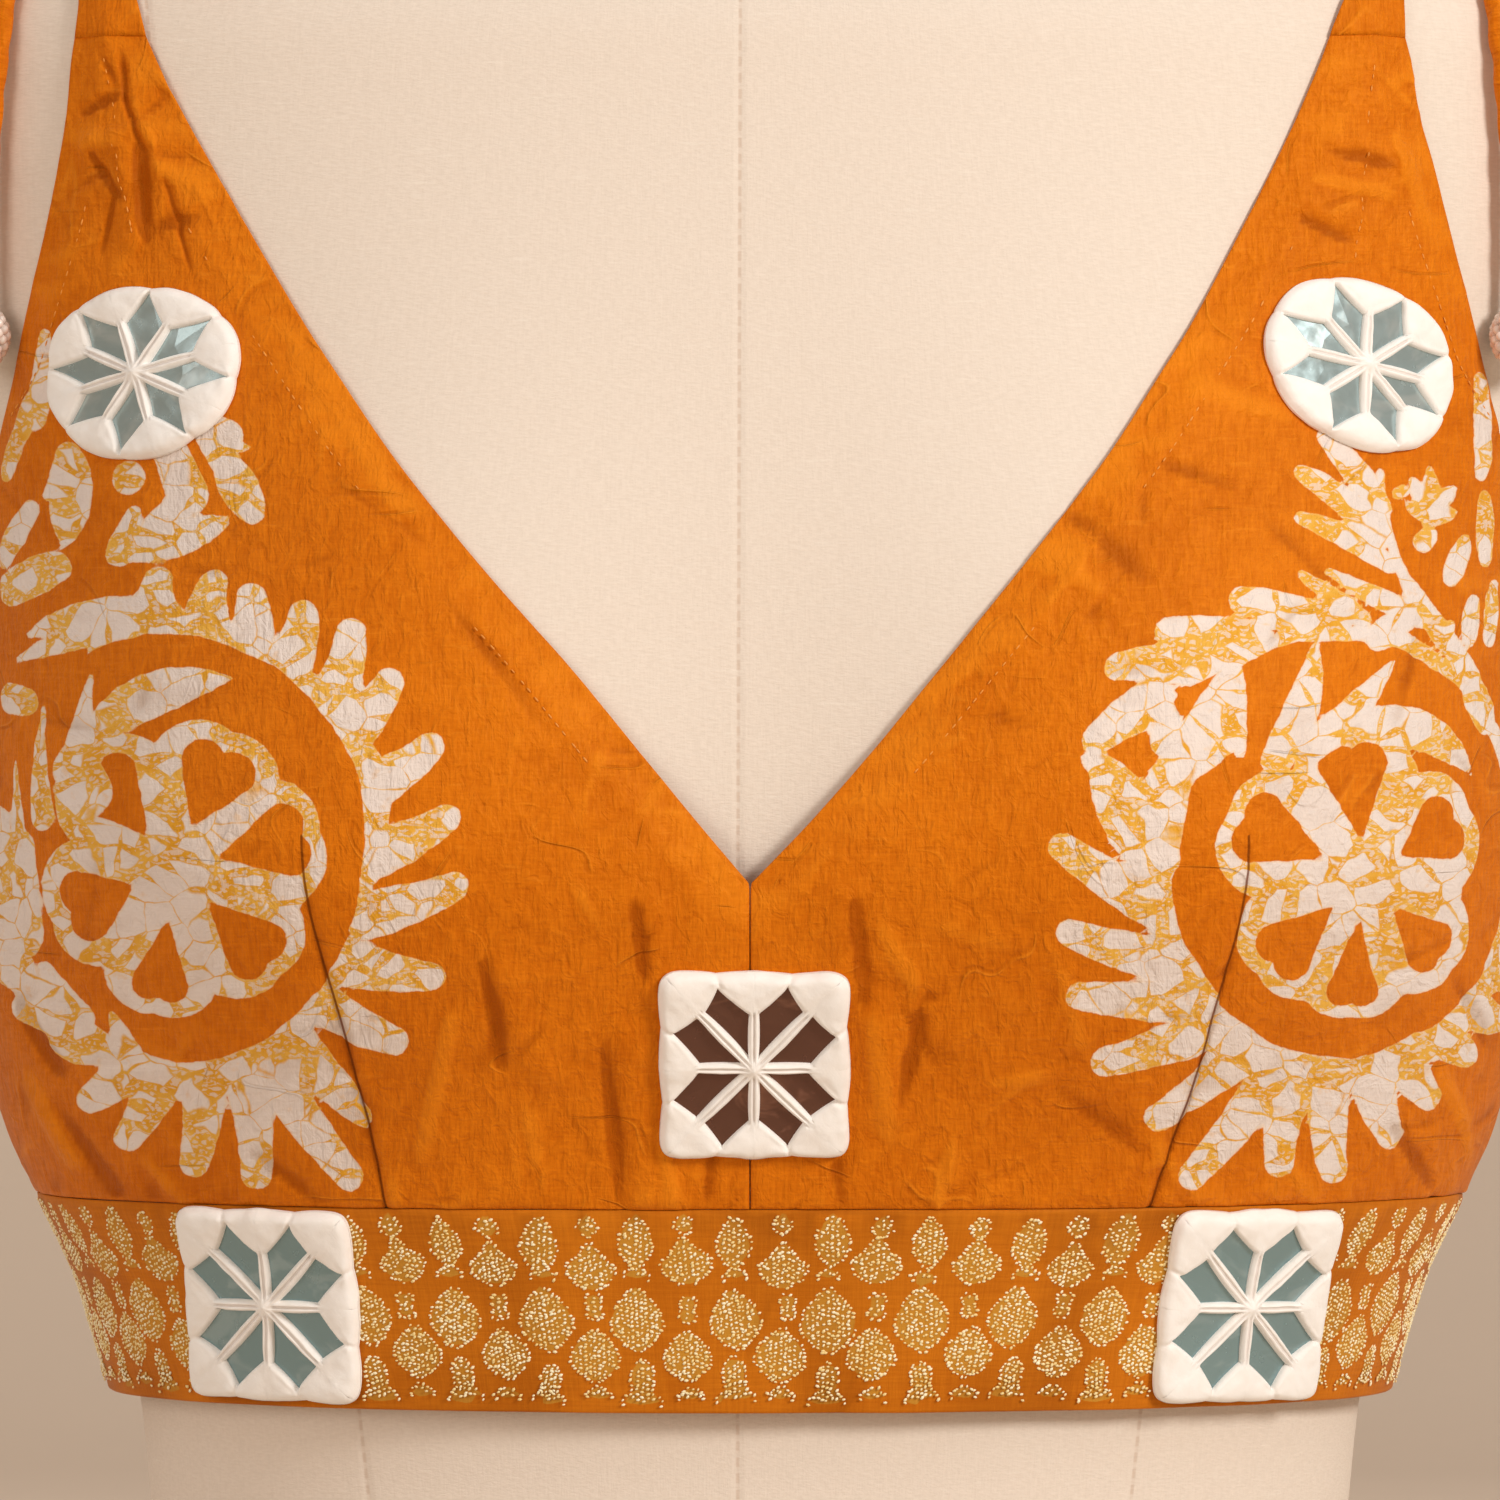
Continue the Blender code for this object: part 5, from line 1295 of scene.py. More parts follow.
@dataclass
class Bodice:
    """The printed fronts and the plain backs."""

    silk: bpy.types.Material
    printed: bpy.types.Material
    thread: bpy.types.Material
    gap: float = 0.3 * MM
    front_rows: int = 198
    inner_columns: int = 72
    outer_columns: int = 92
    back_rows: int = 132
    back_columns: int = 96
    stitch_pitch: float = 2.3 * MM

    def front_grid(self, side: Side) -> tuple:
        """Returns: the angles and heights of a front, and how far each column is from the dart's line."""
        neckline, armhole, dart = (edge_curve(rows) for rows in (FRONT_NECKLINE[side], FRONT_ARMHOLE[side],
                                                                 DARTS[side]))
        tip = DARTS[side][-1][0] * MM
        heights = spread(BAND_SEAM_Z + self.gap / 2, STRAP_SEAM_Z, self.front_rows, 0.55 * MM)
        rows = []
        for z in heights:
            turn = 1 / float(BODY.cloth_radius(np.array(0.7), np.array(z)))
            inner = max(float(neckline(z)) if z > V_POINT_Z else 0.0, self.gap / 2 * turn)
            outer = float(armhole(z)) if z > ARMHOLE_Z else SIDE_SEAM - self.gap / 2 * turn
            low = max(float(neckline(tip)), 0.0)
            share = (float(dart(min(z, tip))) - (inner if z < tip else low)) / (
                (outer if z < tip else SIDE_SEAM) - (inner if z < tip else low))
            line = inner + (outer - inner) * share
            close = min(0.6 * MM * turn, (outer - inner) / 30)
            edge = min(0.55 * MM * turn, (outer - inner) / 30)
            left = np.concatenate([[inner, inner + 0.35 * edge, inner + edge],
                                   np.linspace(inner + 2.2 * edge, line - 2 * close, self.inner_columns),
                                   [line - close]])
            right = np.concatenate([[line + close], np.linspace(line + 2 * close, outer - 2.2 * edge,
                                                                self.outer_columns),
                                    [outer - edge, outer - 0.35 * edge, outer]])
            rows.append(np.concatenate([left, [line], right]))
        theta = np.array(rows)
        z = np.repeat(heights[:, None], theta.shape[1], axis=1)
        return theta, z, self.inner_columns + 4

    def front(self, side: Side) -> None:
        """Builds one front."""
        theta, z, dart_column = self.front_grid(side)
        mirrored = side is Side.RIGHT
        if mirrored:
            theta, z = -theta[:, ::-1], z[:, ::-1]
            dart_column = theta.shape[1] - 1 - dart_column
        name = f"front_{side.label}_silk"
        grid = SheetGrid(name, theta, z)
        across, up = grid.plan(mirrored)
        tip = DARTS[side][-1][0]
        take = 3.2 * np.clip((tip - up) / 76.0, 0, 1)
        past = np.abs(across) - np.abs(across[:, dart_column:dart_column + 1])
        taken = across + math.copysign(1.0, across.mean()) * np.where(past > 0.2, take, 0.0)
        rosette = RIGHT_ROSETTE if side is Side.LEFT else LEFT_ROSETTE
        depth = rosette.depth(taken, up)
        seam_line = grid.base[:, dart_column]
        on_dart = seam_line[grid.z[:, dart_column] < tip * MM]
        dart_away = away_from(grid.base, on_dart) / MM
        grid.line = np.minimum(dart_away, 9.0)
        lower = fade(tip + 2.0, tip - 40.0, up)
        grid.relief += 1.35 * crease_height(across, up, FRONT_CREASES[side])
        grid.relief += 1.5 * small_creases(across, up, 11 + side.value, 260)
        grid.relief += 0.14 * soft_noise(across / 13.0, up / 17.0, 3 + side.value)
        grid.relief += 0.10 * soft_noise(across / 5.0, up / 4.0, 23 + side.value)
        grid.relief -= 0.55 * bell(dart_away, 0.75) * (0.35 + 0.65 * lower)
        grid.relief += 0.22 * bell(past + 1.6, 1.2) * lower
        grid.relief += rippled(dart_away, up, 51 + side.value, 5.0) * lower * 0.8
        bottom = grid.edge_line(slice(0, 1), slice(None))
        below = (grid.z - BAND_SEAM_Z) / MM
        grid.relief += rippled(below, across, 61 + side.value, 9.0) * 1.3
        centre = 0 if not mirrored else -1
        inner_edge = grid.base[:, centre]
        outer_edge = grid.base[:, -1 if not mirrored else 0]
        above_v = inner_edge[:, 2] >= (V_POINT_Z - 0.5 * MM)
        above_arm = outer_edge[:, 2] >= (ARMHOLE_Z - 0.5 * MM)
        neck, arm = inner_edge[above_v], outer_edge[above_arm]
        from_neck = away_from(grid.base, neck) / MM
        from_arm = away_from(grid.base, arm) / MM
        grid.relief += 0.16 * (1 - fade(8.6, 10.4, np.minimum(from_neck, from_arm)))
        grid.relief += rippled(from_neck, up, 71 + side.value, 8.0)
        grid.relief += rippled(from_arm, up, 81 + side.value, 8.0)
        piece, area = grid.build([neck, arm], [bottom, inner_edge[~above_v], outer_edge[~above_arm]],
                                 self.printed)
        set_values(piece, "print", np.tile(depth.ravel(), 2))
        set_map(piece, np.tile(taken.ravel() * MM, 2), np.tile(up.ravel() * MM, 2))
        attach(piece, ROOT)
        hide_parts(f"front_{side.label}")
        LOG.info("%s: %.4f square metres", name, area)

    def back(self, side: Side) -> None:
        """Builds one back, to the opening at the centre back."""
        neckline, armhole = edge_curve(BACK_NECKLINE), edge_curve(BACK_ARMHOLE)
        heights = spread(BAND_SEAM_Z + self.gap / 2, STRAP_SEAM_Z, self.back_rows, 0.55 * MM)
        rows = []
        for z in heights:
            turn = 1 / float(BODY.cloth_radius(np.array(CENTRE_BACK), np.array(z)))
            near = max(float(neckline(z)) if z > BACK_POINT_Z else 0.0, self.gap / 2 * turn)
            far = float(armhole(z)) if z > ARMHOLE_Z else CENTRE_BACK - SIDE_SEAM - self.gap / 2 * turn
            edge = min(0.55 * MM * turn, (far - near) / 30)
            rows.append(side.value * (CENTRE_BACK - spread(far, near, self.back_columns, -edge)))
        theta = np.array(rows)
        mirrored = side is Side.RIGHT
        if mirrored:
            theta = theta[:, ::-1]
        grid = SheetGrid(f"back_{side.label}_silk", theta, np.repeat(heights[:, None], theta.shape[1], axis=1))
        run = np.linalg.norm(np.diff(grid.base, axis=1), axis=-1) / MM
        across = np.concatenate([np.zeros((len(heights), 1)), np.cumsum(run, axis=1)], axis=1)
        across = across - (across[:, -1:] if side is Side.LEFT else 0)
        up = grid.z / MM
        grid.relief += small_creases(across, up, 111 + side.value, 130)
        grid.relief += 0.30 * soft_noise(across / 15.0, up / 20.0, 31 + side.value)
        grid.relief += 0.10 * soft_noise(across / 5.0, up / 4.0, 33 + side.value)
        grid.relief += crease_height(np.abs(across), up, (
            (6, 372, 34, 366, 2.4, -0.6), (5, 350, 40, 352, 2.8, 0.5), (8, 332, 30, 326, 2.2, -0.5),
            (60, 390, 96, 352, 3.0, 0.5), (70, 360, 104, 330, 2.6, -0.5), (112, 345, 132, 322, 2.4, 0.6),
            (118, 330, 138, 312, 2.0, -0.6), (100, 420, 120, 396, 2.6, 0.5)))
        below = (grid.z - BAND_SEAM_Z) / MM
        grid.relief += rippled(below, across, 91 + side.value, 9.0) * 1.3
        near_column, far_column = (-1, 0) if side is Side.LEFT else (0, -1)
        inner_edge, outer_edge = grid.base[:, near_column], grid.base[:, far_column]
        above_v = inner_edge[:, 2] >= (BACK_POINT_Z - 0.5 * MM)
        above_arm = outer_edge[:, 2] >= (ARMHOLE_Z - 0.5 * MM)
        neck, arm = inner_edge[above_v], outer_edge[above_arm]
        from_neck, from_arm = away_from(grid.base, neck) / MM, away_from(grid.base, arm) / MM
        grid.relief += 0.16 * (1 - fade(8.6, 10.4, np.minimum(from_neck, from_arm)))
        grid.relief += rippled(from_neck, up, 73 + side.value, 8.0)
        grid.relief += rippled(from_arm, up, 83 + side.value, 8.0)
        opening = away_from(grid.base, inner_edge[~above_v]) / MM
        grid.relief += 0.20 * (1 - fade(12.5, 14.0, opening)) * (up < BACK_POINT_Z / MM)
        piece, area = grid.build([neck, arm], [grid.edge_line(slice(0, 1), slice(None)), inner_edge[~above_v],
                                               outer_edge[~above_arm]], self.silk)
        set_map(piece, np.tile(across.ravel() * MM, 2), np.tile(up.ravel() * MM, 2))
        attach(piece, ROOT)
        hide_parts(f"back_{side.label}")
        LOG.info("%s: %.4f square metres", piece.name, area)

    def stitch_lines(self, side: Side) -> list:
        """Returns: the lines of topstitching on one front and one back, as angles and heights."""
        sign = side.value
        neck, arm = edge_curve(FRONT_NECKLINE[side]), edge_curve(FRONT_ARMHOLE[side])
        back_neck, back_arm = edge_curve(BACK_NECKLINE), edge_curve(BACK_ARMHOLE)
        lines = []
        for low, high, edge, way in ((392, 519, neck, 1.0), (462, 519, arm, -1.0)):
            z = np.linspace(low, high, 120) * MM
            theta = edge(z)
            inset = 10.3 * MM if way > 0 else 8.0 * MM * fade(455, 480, z / MM) + 1.5 * MM
            lines.append((sign * (theta + way * BODY.angle_for(theta, z, inset * 1.18)), z))
        z = np.linspace(497, 539, 60) * MM
        lines.append((sign * (neck(z) * 0.5 + arm(z) * 0.5 + 0.006), z))
        for low, high, edge, way in ((410, 541, back_neck, 1.0), (462, 541, back_arm, -1.0)):
            z = np.linspace(low, high, 120) * MM
            theta = edge(z)
            shifted = theta + way * BODY.angle_for(CENTRE_BACK - theta, z, 10.0 * MM)
            lines.append((sign * (CENTRE_BACK - shifted), z))
        z = np.linspace(310, 384, 60) * MM
        lines.append((sign * (CENTRE_BACK - BODY.angle_for(0 * z + CENTRE_BACK, z, 12.8 * MM)), z))
        return lines

    def stitches(self, side: Side) -> None:
        """Sets the topstitching of one side."""
        points, facing, along = [], [], []
        draw = np.random.default_rng(17 + side.value)
        for theta, z in self.stitch_lines(side):
            line = BODY.cloth_point(theta, z, 0 * z + 1.5 * MM)
            over = BODY.cloth_point(theta, z, 0 * z + 2.5 * MM)
            length = np.concatenate([[0], np.cumsum(np.linalg.norm(np.diff(line, axis=0), axis=1))])
            at = np.arange(self.stitch_pitch, length[-1], self.stitch_pitch)
            at = at[soft_noise(at / (16 * MM), 0 * at + float(z[0]) * 50, 7) + draw.normal(0, 0.15, len(at)) > -0.15]
            at = at + draw.normal(0, 0.25 * MM, len(at))
            spots = np.stack([np.interp(at, length, line[:, k]) for k in range(3)], axis=1)
            above = np.stack([np.interp(at, length, over[:, k]) for k in range(3)], axis=1)
            points.append(spots)
            facing.append(above - spots)
            along.append(np.gradient(spots, axis=0))
        parts = SmallParts(1.35 * MM, 0.34 * MM, 0.34 * MM, 6, 4, 0.25, 5)
        piece = parts.build(f"topstitching_{side.label}", np.concatenate(points), np.concatenate(facing),
                            np.concatenate(along), self.thread)
        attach(piece, ROOT)
        LOG.info("%s", piece.name)

    def build(self) -> None:
        """Builds both fronts and both backs."""
        for side in Side:
            self.front(side)
            self.back(side)
            self.stitches(side)


@dataclass(frozen=True)
class Motif:
    """One woven figure: half of its outline as shares of its height and half width."""

    across: float  # share of the pitch
    middle: float  # mm above the hem
    width: float
    height: float
    outline: tuple

    def half_width(self, share: np.ndarray) -> np.ndarray:
        """Returns: half of its width in mm at a share of its height."""
        at, wide = zip(*self.outline)
        inside = np.interp(share, at, wide)
        return np.where((share < 0) | (share > 1), -0.6, inside) * self.width / 2


DROP = ((0, 0.1), (0.15, 0.7), (0.4, 1.0), (0.65, 0.75), (0.85, 0.3), (1, 0.05))
LEAF = ((0, 0.12), (0.12, 0.55), (0.3, 0.93), (0.45, 1.0), (0.62, 0.88), (0.8, 0.55), (0.92, 0.25), (1, 0.04))
FAN = ((0, 0.2), (0.1, 0.62), (0.25, 0.88), (0.42, 1.0), (0.5, 0.96), (0.62, 0.62), (0.78, 0.36), (0.9, 0.2), (1, 0.05))
SMALL = ((0, 0.35), (0.1, 0.9), (0.3, 1.0), (0.48, 0.55), (0.6, 0.9), (0.85, 0.95), (1, 0.5))
BELL = ((0, 1.0), (0.14, 0.92), (0.3, 0.5), (0.5, 0.56), (0.72, 0.6), (0.9, 0.42), (1, 0.1))
FOOT = ((0, 0.9), (0.35, 1.0), (0.7, 0.5), (1, 0.15))

MOTIFS = (
    Motif(0.0, 38.9, 4.6, 5.4, DROP), Motif(0.0, 31.0, 11.0, 10.6, FAN), Motif(0.0, 21.8, 3.8, 5.8, SMALL),
    Motif(0.0, 12.4, 11.6, 12.4, LEAF), Motif(0.0, 4.2, 6.4, 3.0, FOOT), Motif(0.5, 35.4, 7.4, 12.2, LEAF),
    Motif(0.5, 28.9, 5.6, 2.6, FOOT), Motif(0.5, 19.6, 12.2, 15.0, LEAF), Motif(0.5, 6.6, 8.4, 9.6, BELL),
)


@dataclass
class HemBand:
    """The woven band: its cloth, with the figures' dots set on it."""

    finish: bpy.types.Material
    gold: bpy.types.Material
    pitch: float = 19.1
    phase: float = -69.9
    dot_pitch: float = 1.10
    rows: int = 34
    gap: float = 0.15 * MM

    def figures(self, reach: tuple, seed: int) -> list:
        """Returns: each figure with its place in mm along and above the hem, its turn and its size."""
        draw = np.random.default_rng(seed)
        found = []
        first = math.floor((reach[0] - self.phase) / self.pitch) - 1
        last = math.ceil((reach[1] - self.phase) / self.pitch) + 1
        for step in range(first, last + 1):
            for motif in MOTIFS:
                u = self.phase + (step + motif.across) * self.pitch + draw.normal(0, 0.28)
                v = motif.middle + draw.normal(0, 0.30)
                found.append((motif, u, v, draw.normal(0, 0.07), 0.90 + draw.normal(0, 0.04)))
        return found

    def depth(self, u: np.ndarray, v: np.ndarray, figures: list) -> np.ndarray:
        """Returns: millimetres inside the nearest figure."""
        best = np.full(u.shape, -3.0)
        for motif, cu, cv, turn, size in figures:
            a = ((u - cu) * math.cos(turn) + (v - cv) * math.sin(turn)) / size
            b = (-(u - cu) * math.sin(turn) + (v - cv) * math.cos(turn)) / size
            inside = motif.half_width(b / motif.height + 0.5) - np.abs(a)
            best = np.maximum(best, np.where(np.abs(a) < motif.width, inside, -3.0))
        return best

    def dots(self, figures: list, reach: tuple, seed: int) -> np.ndarray:
        """Returns: places of the dots along and above the hem: round each outline and in rows inside it."""
        draw = np.random.default_rng(seed)
        spots = []
        for motif, cu, cv, turn, size in figures:
            local = []
            share = np.linspace(0, 1, 60)
            half = motif.half_width(share)
            for sign in (-1, 1):
                line = np.stack([sign * half, (share - 0.5) * motif.height], axis=1)
                length = np.concatenate([[0], np.cumsum(np.hypot(*np.diff(line, axis=0).T))])
                at = np.arange(0.0, length[-1], self.dot_pitch * 0.93)
                local.append(np.stack([np.interp(at, length, line[:, k]) for k in range(2)], axis=1))
            lattice = np.arange(-12, 13) * self.dot_pitch
            a, b = np.meshgrid(lattice, lattice * 0.9)
            b = b + draw.choice((0.62, -0.55, 0.35)) * a
            inside = motif.half_width(b / motif.height + 0.5) - np.abs(a) > 0.85
            keep = inside & (np.abs(b) < motif.height / 2 - 0.8)
            local.append(np.stack([a[keep], b[keep]], axis=1))
            place = np.concatenate(local) * size
            place = place + draw.normal(0, 0.14, place.shape)
            spots.append(np.stack([cu + place[:, 0] * math.cos(turn) - place[:, 1] * math.sin(turn),
                                   cv + place[:, 0] * math.sin(turn) + place[:, 1] * math.cos(turn)], axis=1))
        spots = np.concatenate(spots)
        height = (BAND_SEAM_Z - HEM_Z) / MM
        keep = ((spots[:, 0] > reach[0] + 0.8) & (spots[:, 0] < reach[1] - 0.8) & (spots[:, 1] > 1.0)
                & (spots[:, 1] < height - 1.2) & (draw.random(len(spots)) > 0.05))
        return spots[keep]

    def stretch(self, name: str, node: str, start: float, end: float, flat: tuple, seed: int) -> None:
        """Builds a stretch of the band between two angles.

        Args:
            name: the piece's name.
            node: the solid that it stands for.
            start, end: its angles.
            flat: its cut size; not used.
            seed: fixed seed of its figures' small shifts.
        """
        columns = round(abs(end - start) * 118)
        heights = spread(HEM_Z, BAND_SEAM_Z, self.rows, 0.6 * MM)
        angles = spread(start, end, columns, 0.0045)
        theta, z = np.meshgrid(angles, heights)
        grid = SheetGrid(name, theta, z)
        row = grid.base[len(heights) // 2]
        length = np.concatenate([[0], np.cumsum(np.linalg.norm(np.diff(row, axis=0), axis=1))]) / MM
        zero = np.interp(0.0, angles, length) if start < 0 < end else length[0] if start > 0 else length[-1]
        along = length - zero
        reach = (along[0], along[-1])
        u, v = np.tile(along, (len(heights), 1)), (z - HEM_Z) / MM
        figures = self.figures(reach, seed)
        grid.relief += small_creases(u, v, seed + 1, 70) * 0.7
        grid.relief += 0.28 * soft_noise(u / 16.0, v / 26.0, seed + 2)
        below = (BAND_SEAM_Z - z) / MM
        grid.relief += rippled(below, u, seed + 3, 6.0)
        top, hem = (grid.edge_line(part, slice(None)) for part in (slice(-1, None), slice(0, 1)))
        ends = [grid.base[:, 0], grid.base[:, -1]]
        piece, area = grid.build([hem], [top, *ends], self.finish, fall=0.5 * MM)
        set_values(piece, "print", np.tile(self.depth(u, v, figures).ravel(), 2))
        set_map(piece, np.tile(u.ravel() * MM, 2), np.tile(z.ravel(), 2))
        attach(piece, ROOT)
        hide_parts(node)
        spots = self.dots(figures, reach, seed + 4)
        angle = np.interp(spots[:, 0], along, angles)
        height = HEM_Z + spots[:, 1] * MM
        relief = self.surface_relief(grid, angles, heights, angle, height)
        low = BODY.cloth_point(angle, height, grid.top + relief + 0.02 * MM)
        high = BODY.cloth_point(angle, height, grid.top + relief + 1.0 * MM)
        facing = high - low
        lean = np.random.default_rng(seed + 5).uniform(-0.5, 1.2, len(spots))
        across = BODY.cloth_point(angle + 0.01, height, grid.top + 0 * relief) - BODY.cloth_point(
            angle - 0.01, height, grid.top + 0 * relief)
        across /= np.linalg.norm(across, axis=1, keepdims=True)
        upward = np.cross(facing, across)
        upward /= np.linalg.norm(upward, axis=1, keepdims=True)
        direction = across * np.cos(lean)[:, None] + upward * np.sin(lean)[:, None]
        parts = SmallParts(0.98 * MM, 0.60 * MM, 0.44 * MM, 5, 3, 0.28, seed)
        dots = parts.build(name + "_dots", low, facing, direction, self.gold)
        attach(dots, ROOT)
        LOG.info("%s: %.4f square metres, %d dots", name, area, len(spots))

    @staticmethod
    def surface_relief(grid: SheetGrid, angles: np.ndarray, heights: np.ndarray, angle: np.ndarray,
                       height: np.ndarray) -> np.ndarray:
        """Returns: the relief of the band's cloth at each place, in metres."""
        i = np.clip(np.searchsorted(angles, angle) - 1, 0, len(angles) - 2)
        j = np.clip(np.searchsorted(heights, height) - 1, 0, len(heights) - 2)
        s = (angle - angles[i]) / (angles[i + 1] - angles[i])
        t = (height - heights[j]) / (heights[j + 1] - heights[j])
        r = grid.relief
        return MM * ((r[j, i] * (1 - s) + r[j, i + 1] * s) * (1 - t) + (r[j + 1, i] * (1 - s) + r[j + 1, i + 1] * s) * t)

    def build(self) -> None:
        """Builds the front of the band and both of its backs."""
        clear = 0.0015
        self.stretch("band_front_cloth", "band_front", clear - SIDE_SEAM, SIDE_SEAM - clear, (0.386, 0.045), 201)
        for side in Side:
            ends = sorted((side.value * (SIDE_SEAM + clear), side.value * (CENTRE_BACK - clear)))
            self.stretch(f"band_back_{side.label}_cloth", f"band_back_{side.label}", *ends, (0.19, 0.045),
                         301 + side.value)


@dataclass
class FormCover:
    """The linen-covered form, with its seams and the cap of its neck."""

    finish: bpy.types.Material
    rows: int = 176
    columns: int = 240
    # Seams from above: height in mm, mm across from the middle
    front_seam: tuple = ((0, -2.0), (300, -2.6), (690, -1.6))
    princess: tuple = ((0, 88), (205, 74), (262, 80), (300, 84), (385, 98), (470, 112), (545, 123), (590, 127),
                       (604, 240), (690, 240))

    def build(self) -> None:
        """Builds the cover."""
        heights = np.unique(np.concatenate([
            np.linspace(0, 540, 120), np.linspace(540, 690, self.rows - 120)])) * MM
        heights[0], heights[-1] = 0.6 * MM, NECK_TOP_Z - 0.8 * MM
        angles = np.linspace(-math.pi, math.pi, self.columns, endpoint=False)
        theta, z = np.meshgrid(angles, heights)
        radius = BODY.form_radius(theta, z) + 0.05 * MM
        grid = polar_point(radius, theta, z)
        count = len(heights)
        lowest = polar_point(radius[0] * 0.994, angles, 0 * angles)
        highest = polar_point(radius[-1] * 0.985, angles, 0 * angles + NECK_TOP_Z)
        inner_low = polar_point(radius[0] * 0.5, angles, 0 * angles)
        inner_high = polar_point(radius[-1] * 0.5, angles, 0 * angles + NECK_TOP_Z)
        points = np.concatenate([inner_low, lowest, grid.reshape(-1, 3), highest, inner_high,
                                 [(0, 0, 0), (0, 0, NECK_TOP_Z)]])
        n = self.columns
        faces = grid_faces(count + 4, n, 0, True)
        low, high, top = len(points) - 2, len(points) - 1, (count + 3) * n
        caps = [(low, (s + 1) % n, s) for s in range(n)] + [(high, top + s, top + (s + 1) % n) for s in range(n)]
        piece = build_object("form_cover", points, [faces, np.array(caps)])
        mesh = piece.data
        mesh.set_sharp_from_angle(angle=math.radians(50))
        mesh.materials.append(self.finish)
        x, y, up = points[:, 0] / MM, points[:, 1] / MM, points[:, 2] / MM
        top = 30.0 * (up > 688)
        set_values(piece, "seam_centre", x - np.interp(up, *zip(*self.front_seam)) + top)
        set_values(piece, "seam_bust", np.abs(x) - np.interp(up, *zip(*self.princess)) + top)
        set_values(piece, "seam_side", y - 4.0 + top)
        flat = np.arctan2(x, -y) * 0.16
        set_map(piece, flat, points[:, 2] + 0.0)
        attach(piece, ROOT)
        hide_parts(FORM)
        LOG.info("form cover")


# Shoulders

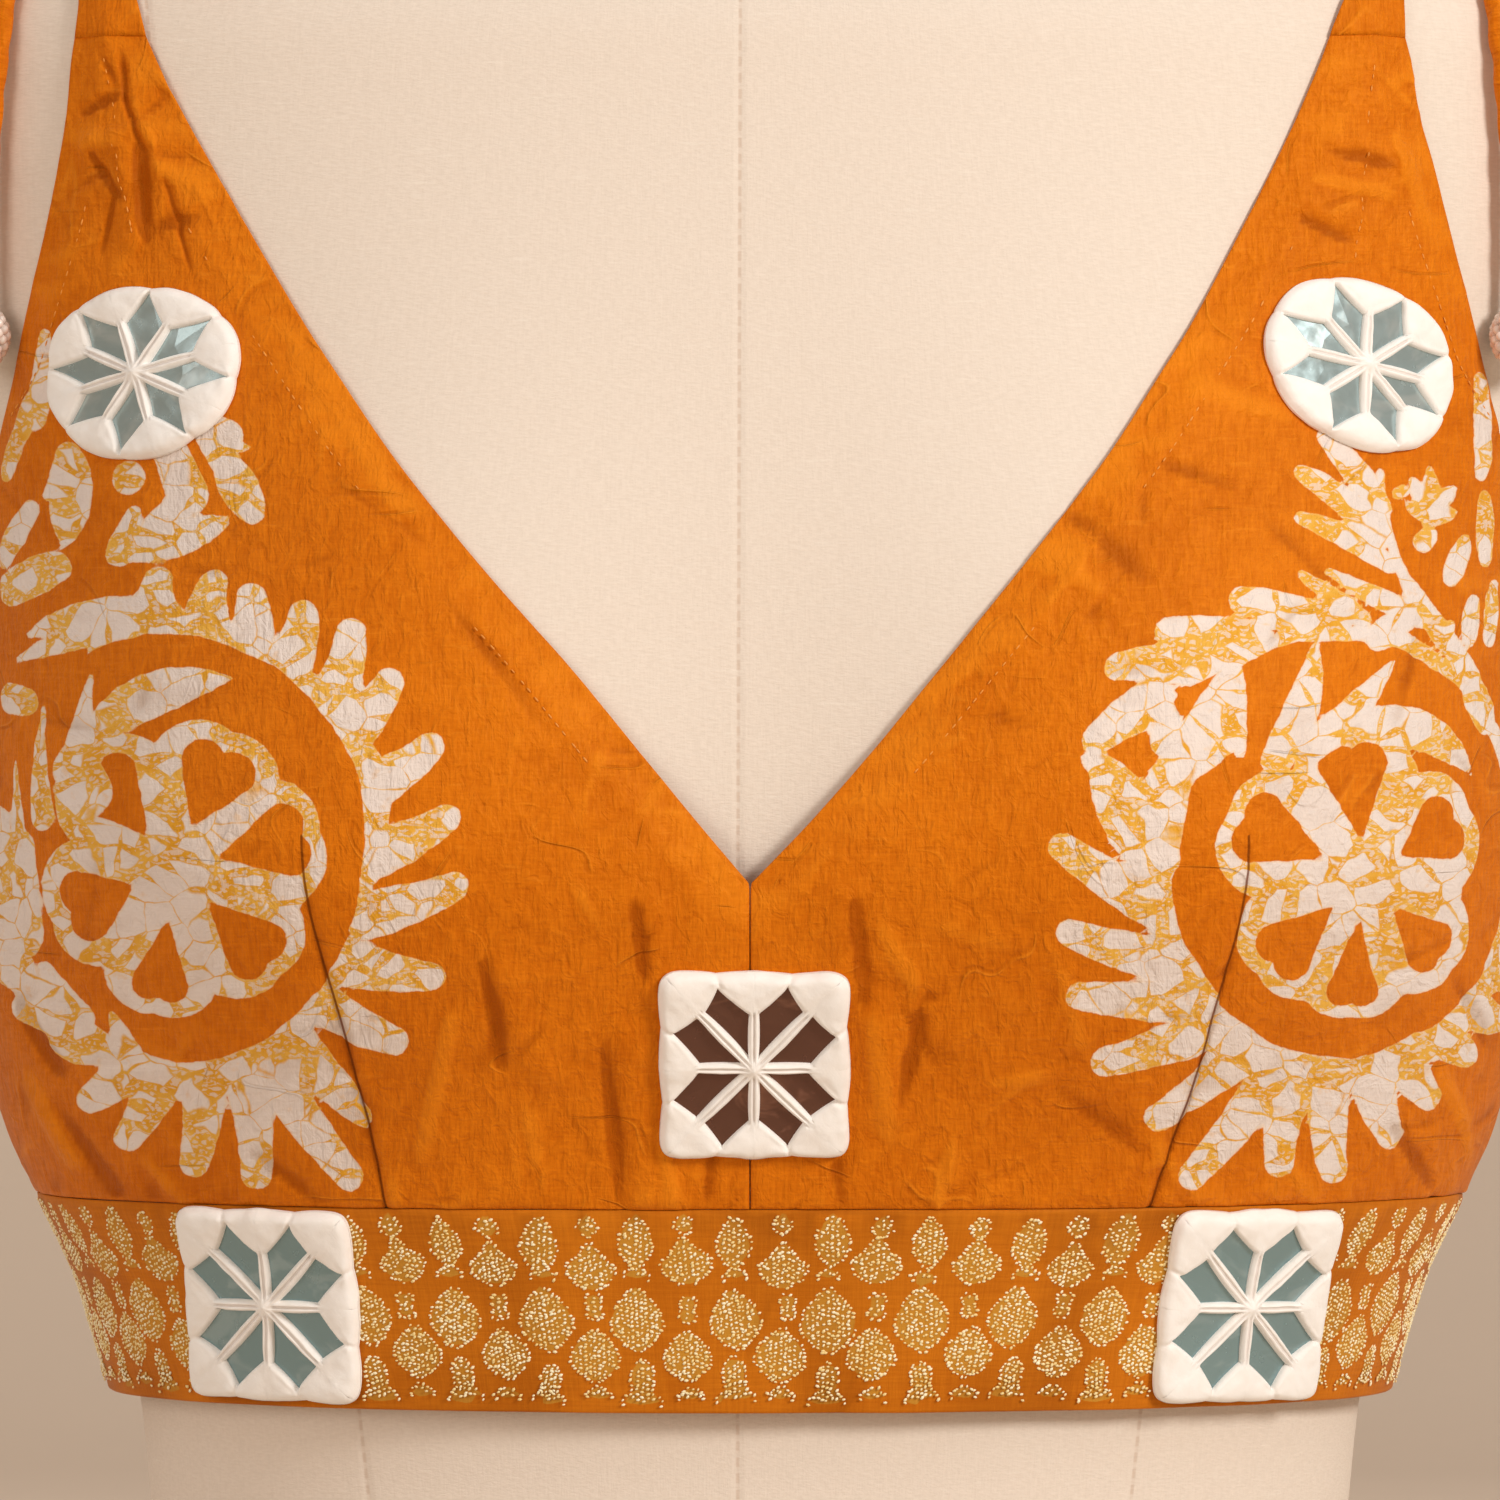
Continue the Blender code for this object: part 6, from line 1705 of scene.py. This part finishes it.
@dataclass
class Shoulder:
    """One shoulder: both straps, the knot, its loops and its tails with their balls of beads."""

    side: Side
    silk: bpy.types.Material
    pearl: bpy.types.Material
    strap_columns: int = 22
    tail_stiffness: str = "limp"

    def __post_init__(self) -> None:
        """Finds the knot's place and axes."""
        sign = self.side.value
        self.centre = BODY.shoulder_point(KNOT_X * sign, KNOT_ANGLE, KNOT_LIFT)
        ahead, behind = (BODY.shoulder_point(KNOT_X * sign, KNOT_ANGLE + turn, KNOT_LIFT)
                         for turn in (-0.05, 0.05))
        self.backwards = (behind - ahead) / np.linalg.norm(behind - ahead)
        above = BODY.shoulder_point(KNOT_X * sign, KNOT_ANGLE, KNOT_LIFT + MM) - self.centre
        outwards = np.cross(self.backwards, above) * sign
        self.outwards = outwards / np.linalg.norm(outwards)
        self.upwards = above / np.linalg.norm(above)

    def way_out(self, degrees: float) -> np.ndarray:
        """Returns: where a cord leaves the knot."""
        turn = math.radians(degrees)
        aim = self.outwards * math.cos(turn) + self.backwards * math.sin(turn)
        return self.centre + aim * (KNOT_RADIUS + CORD_GAP)

    def route(self, name: str) -> list:
        """Returns: a cord's route points in space."""
        rows = np.array(ROUTES[name], float)
        return list(BODY.shoulder_point(rows[:, 0] * MM * self.side.value, np.radians(rows[:, 1]), rows[:, 2] * MM))

    def tails(self) -> None:
        """Builds both loose ends, each with its ball of beads."""
        for end in ("front", "back"):
            name = f"tail_{end}"
            x, angle, lift = BALLS[end]
            place = BODY.shoulder_point(x * MM * self.side.value, math.radians(angle), lift * MM)
            exit_point = self.way_out(EXITS[name])
            points = [exit_point] + self.route(name)
            towards = (points[-1] - place) / np.linalg.norm(points[-1] - place)
            line = smooth_route(points + [place + towards * (BALL_RADIUS + CORD_GAP)], 1.0 * MM)
            wrinkle = soft_noise(np.arange(len(line)) / 3.1, 0 * line[:, 0] + self.side.value, 41)
            shape, faces = tube(line, CORD_RADIUS * (0.95 + 0.05 * wrinkle), 16, 0.09, 55.0)
            piece = self.cloth_piece(f"{name}_{self.side.label}_cord", shape, faces, 16)
            ball = self.bead_ball(f"ball_{end}_{self.side.label}_beads", place)
            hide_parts(f"{name}_{self.side.label}")
            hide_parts(f"ball_{end}_{self.side.label}")

    def cloth_piece(self, name: str, points: np.ndarray, faces: list, sides: int) -> bpy.types.Object:
        """Returns: a silk piece round a line, with its cloth map along it."""
        piece = build_object(name, points, faces)
        piece.data.materials.append(self.silk)
        index = np.arange(len(points))
        set_map(piece, (index // sides) * 1.0 * MM, np.abs((index % sides) - sides / 2) * 0.8 * MM)
        # No painted crease shade or highlight on the cords and the knot.
        set_values(piece, "crease", np.zeros(len(points)))
        set_values(piece, "line", np.full(len(points), 9.0))
        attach(piece, ROOT)
        return piece

    def bead_ball(self, name: str, centre: np.ndarray) -> bpy.types.Object:
        """Returns: a ball covered with beads."""
        bead = 2.3 * MM
        count = 132
        k = np.arange(count) + 0.5
        tilt, turn = np.arccos(1 - 2 * k / count), math.pi * (1 + math.sqrt(5)) * k
        aim = np.stack([np.sin(tilt) * np.cos(turn), np.sin(tilt) * np.sin(turn), np.cos(tilt)], axis=1)
        along = np.cross(aim, (0.2, 0.3, 0.93))
        core = BALL_RADIUS - bead * 0.62
        parts = SmallParts(bead, bead, bead, 8, 6, 0.07, 9)
        piece = parts.build(name, centre + aim * core, aim, along, self.pearl)
        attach(piece, ROOT)
        return piece

    def loops(self) -> None:
        """Builds both loops of the bow."""
        for name in ("loop_inner", "loop_outer"):
            first, last = EXITS[name]
            line = smooth_route([self.way_out(first)] + self.route(name) + [self.way_out(last)], 1.0 * MM)
            wrinkle = soft_noise(np.arange(len(line)) / 4.0, 0 * line[:, 0] + 3 * self.side.value, 43)
            shape, faces = tube(line, CORD_RADIUS * (0.98 + 0.10 * wrinkle), 16, 0.12, 42.0)
            piece = self.cloth_piece(f"{name}_{self.side.label}_cloth", shape, faces, 16)
            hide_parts(f"{name}_{self.side.label}")

    def knot(self) -> None:
        """Builds the knot: three turns of cloth drawn round its centre."""
        points, groups, total = [], [], 0
        aims = ((0.15, 0.0, 5.2, 3.3), (1.25, 0.9, 5.0, 2.9), (2.2, -0.8, 4.9, 2.9))
        for turn, tilt, ring, thick in aims:
            s = np.linspace(0, 2 * math.pi, 48, endpoint=False)
            u = self.outwards * math.cos(turn) + self.backwards * math.sin(turn)
            v = -self.outwards * math.sin(turn) + self.backwards * math.cos(turn)
            v = v * math.cos(tilt) + self.upwards * math.sin(tilt)
            line = self.centre + ring * MM * (np.cos(s)[:, None] * u + np.sin(s)[:, None] * v * 0.9)
            flat = line - self.centre
            line = line - np.outer(flat @ self.upwards, self.upwards) * 0.45
            turns = np.linspace(0, 2 * math.pi, 14, endpoint=False)
            along = np.roll(line, -1, axis=0) - np.roll(line, 1, axis=0)
            along /= np.linalg.norm(along, axis=1, keepdims=True)
            out = line - self.centre
            out -= along * (out * along).sum(1)[:, None]
            out /= np.linalg.norm(out, axis=1, keepdims=True)
            other = np.cross(along, out)
            radius = thick * MM * (1 + 0.07 * np.cos(5 * turns[None, :] + 2 * s[:, None]))
            body = line[:, None] + radius[..., None] * (np.cos(turns)[None, :, None] * out[:, None]
                                                        + np.sin(turns)[None, :, None] * other[:, None])
            quads = []
            for r in range(48):
                for c in range(14):
                    n, d = (r + 1) % 48, (c + 1) % 14
                    quads.append((r * 14 + c, n * 14 + c, n * 14 + d, r * 14 + d))
            points.append(body.reshape(-1, 3))
            groups.append(np.array(quads)[:, ::-1] + total)
            total += 48 * 14
        points = np.concatenate(points)
        piece = self.cloth_piece(f"knot_{self.side.label}_cloth", points, [np.concatenate(groups)], 14)
        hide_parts(f"knot_{self.side.label}")
        LOG.info("%s", piece.name)

    def strap(self, end: str) -> None:
        """Builds the strap at the front or the back."""
        sign = self.side.value
        front = end == "front"
        rows = (FRONT_NECKLINE[self.side], FRONT_ARMHOLE[self.side]) if front else (BACK_NECKLINE, BACK_ARMHOLE)
        edges = FRONT_STRAP_EDGES[self.side] if front else BACK_STRAP_EDGES
        middle = 0.0 if front else CENTRE_BACK
        seam = []
        for edge_rows in rows:
            edge = abs(float(BODY.cloth_point(middle - edge_curve(edge_rows)(STRAP_SEAM_Z), STRAP_SEAM_Z,
                                              1.1 * MM)[0]))
            ray = edge
            for _ in range(4):
                ray += edge - float(BODY.shoulder_point(ray, middle, 2.8 * MM)[0])
            seam.append(ray)
        at = [0.0] + [math.radians(a) for a, _, _ in edges]
        inner = SmoothCurve(at, [seam[0]] + [x * MM for _, x, _ in edges])
        outer = SmoothCurve(at, [seam[1]] + [x * MM for _, _, x in edges])
        reach = float(np.linalg.norm(BODY.shoulder_point(KNOT_X, KNOT_ANGLE, 0.0) - (KNOT_X, 0, STRAP_SEAM_Z)))
        finish = (KNOT_ANGLE if front else math.pi - KNOT_ANGLE) - 6.0 * MM / reach
        turns = np.linspace(-0.0022, finish, 70 if front else 96)
        share = spread(0.0, 1.0, self.strap_columns, 0.035)
        x = np.array([float(inner(t)) + (float(outer(t)) - float(inner(t))) * share for t in turns])
        turn = np.repeat(turns[:, None], x.shape[1], axis=1)
        arc, across = turn * reach / MM, x / MM - 130.0
        height = 0.35 * soft_noise(across / 5.0 + 3, arc / 7.0, 61 + sign) + small_creases(
            across, arc, 67 + sign + 5 * front, 26)
        gather = fade(0.25, 1.0, turn / finish)
        height = height + gather * 0.35 * np.cos(across * 1.9 + 0.8 * soft_noise(across / 4, arc / 9, 5))
        loose = np.minimum(x - x[:, :1], x[:, -1:] - x) / MM
        turned = np.sqrt(np.clip(1 - (1 - np.clip(loose / 0.7, 0, 1)) ** 2, 0, 1))
        up_strap = fade(0.0, 0.30, turn)
        drop = 1.75 * (1 - fade(0.0, 11.0, loose)) * (1 - up_strap) + 1.35 * (1 - fade(0.0, 4.5, loose)) * up_strap
        height = height * fade(0.0, 0.08, turn)
        middle_lift = 2.775 - drop + height
        half = 0.38 * (0.15 + 0.85 * turned)
        under = np.maximum(middle_lift - half, 0.35)
        over = np.maximum(middle_lift + half, under + 0.12)
        if not front:
            turn = math.pi - turn
        x = x * sign
        if (sign < 0) == front:
            x, turn, under, over = (grid[:, ::-1] for grid in (x, turn, under, over))
            height, across = height[:, ::-1], across[:, ::-1]
        outside = BODY.shoulder_point(x, turn, over * MM)
        inside = BODY.shoulder_point(x, turn, under * MM)
        piece = build_object(f"{end}_strap_{self.side.label}_silk",
                             np.concatenate([outside.reshape(-1, 3), inside.reshape(-1, 3)]),
                             [shell_faces(*x.shape)])
        piece.data.materials.append(self.silk)
        # The strap's relief is stored to paint shade in its creases and highlight on its ridges.
        set_values(piece, "crease", np.tile(np.clip(height / 0.5, -1.6, 1.6).ravel(), 2))
        set_values(piece, "line", np.full(2 * x.size, 9.0))
        set_map(piece, np.tile(across.ravel() * MM, 2), np.tile(arc.ravel() * MM, 2))
        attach(piece, ROOT)
        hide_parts(f"{end}_strap_{self.side.label}")

    def build(self) -> None:
        """Builds the shoulder, its cords first."""
        self.tails()
        self.loops()
        self.knot()
        self.strap("front")
        self.strap("back")


# Mirror patches

@dataclass(frozen=True)
class PatchRow:
    """Where a mirror patch lies, its half sizes in mm, its shape, its turn and how it leans."""

    name: str
    angle: float
    z: float
    half_width: float
    half_height: float
    shape: PatchShape
    turn: float
    first_spoke: float
    lean: float
    seed: int


PATCHES = (
    PatchRow("round_right", -55.1, 474.4, 24.6, 17.7, PatchShape.OVAL, -4.0, 22.5, 0.0, 1),
    PatchRow("round_left", 55.4, 476.1, 23.6, 17.6, PatchShape.OVAL, -10.0, 0.0, 0.0, 2),
    PatchRow("centre", 0.4, 335.5, 18.9, 21.0, PatchShape.SQUARE, 0.0, 0.0, 0.0, 3),
    PatchRow("band_right", -52.0, 285.2, 21.0, 20.4, PatchShape.SQUARE, -0.5, 0.0, 0.20, 4),
    PatchRow("band_left", 53.8, 284.7, 21.0, 20.5, PatchShape.SQUARE, -1.0, 0.0, -0.16, 5),
)


@dataclass
class MirrorPatch:
    """A puffy cotton cover with a star of eight cut windows, sewn over a mirror."""

    row: PatchRow
    cotton: bpy.types.Material
    mirror: bpy.types.Material
    seat: float = 2.1 * MM
    hub: float = 0.14
    axis_reach: float = 0.58
    diagonal_reach: float = 0.80
    window_reach: float = 0.93
    spoke_half: float = 1.02
    loop_points: int = 96
    rings: int = 15

    def __post_init__(self) -> None:
        """Measures the cloth under the patch and its turn."""
        self.theta, self.height = math.radians(self.row.angle), self.row.z * MM
        lift = 1.6 * MM
        c, d = (BODY.cloth_point(self.theta, self.height + s * MM, lift) for s in (1, -1))
        self.up = float(np.linalg.norm(c - d)) / (2 * MM)
        self.draw = np.random.default_rng(self.row.seed)
        self.size = np.array([self.row.half_width, self.row.half_height])
        self.first = math.radians(self.row.first_spoke)

    def place(self, plan: np.ndarray, lift: np.ndarray) -> np.ndarray:
        """Returns: points of the patch's plan in mm, moved onto the cloth and out by a lift in mm."""
        spin = math.radians(self.row.turn)
        s = plan[:, 0] * math.cos(spin) - plan[:, 1] * math.sin(spin) + self.row.lean * plan[:, 1]
        t = plan[:, 0] * math.sin(spin) + plan[:, 1] * math.cos(spin)
        level = self.height + t * MM / self.up
        ahead, behind = (BODY.cloth_point(self.theta + step, level, 1.6 * MM) for step in (0.01, -0.01))
        along = np.linalg.norm(ahead - behind, axis=-1) / 0.02 / MM
        return BODY.cloth_point(self.theta + s / along, level, self.seat + np.asarray(lift) * MM)

    def rim(self, turn: np.ndarray) -> np.ndarray:
        """Returns: the outline's points, drawn in at the window tips and bulging between them."""
        across, up = np.cos(turn), np.sin(turn)
        square = self.row.shape is PatchShape.SQUARE
        power = 11.0 if square else 2.15
        reach = (np.abs(across) ** power + np.abs(up) ** power) ** (-1 / power)
        phase = 4 * (turn - self.first)
        bulge = 0.030 * np.abs(np.cos(phase)) ** 0.8 - 0.016
        shift = self.row.seed * 9
        lumps = 0.014 * soft_noise(1.7 * across + shift, 1.7 * up, 71)
        lumps = lumps + 0.007 * soft_noise(6.1 * across + shift, 6.1 * up, 72)
        return np.stack([across, up], axis=-1) * (reach * (1 + bulge + lumps))[..., None] * self.size

    def corners(self) -> list:
        """Returns: each window's four corners on the plan: hub, right, tip and left."""
        step, half = math.pi / 4, self.spoke_half
        found = []
        jitter = self.draw.normal(0, 0.012, (8, 4))
        for k in range(8):
            ends = []
            for n, sign in ((k, 1), (k + 1, -1)):
                square = self.row.shape is PatchShape.SQUARE
                reach = self.diagonal_reach if n % 2 and square else self.axis_reach
                aim = np.array([math.cos(n * step + self.first), math.sin(n * step + self.first)])
                across = np.array([-aim[1], aim[0]]) * half * sign
                ends.append(aim * (reach + jitter[k, 0]) * self.size + across)
            middle = (k + 0.5) * step + self.first + jitter[k, 1]
            aim = np.array([math.cos(middle), math.sin(middle)])
            found.append((aim * (self.hub + jitter[k, 2] * 0.5) * self.size, ends[0],
                          aim * (self.window_reach + jitter[k, 3] * 0.6) * self.size, ends[1]))
        return found

    @staticmethod
    def loop(corners: Sequence, count: int, bow: float) -> np.ndarray:
        """Returns: evenly spaced points round a window, its sides bowed in a little."""
        points = []
        for a, b in zip(corners, list(corners[1:]) + [corners[0]]):
            t = np.linspace(0, 1, count // 4, endpoint=False)[:, None]
            side = np.array([-(b - a)[1], (b - a)[0]])
            points.append(a + (b - a) * t + side * bow * 4 * t * (1 - t))
        return np.concatenate(points)

    def sector(self, k: int) -> np.ndarray:
        """Returns: the outer loop that goes with a window: out along one spoke, round the rim and back."""
        step = math.pi / 4
        n = self.loop_points // 4
        low = k * step + self.first
        start, end = self.rim(np.array(low)), self.rim(np.array(low + step))
        half = low + step / 2
        t = np.linspace(0, 1, n, endpoint=False)[:, None]
        right = start * t
        down = end * (1 - t)
        turns = np.concatenate([np.linspace(low, half, n, endpoint=False),
                                np.linspace(half, low + step, n, endpoint=False)])
        return np.concatenate([right, self.rim(turns), down])

    def relief(self, plan: np.ndarray, windows: list) -> tuple:
        """The height of the cover over its plan.

        Args:
            plan: places in mm.
            windows: the windows' outlines.

        Returns:
            The height in mm and how deep in a spoke's groove each place is.
        """
        turn = np.arctan2(plan[:, 1] / self.size[1], plan[:, 0] / self.size[0])
        rim = self.rim(np.arctan2(plan[:, 1] * self.size[0], plan[:, 0] * self.size[1]))
        radius = np.hypot(plan[:, 0], plan[:, 1])
        to_rim = np.hypot(rim[:, 0], rim[:, 1]) - radius
        to_window = np.full(len(plan), 99.0)
        for outline in windows:
            closed = np.vstack([outline, outline[:1]])
            to_window = np.minimum(to_window, away_from(plan, closed))
        spoke = np.full(len(plan), 99.0)
        pinch = np.full(len(plan), 99.0)
        step = math.pi / 4
        square = self.row.shape is PatchShape.SQUARE
        for k in range(8):
            turned = k * step + self.first
            aim = np.array([math.cos(turned), math.sin(turned)]) * self.size
            reach = self.diagonal_reach if k % 2 and square else self.axis_reach
            spoke = np.minimum(spoke, away_from(plan, np.array([aim * 0.10, aim * (reach - 0.01)])))
            middle = turned + step / 2
            tip = np.array([math.cos(middle), math.sin(middle)]) * self.size
            pinch = np.minimum(pinch, away_from(plan, np.array([tip * self.window_reach, tip * 1.4])))
        near = np.minimum(to_window, to_rim * 0.8)
        body = 1.70 + 0.95 * (1 - np.exp(-np.maximum(near, 0) / 1.3))
        edge = np.sqrt(np.clip(1 - (1 - np.clip(to_rim / 1.9, 0, 1)) ** 2, 0, 1))
        body = body * (0.15 + 0.85 * edge)
        lip = np.sqrt(np.clip(to_window / 0.45, 0, 1))
        body = body * (0.78 + 0.22 * lip) + 0.22 * bell(to_window - 0.55, 0.30)
        groove = 1 - fade(0.16, 0.46, spoke)
        body = body - 0.36 * groove
        body = body - 0.50 * bell(pinch, 0.40) * fade(-0.5, 1.2, to_rim)
        body = body + 0.50 * bell(radius, 1.3)
        body = body + 0.22 * soft_noise(plan[:, 0] / 4.5 + 5, plan[:, 1] / 4.5 + self.row.seed, 81)
        body = body + 0.10 * soft_noise(plan[:, 0] / 1.6, plan[:, 1] / 1.6, 82)
        fan = np.cos(16 * turn + 2 * soft_noise(turn * 3, 0 * turn, 7)) * fade(0.75, 0.95, radius / np.hypot(*rim.T))
        body = body + 0.07 * fan
        return np.clip(body, 0.15, 3.3), groove * fade(1.4, 2.2, radius)

    def cover(self) -> None:
        """Builds the cotton cover."""
        corner_sets = self.corners()
        windows = [self.loop(c, self.loop_points, 0.018) for c in corner_sets]
        share = np.linspace(0, 1, self.rings)
        points, lifts, groups, total = [], [], [], 0
        grooves = []
        n = self.loop_points
        for k, window in enumerate(windows):
            outer = self.sector(k)
            plan = (window[None] * (1 - share[:, None, None]) + outer[None] * share[:, None, None]).reshape(-1, 2)
            lift, groove = self.relief(plan, windows)
            wall = window.copy()
            points += [plan, wall]
            lifts += [lift, np.full(n, -0.3)]
            grooves += [groove, np.zeros(n)]
            groups.append(grid_faces(self.rings, n, total, True)[:, ::-1])
            count = self.rings * n
            r = np.arange(n)
            d = (r + 1) % n
            groups.append(np.stack([total + r, total + d, total + count + d, total + count + r], axis=1))
            total += count + n
        plan, lift = np.concatenate(points), np.concatenate(lifts)
        turns = np.linspace(0, 2 * math.pi, 256, endpoint=False)
        rim = self.rim(turns)
        inset = rim * 0.985
        first, _ = self.relief(rim * 0.999, windows)
        skirt = [self.place(rim, first), self.place(rim, 0 * turns - 0.25), self.place(inset, 0 * turns - 0.62)]
        space = np.concatenate([self.place(plan, lift)] + skirt)
        m = len(turns)
        base = len(plan)
        groups.append(grid_faces(3, m, base, True)[:, ::-1])
        piece = build_object(f"cover_{self.row.name}", space, [np.concatenate(groups)])
        piece.data.materials.append(self.cotton)
        groove = np.concatenate(grooves + [np.zeros(3 * m)])
        # The grooves' depth, stored to paint shade in them.
        set_values(piece, "groove", groove)
        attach(piece, ROOT)
        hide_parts(f"patch_{self.row.name}")
        LOG.info("%s", piece.name)

    def glass(self) -> None:
        """Gives the mirror plate its finish."""
        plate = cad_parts[f"mirror_{self.row.name}"]
        plate.data.materials.clear()
        plate.data.materials.append(self.mirror)

    def build(self) -> None:
        """Builds the patch."""
        self.cover()
        self.glass()


@dataclass(frozen=True)
class Studio:
    """A pale sweep and soft lights."""

    flat_radius: float = 3.6
    curve_radius: float = 1.1
    wall_top: float = 3.4
    sides: int = 72

    def sweep(self) -> None:
        """Builds a round floor whose edge curves up into a wall, seen from inside from every side."""
        profile = [(0.01, 0.0), (self.flat_radius, 0.0)]
        for k in range(1, 13):
            turn = math.pi / 2 * k / 12
            profile.append((self.flat_radius + self.curve_radius * math.sin(turn),
                            self.curve_radius * (1 - math.cos(turn))))
        profile.append((self.flat_radius + self.curve_radius, self.wall_top))
        turns = np.linspace(0, 2 * math.pi, self.sides, endpoint=False)
        points = np.array([[(r * math.cos(t), r * math.sin(t), z) for t in turns] for r, z in profile])
        faces = grid_faces(len(profile), self.sides, 0, True)[:, ::-1]
        centre = np.array([[*range(self.sides)]])
        sheet = build_object("studio_sweep", points.reshape(-1, 3), [faces, centre])
        sheet.data.materials.append(StudioFinish().build())

    @staticmethod
    def lamp(name: str, place: Sequence[float], aim: Sequence[float], size: float, power: float,
             colour: Sequence[float]) -> None:
        """Adds a soft square lamp that looks at a point."""
        data = bpy.data.lights.new(name, "AREA")
        data.shape, data.size, data.energy, data.color = "SQUARE", size, power, colour
        lamp = bpy.data.objects.new(name, data)
        place, aim = np.array(place, float), np.array(aim, float)
        back = (place - aim) / np.linalg.norm(place - aim)
        side = np.cross((0.0, 0.0, 1.0), back)
        side /= np.linalg.norm(side)
        turned = Matrix([side, np.cross(back, side), back]).transposed().to_4x4()
        turned.translation = place
        lamp.matrix_world = turned
        bpy.context.scene.collection.objects.link(lamp)

    def build(self) -> None:
        """Builds the sweep, the lamps and the surrounding light."""
        self.sweep()
        chest = (0.0, 0.0, 0.40)
        self.lamp("key", (1.45, -1.45, 1.15), chest, 0.5, 29.0, (1.0, 0.97, 0.93))
        self.lamp("fill", (-1.6, -1.7, 0.95), chest, 1.2, 13.5, (1.0, 0.96, 0.92))
        self.lamp("back", (-0.6, 1.4, 1.9), (0.0, 0.0, 0.45), 0.9, 8.0, (1.0, 0.95, 0.90))
        self.lamp("wall", (0.0, 1.2, 1.7), (0.0, 4.2, 0.35), 1.0, 34.0, (1.0, 0.96, 0.92))
        world = bpy.data.worlds.new("soft room")
        world.use_nodes = True
        shade = world.node_tree.nodes["Background"]
        shade.inputs["Color"].default_value = (1.0, 0.96, 0.92, 1.0)
        shade.inputs["Strength"].default_value = 0.62
        bpy.context.scene.world = world
        view = bpy.context.scene.view_settings
        view.view_transform = "Standard"
        view.look = "None"


def main() -> None:
    """Builds everything in order."""
    logging.basicConfig(level=logging.INFO, format="%(message)s")
    CAMERA.build()
    silk = SilkFinish().build()
    printed = SilkFinish(name="printed mustard silk", printed=True).build()
    pearl = PearlFinish().build()
    for side in Side:
        Shoulder(side, silk, pearl).build()
    FormCover(LinenFinish().build()).build()
    Bodice(silk, printed, StitchFinish().build()).build()
    HemBand(WovenFinish().build(), GoldThreadFinish().build()).build()
    cotton = CottonFinish().build()
    grey = MirrorFinish("grey mirror", (0.24, 0.36, 0.38), (0.32, 0.44, 0.46), 0.5).build()
    # The grey mirror again, painted brighter for the round patches: painted reflection.
    pale = MirrorFinish("grey mirror painted brighter", (0.40, 0.52, 0.54), (0.52, 0.62, 0.63), 0.5).build()
    brown = MirrorFinish("brown mirror", (0.145, 0.062, 0.038), (0.30, 0.14, 0.09), 0.58).build()
    for row in PATCHES:
        glass = brown if row.name == "centre" else pale if row.shape is PatchShape.OVAL else grey
        MirrorPatch(row, cotton, glass).build()
    Studio().build()


if __name__ == "__main__":
    main()
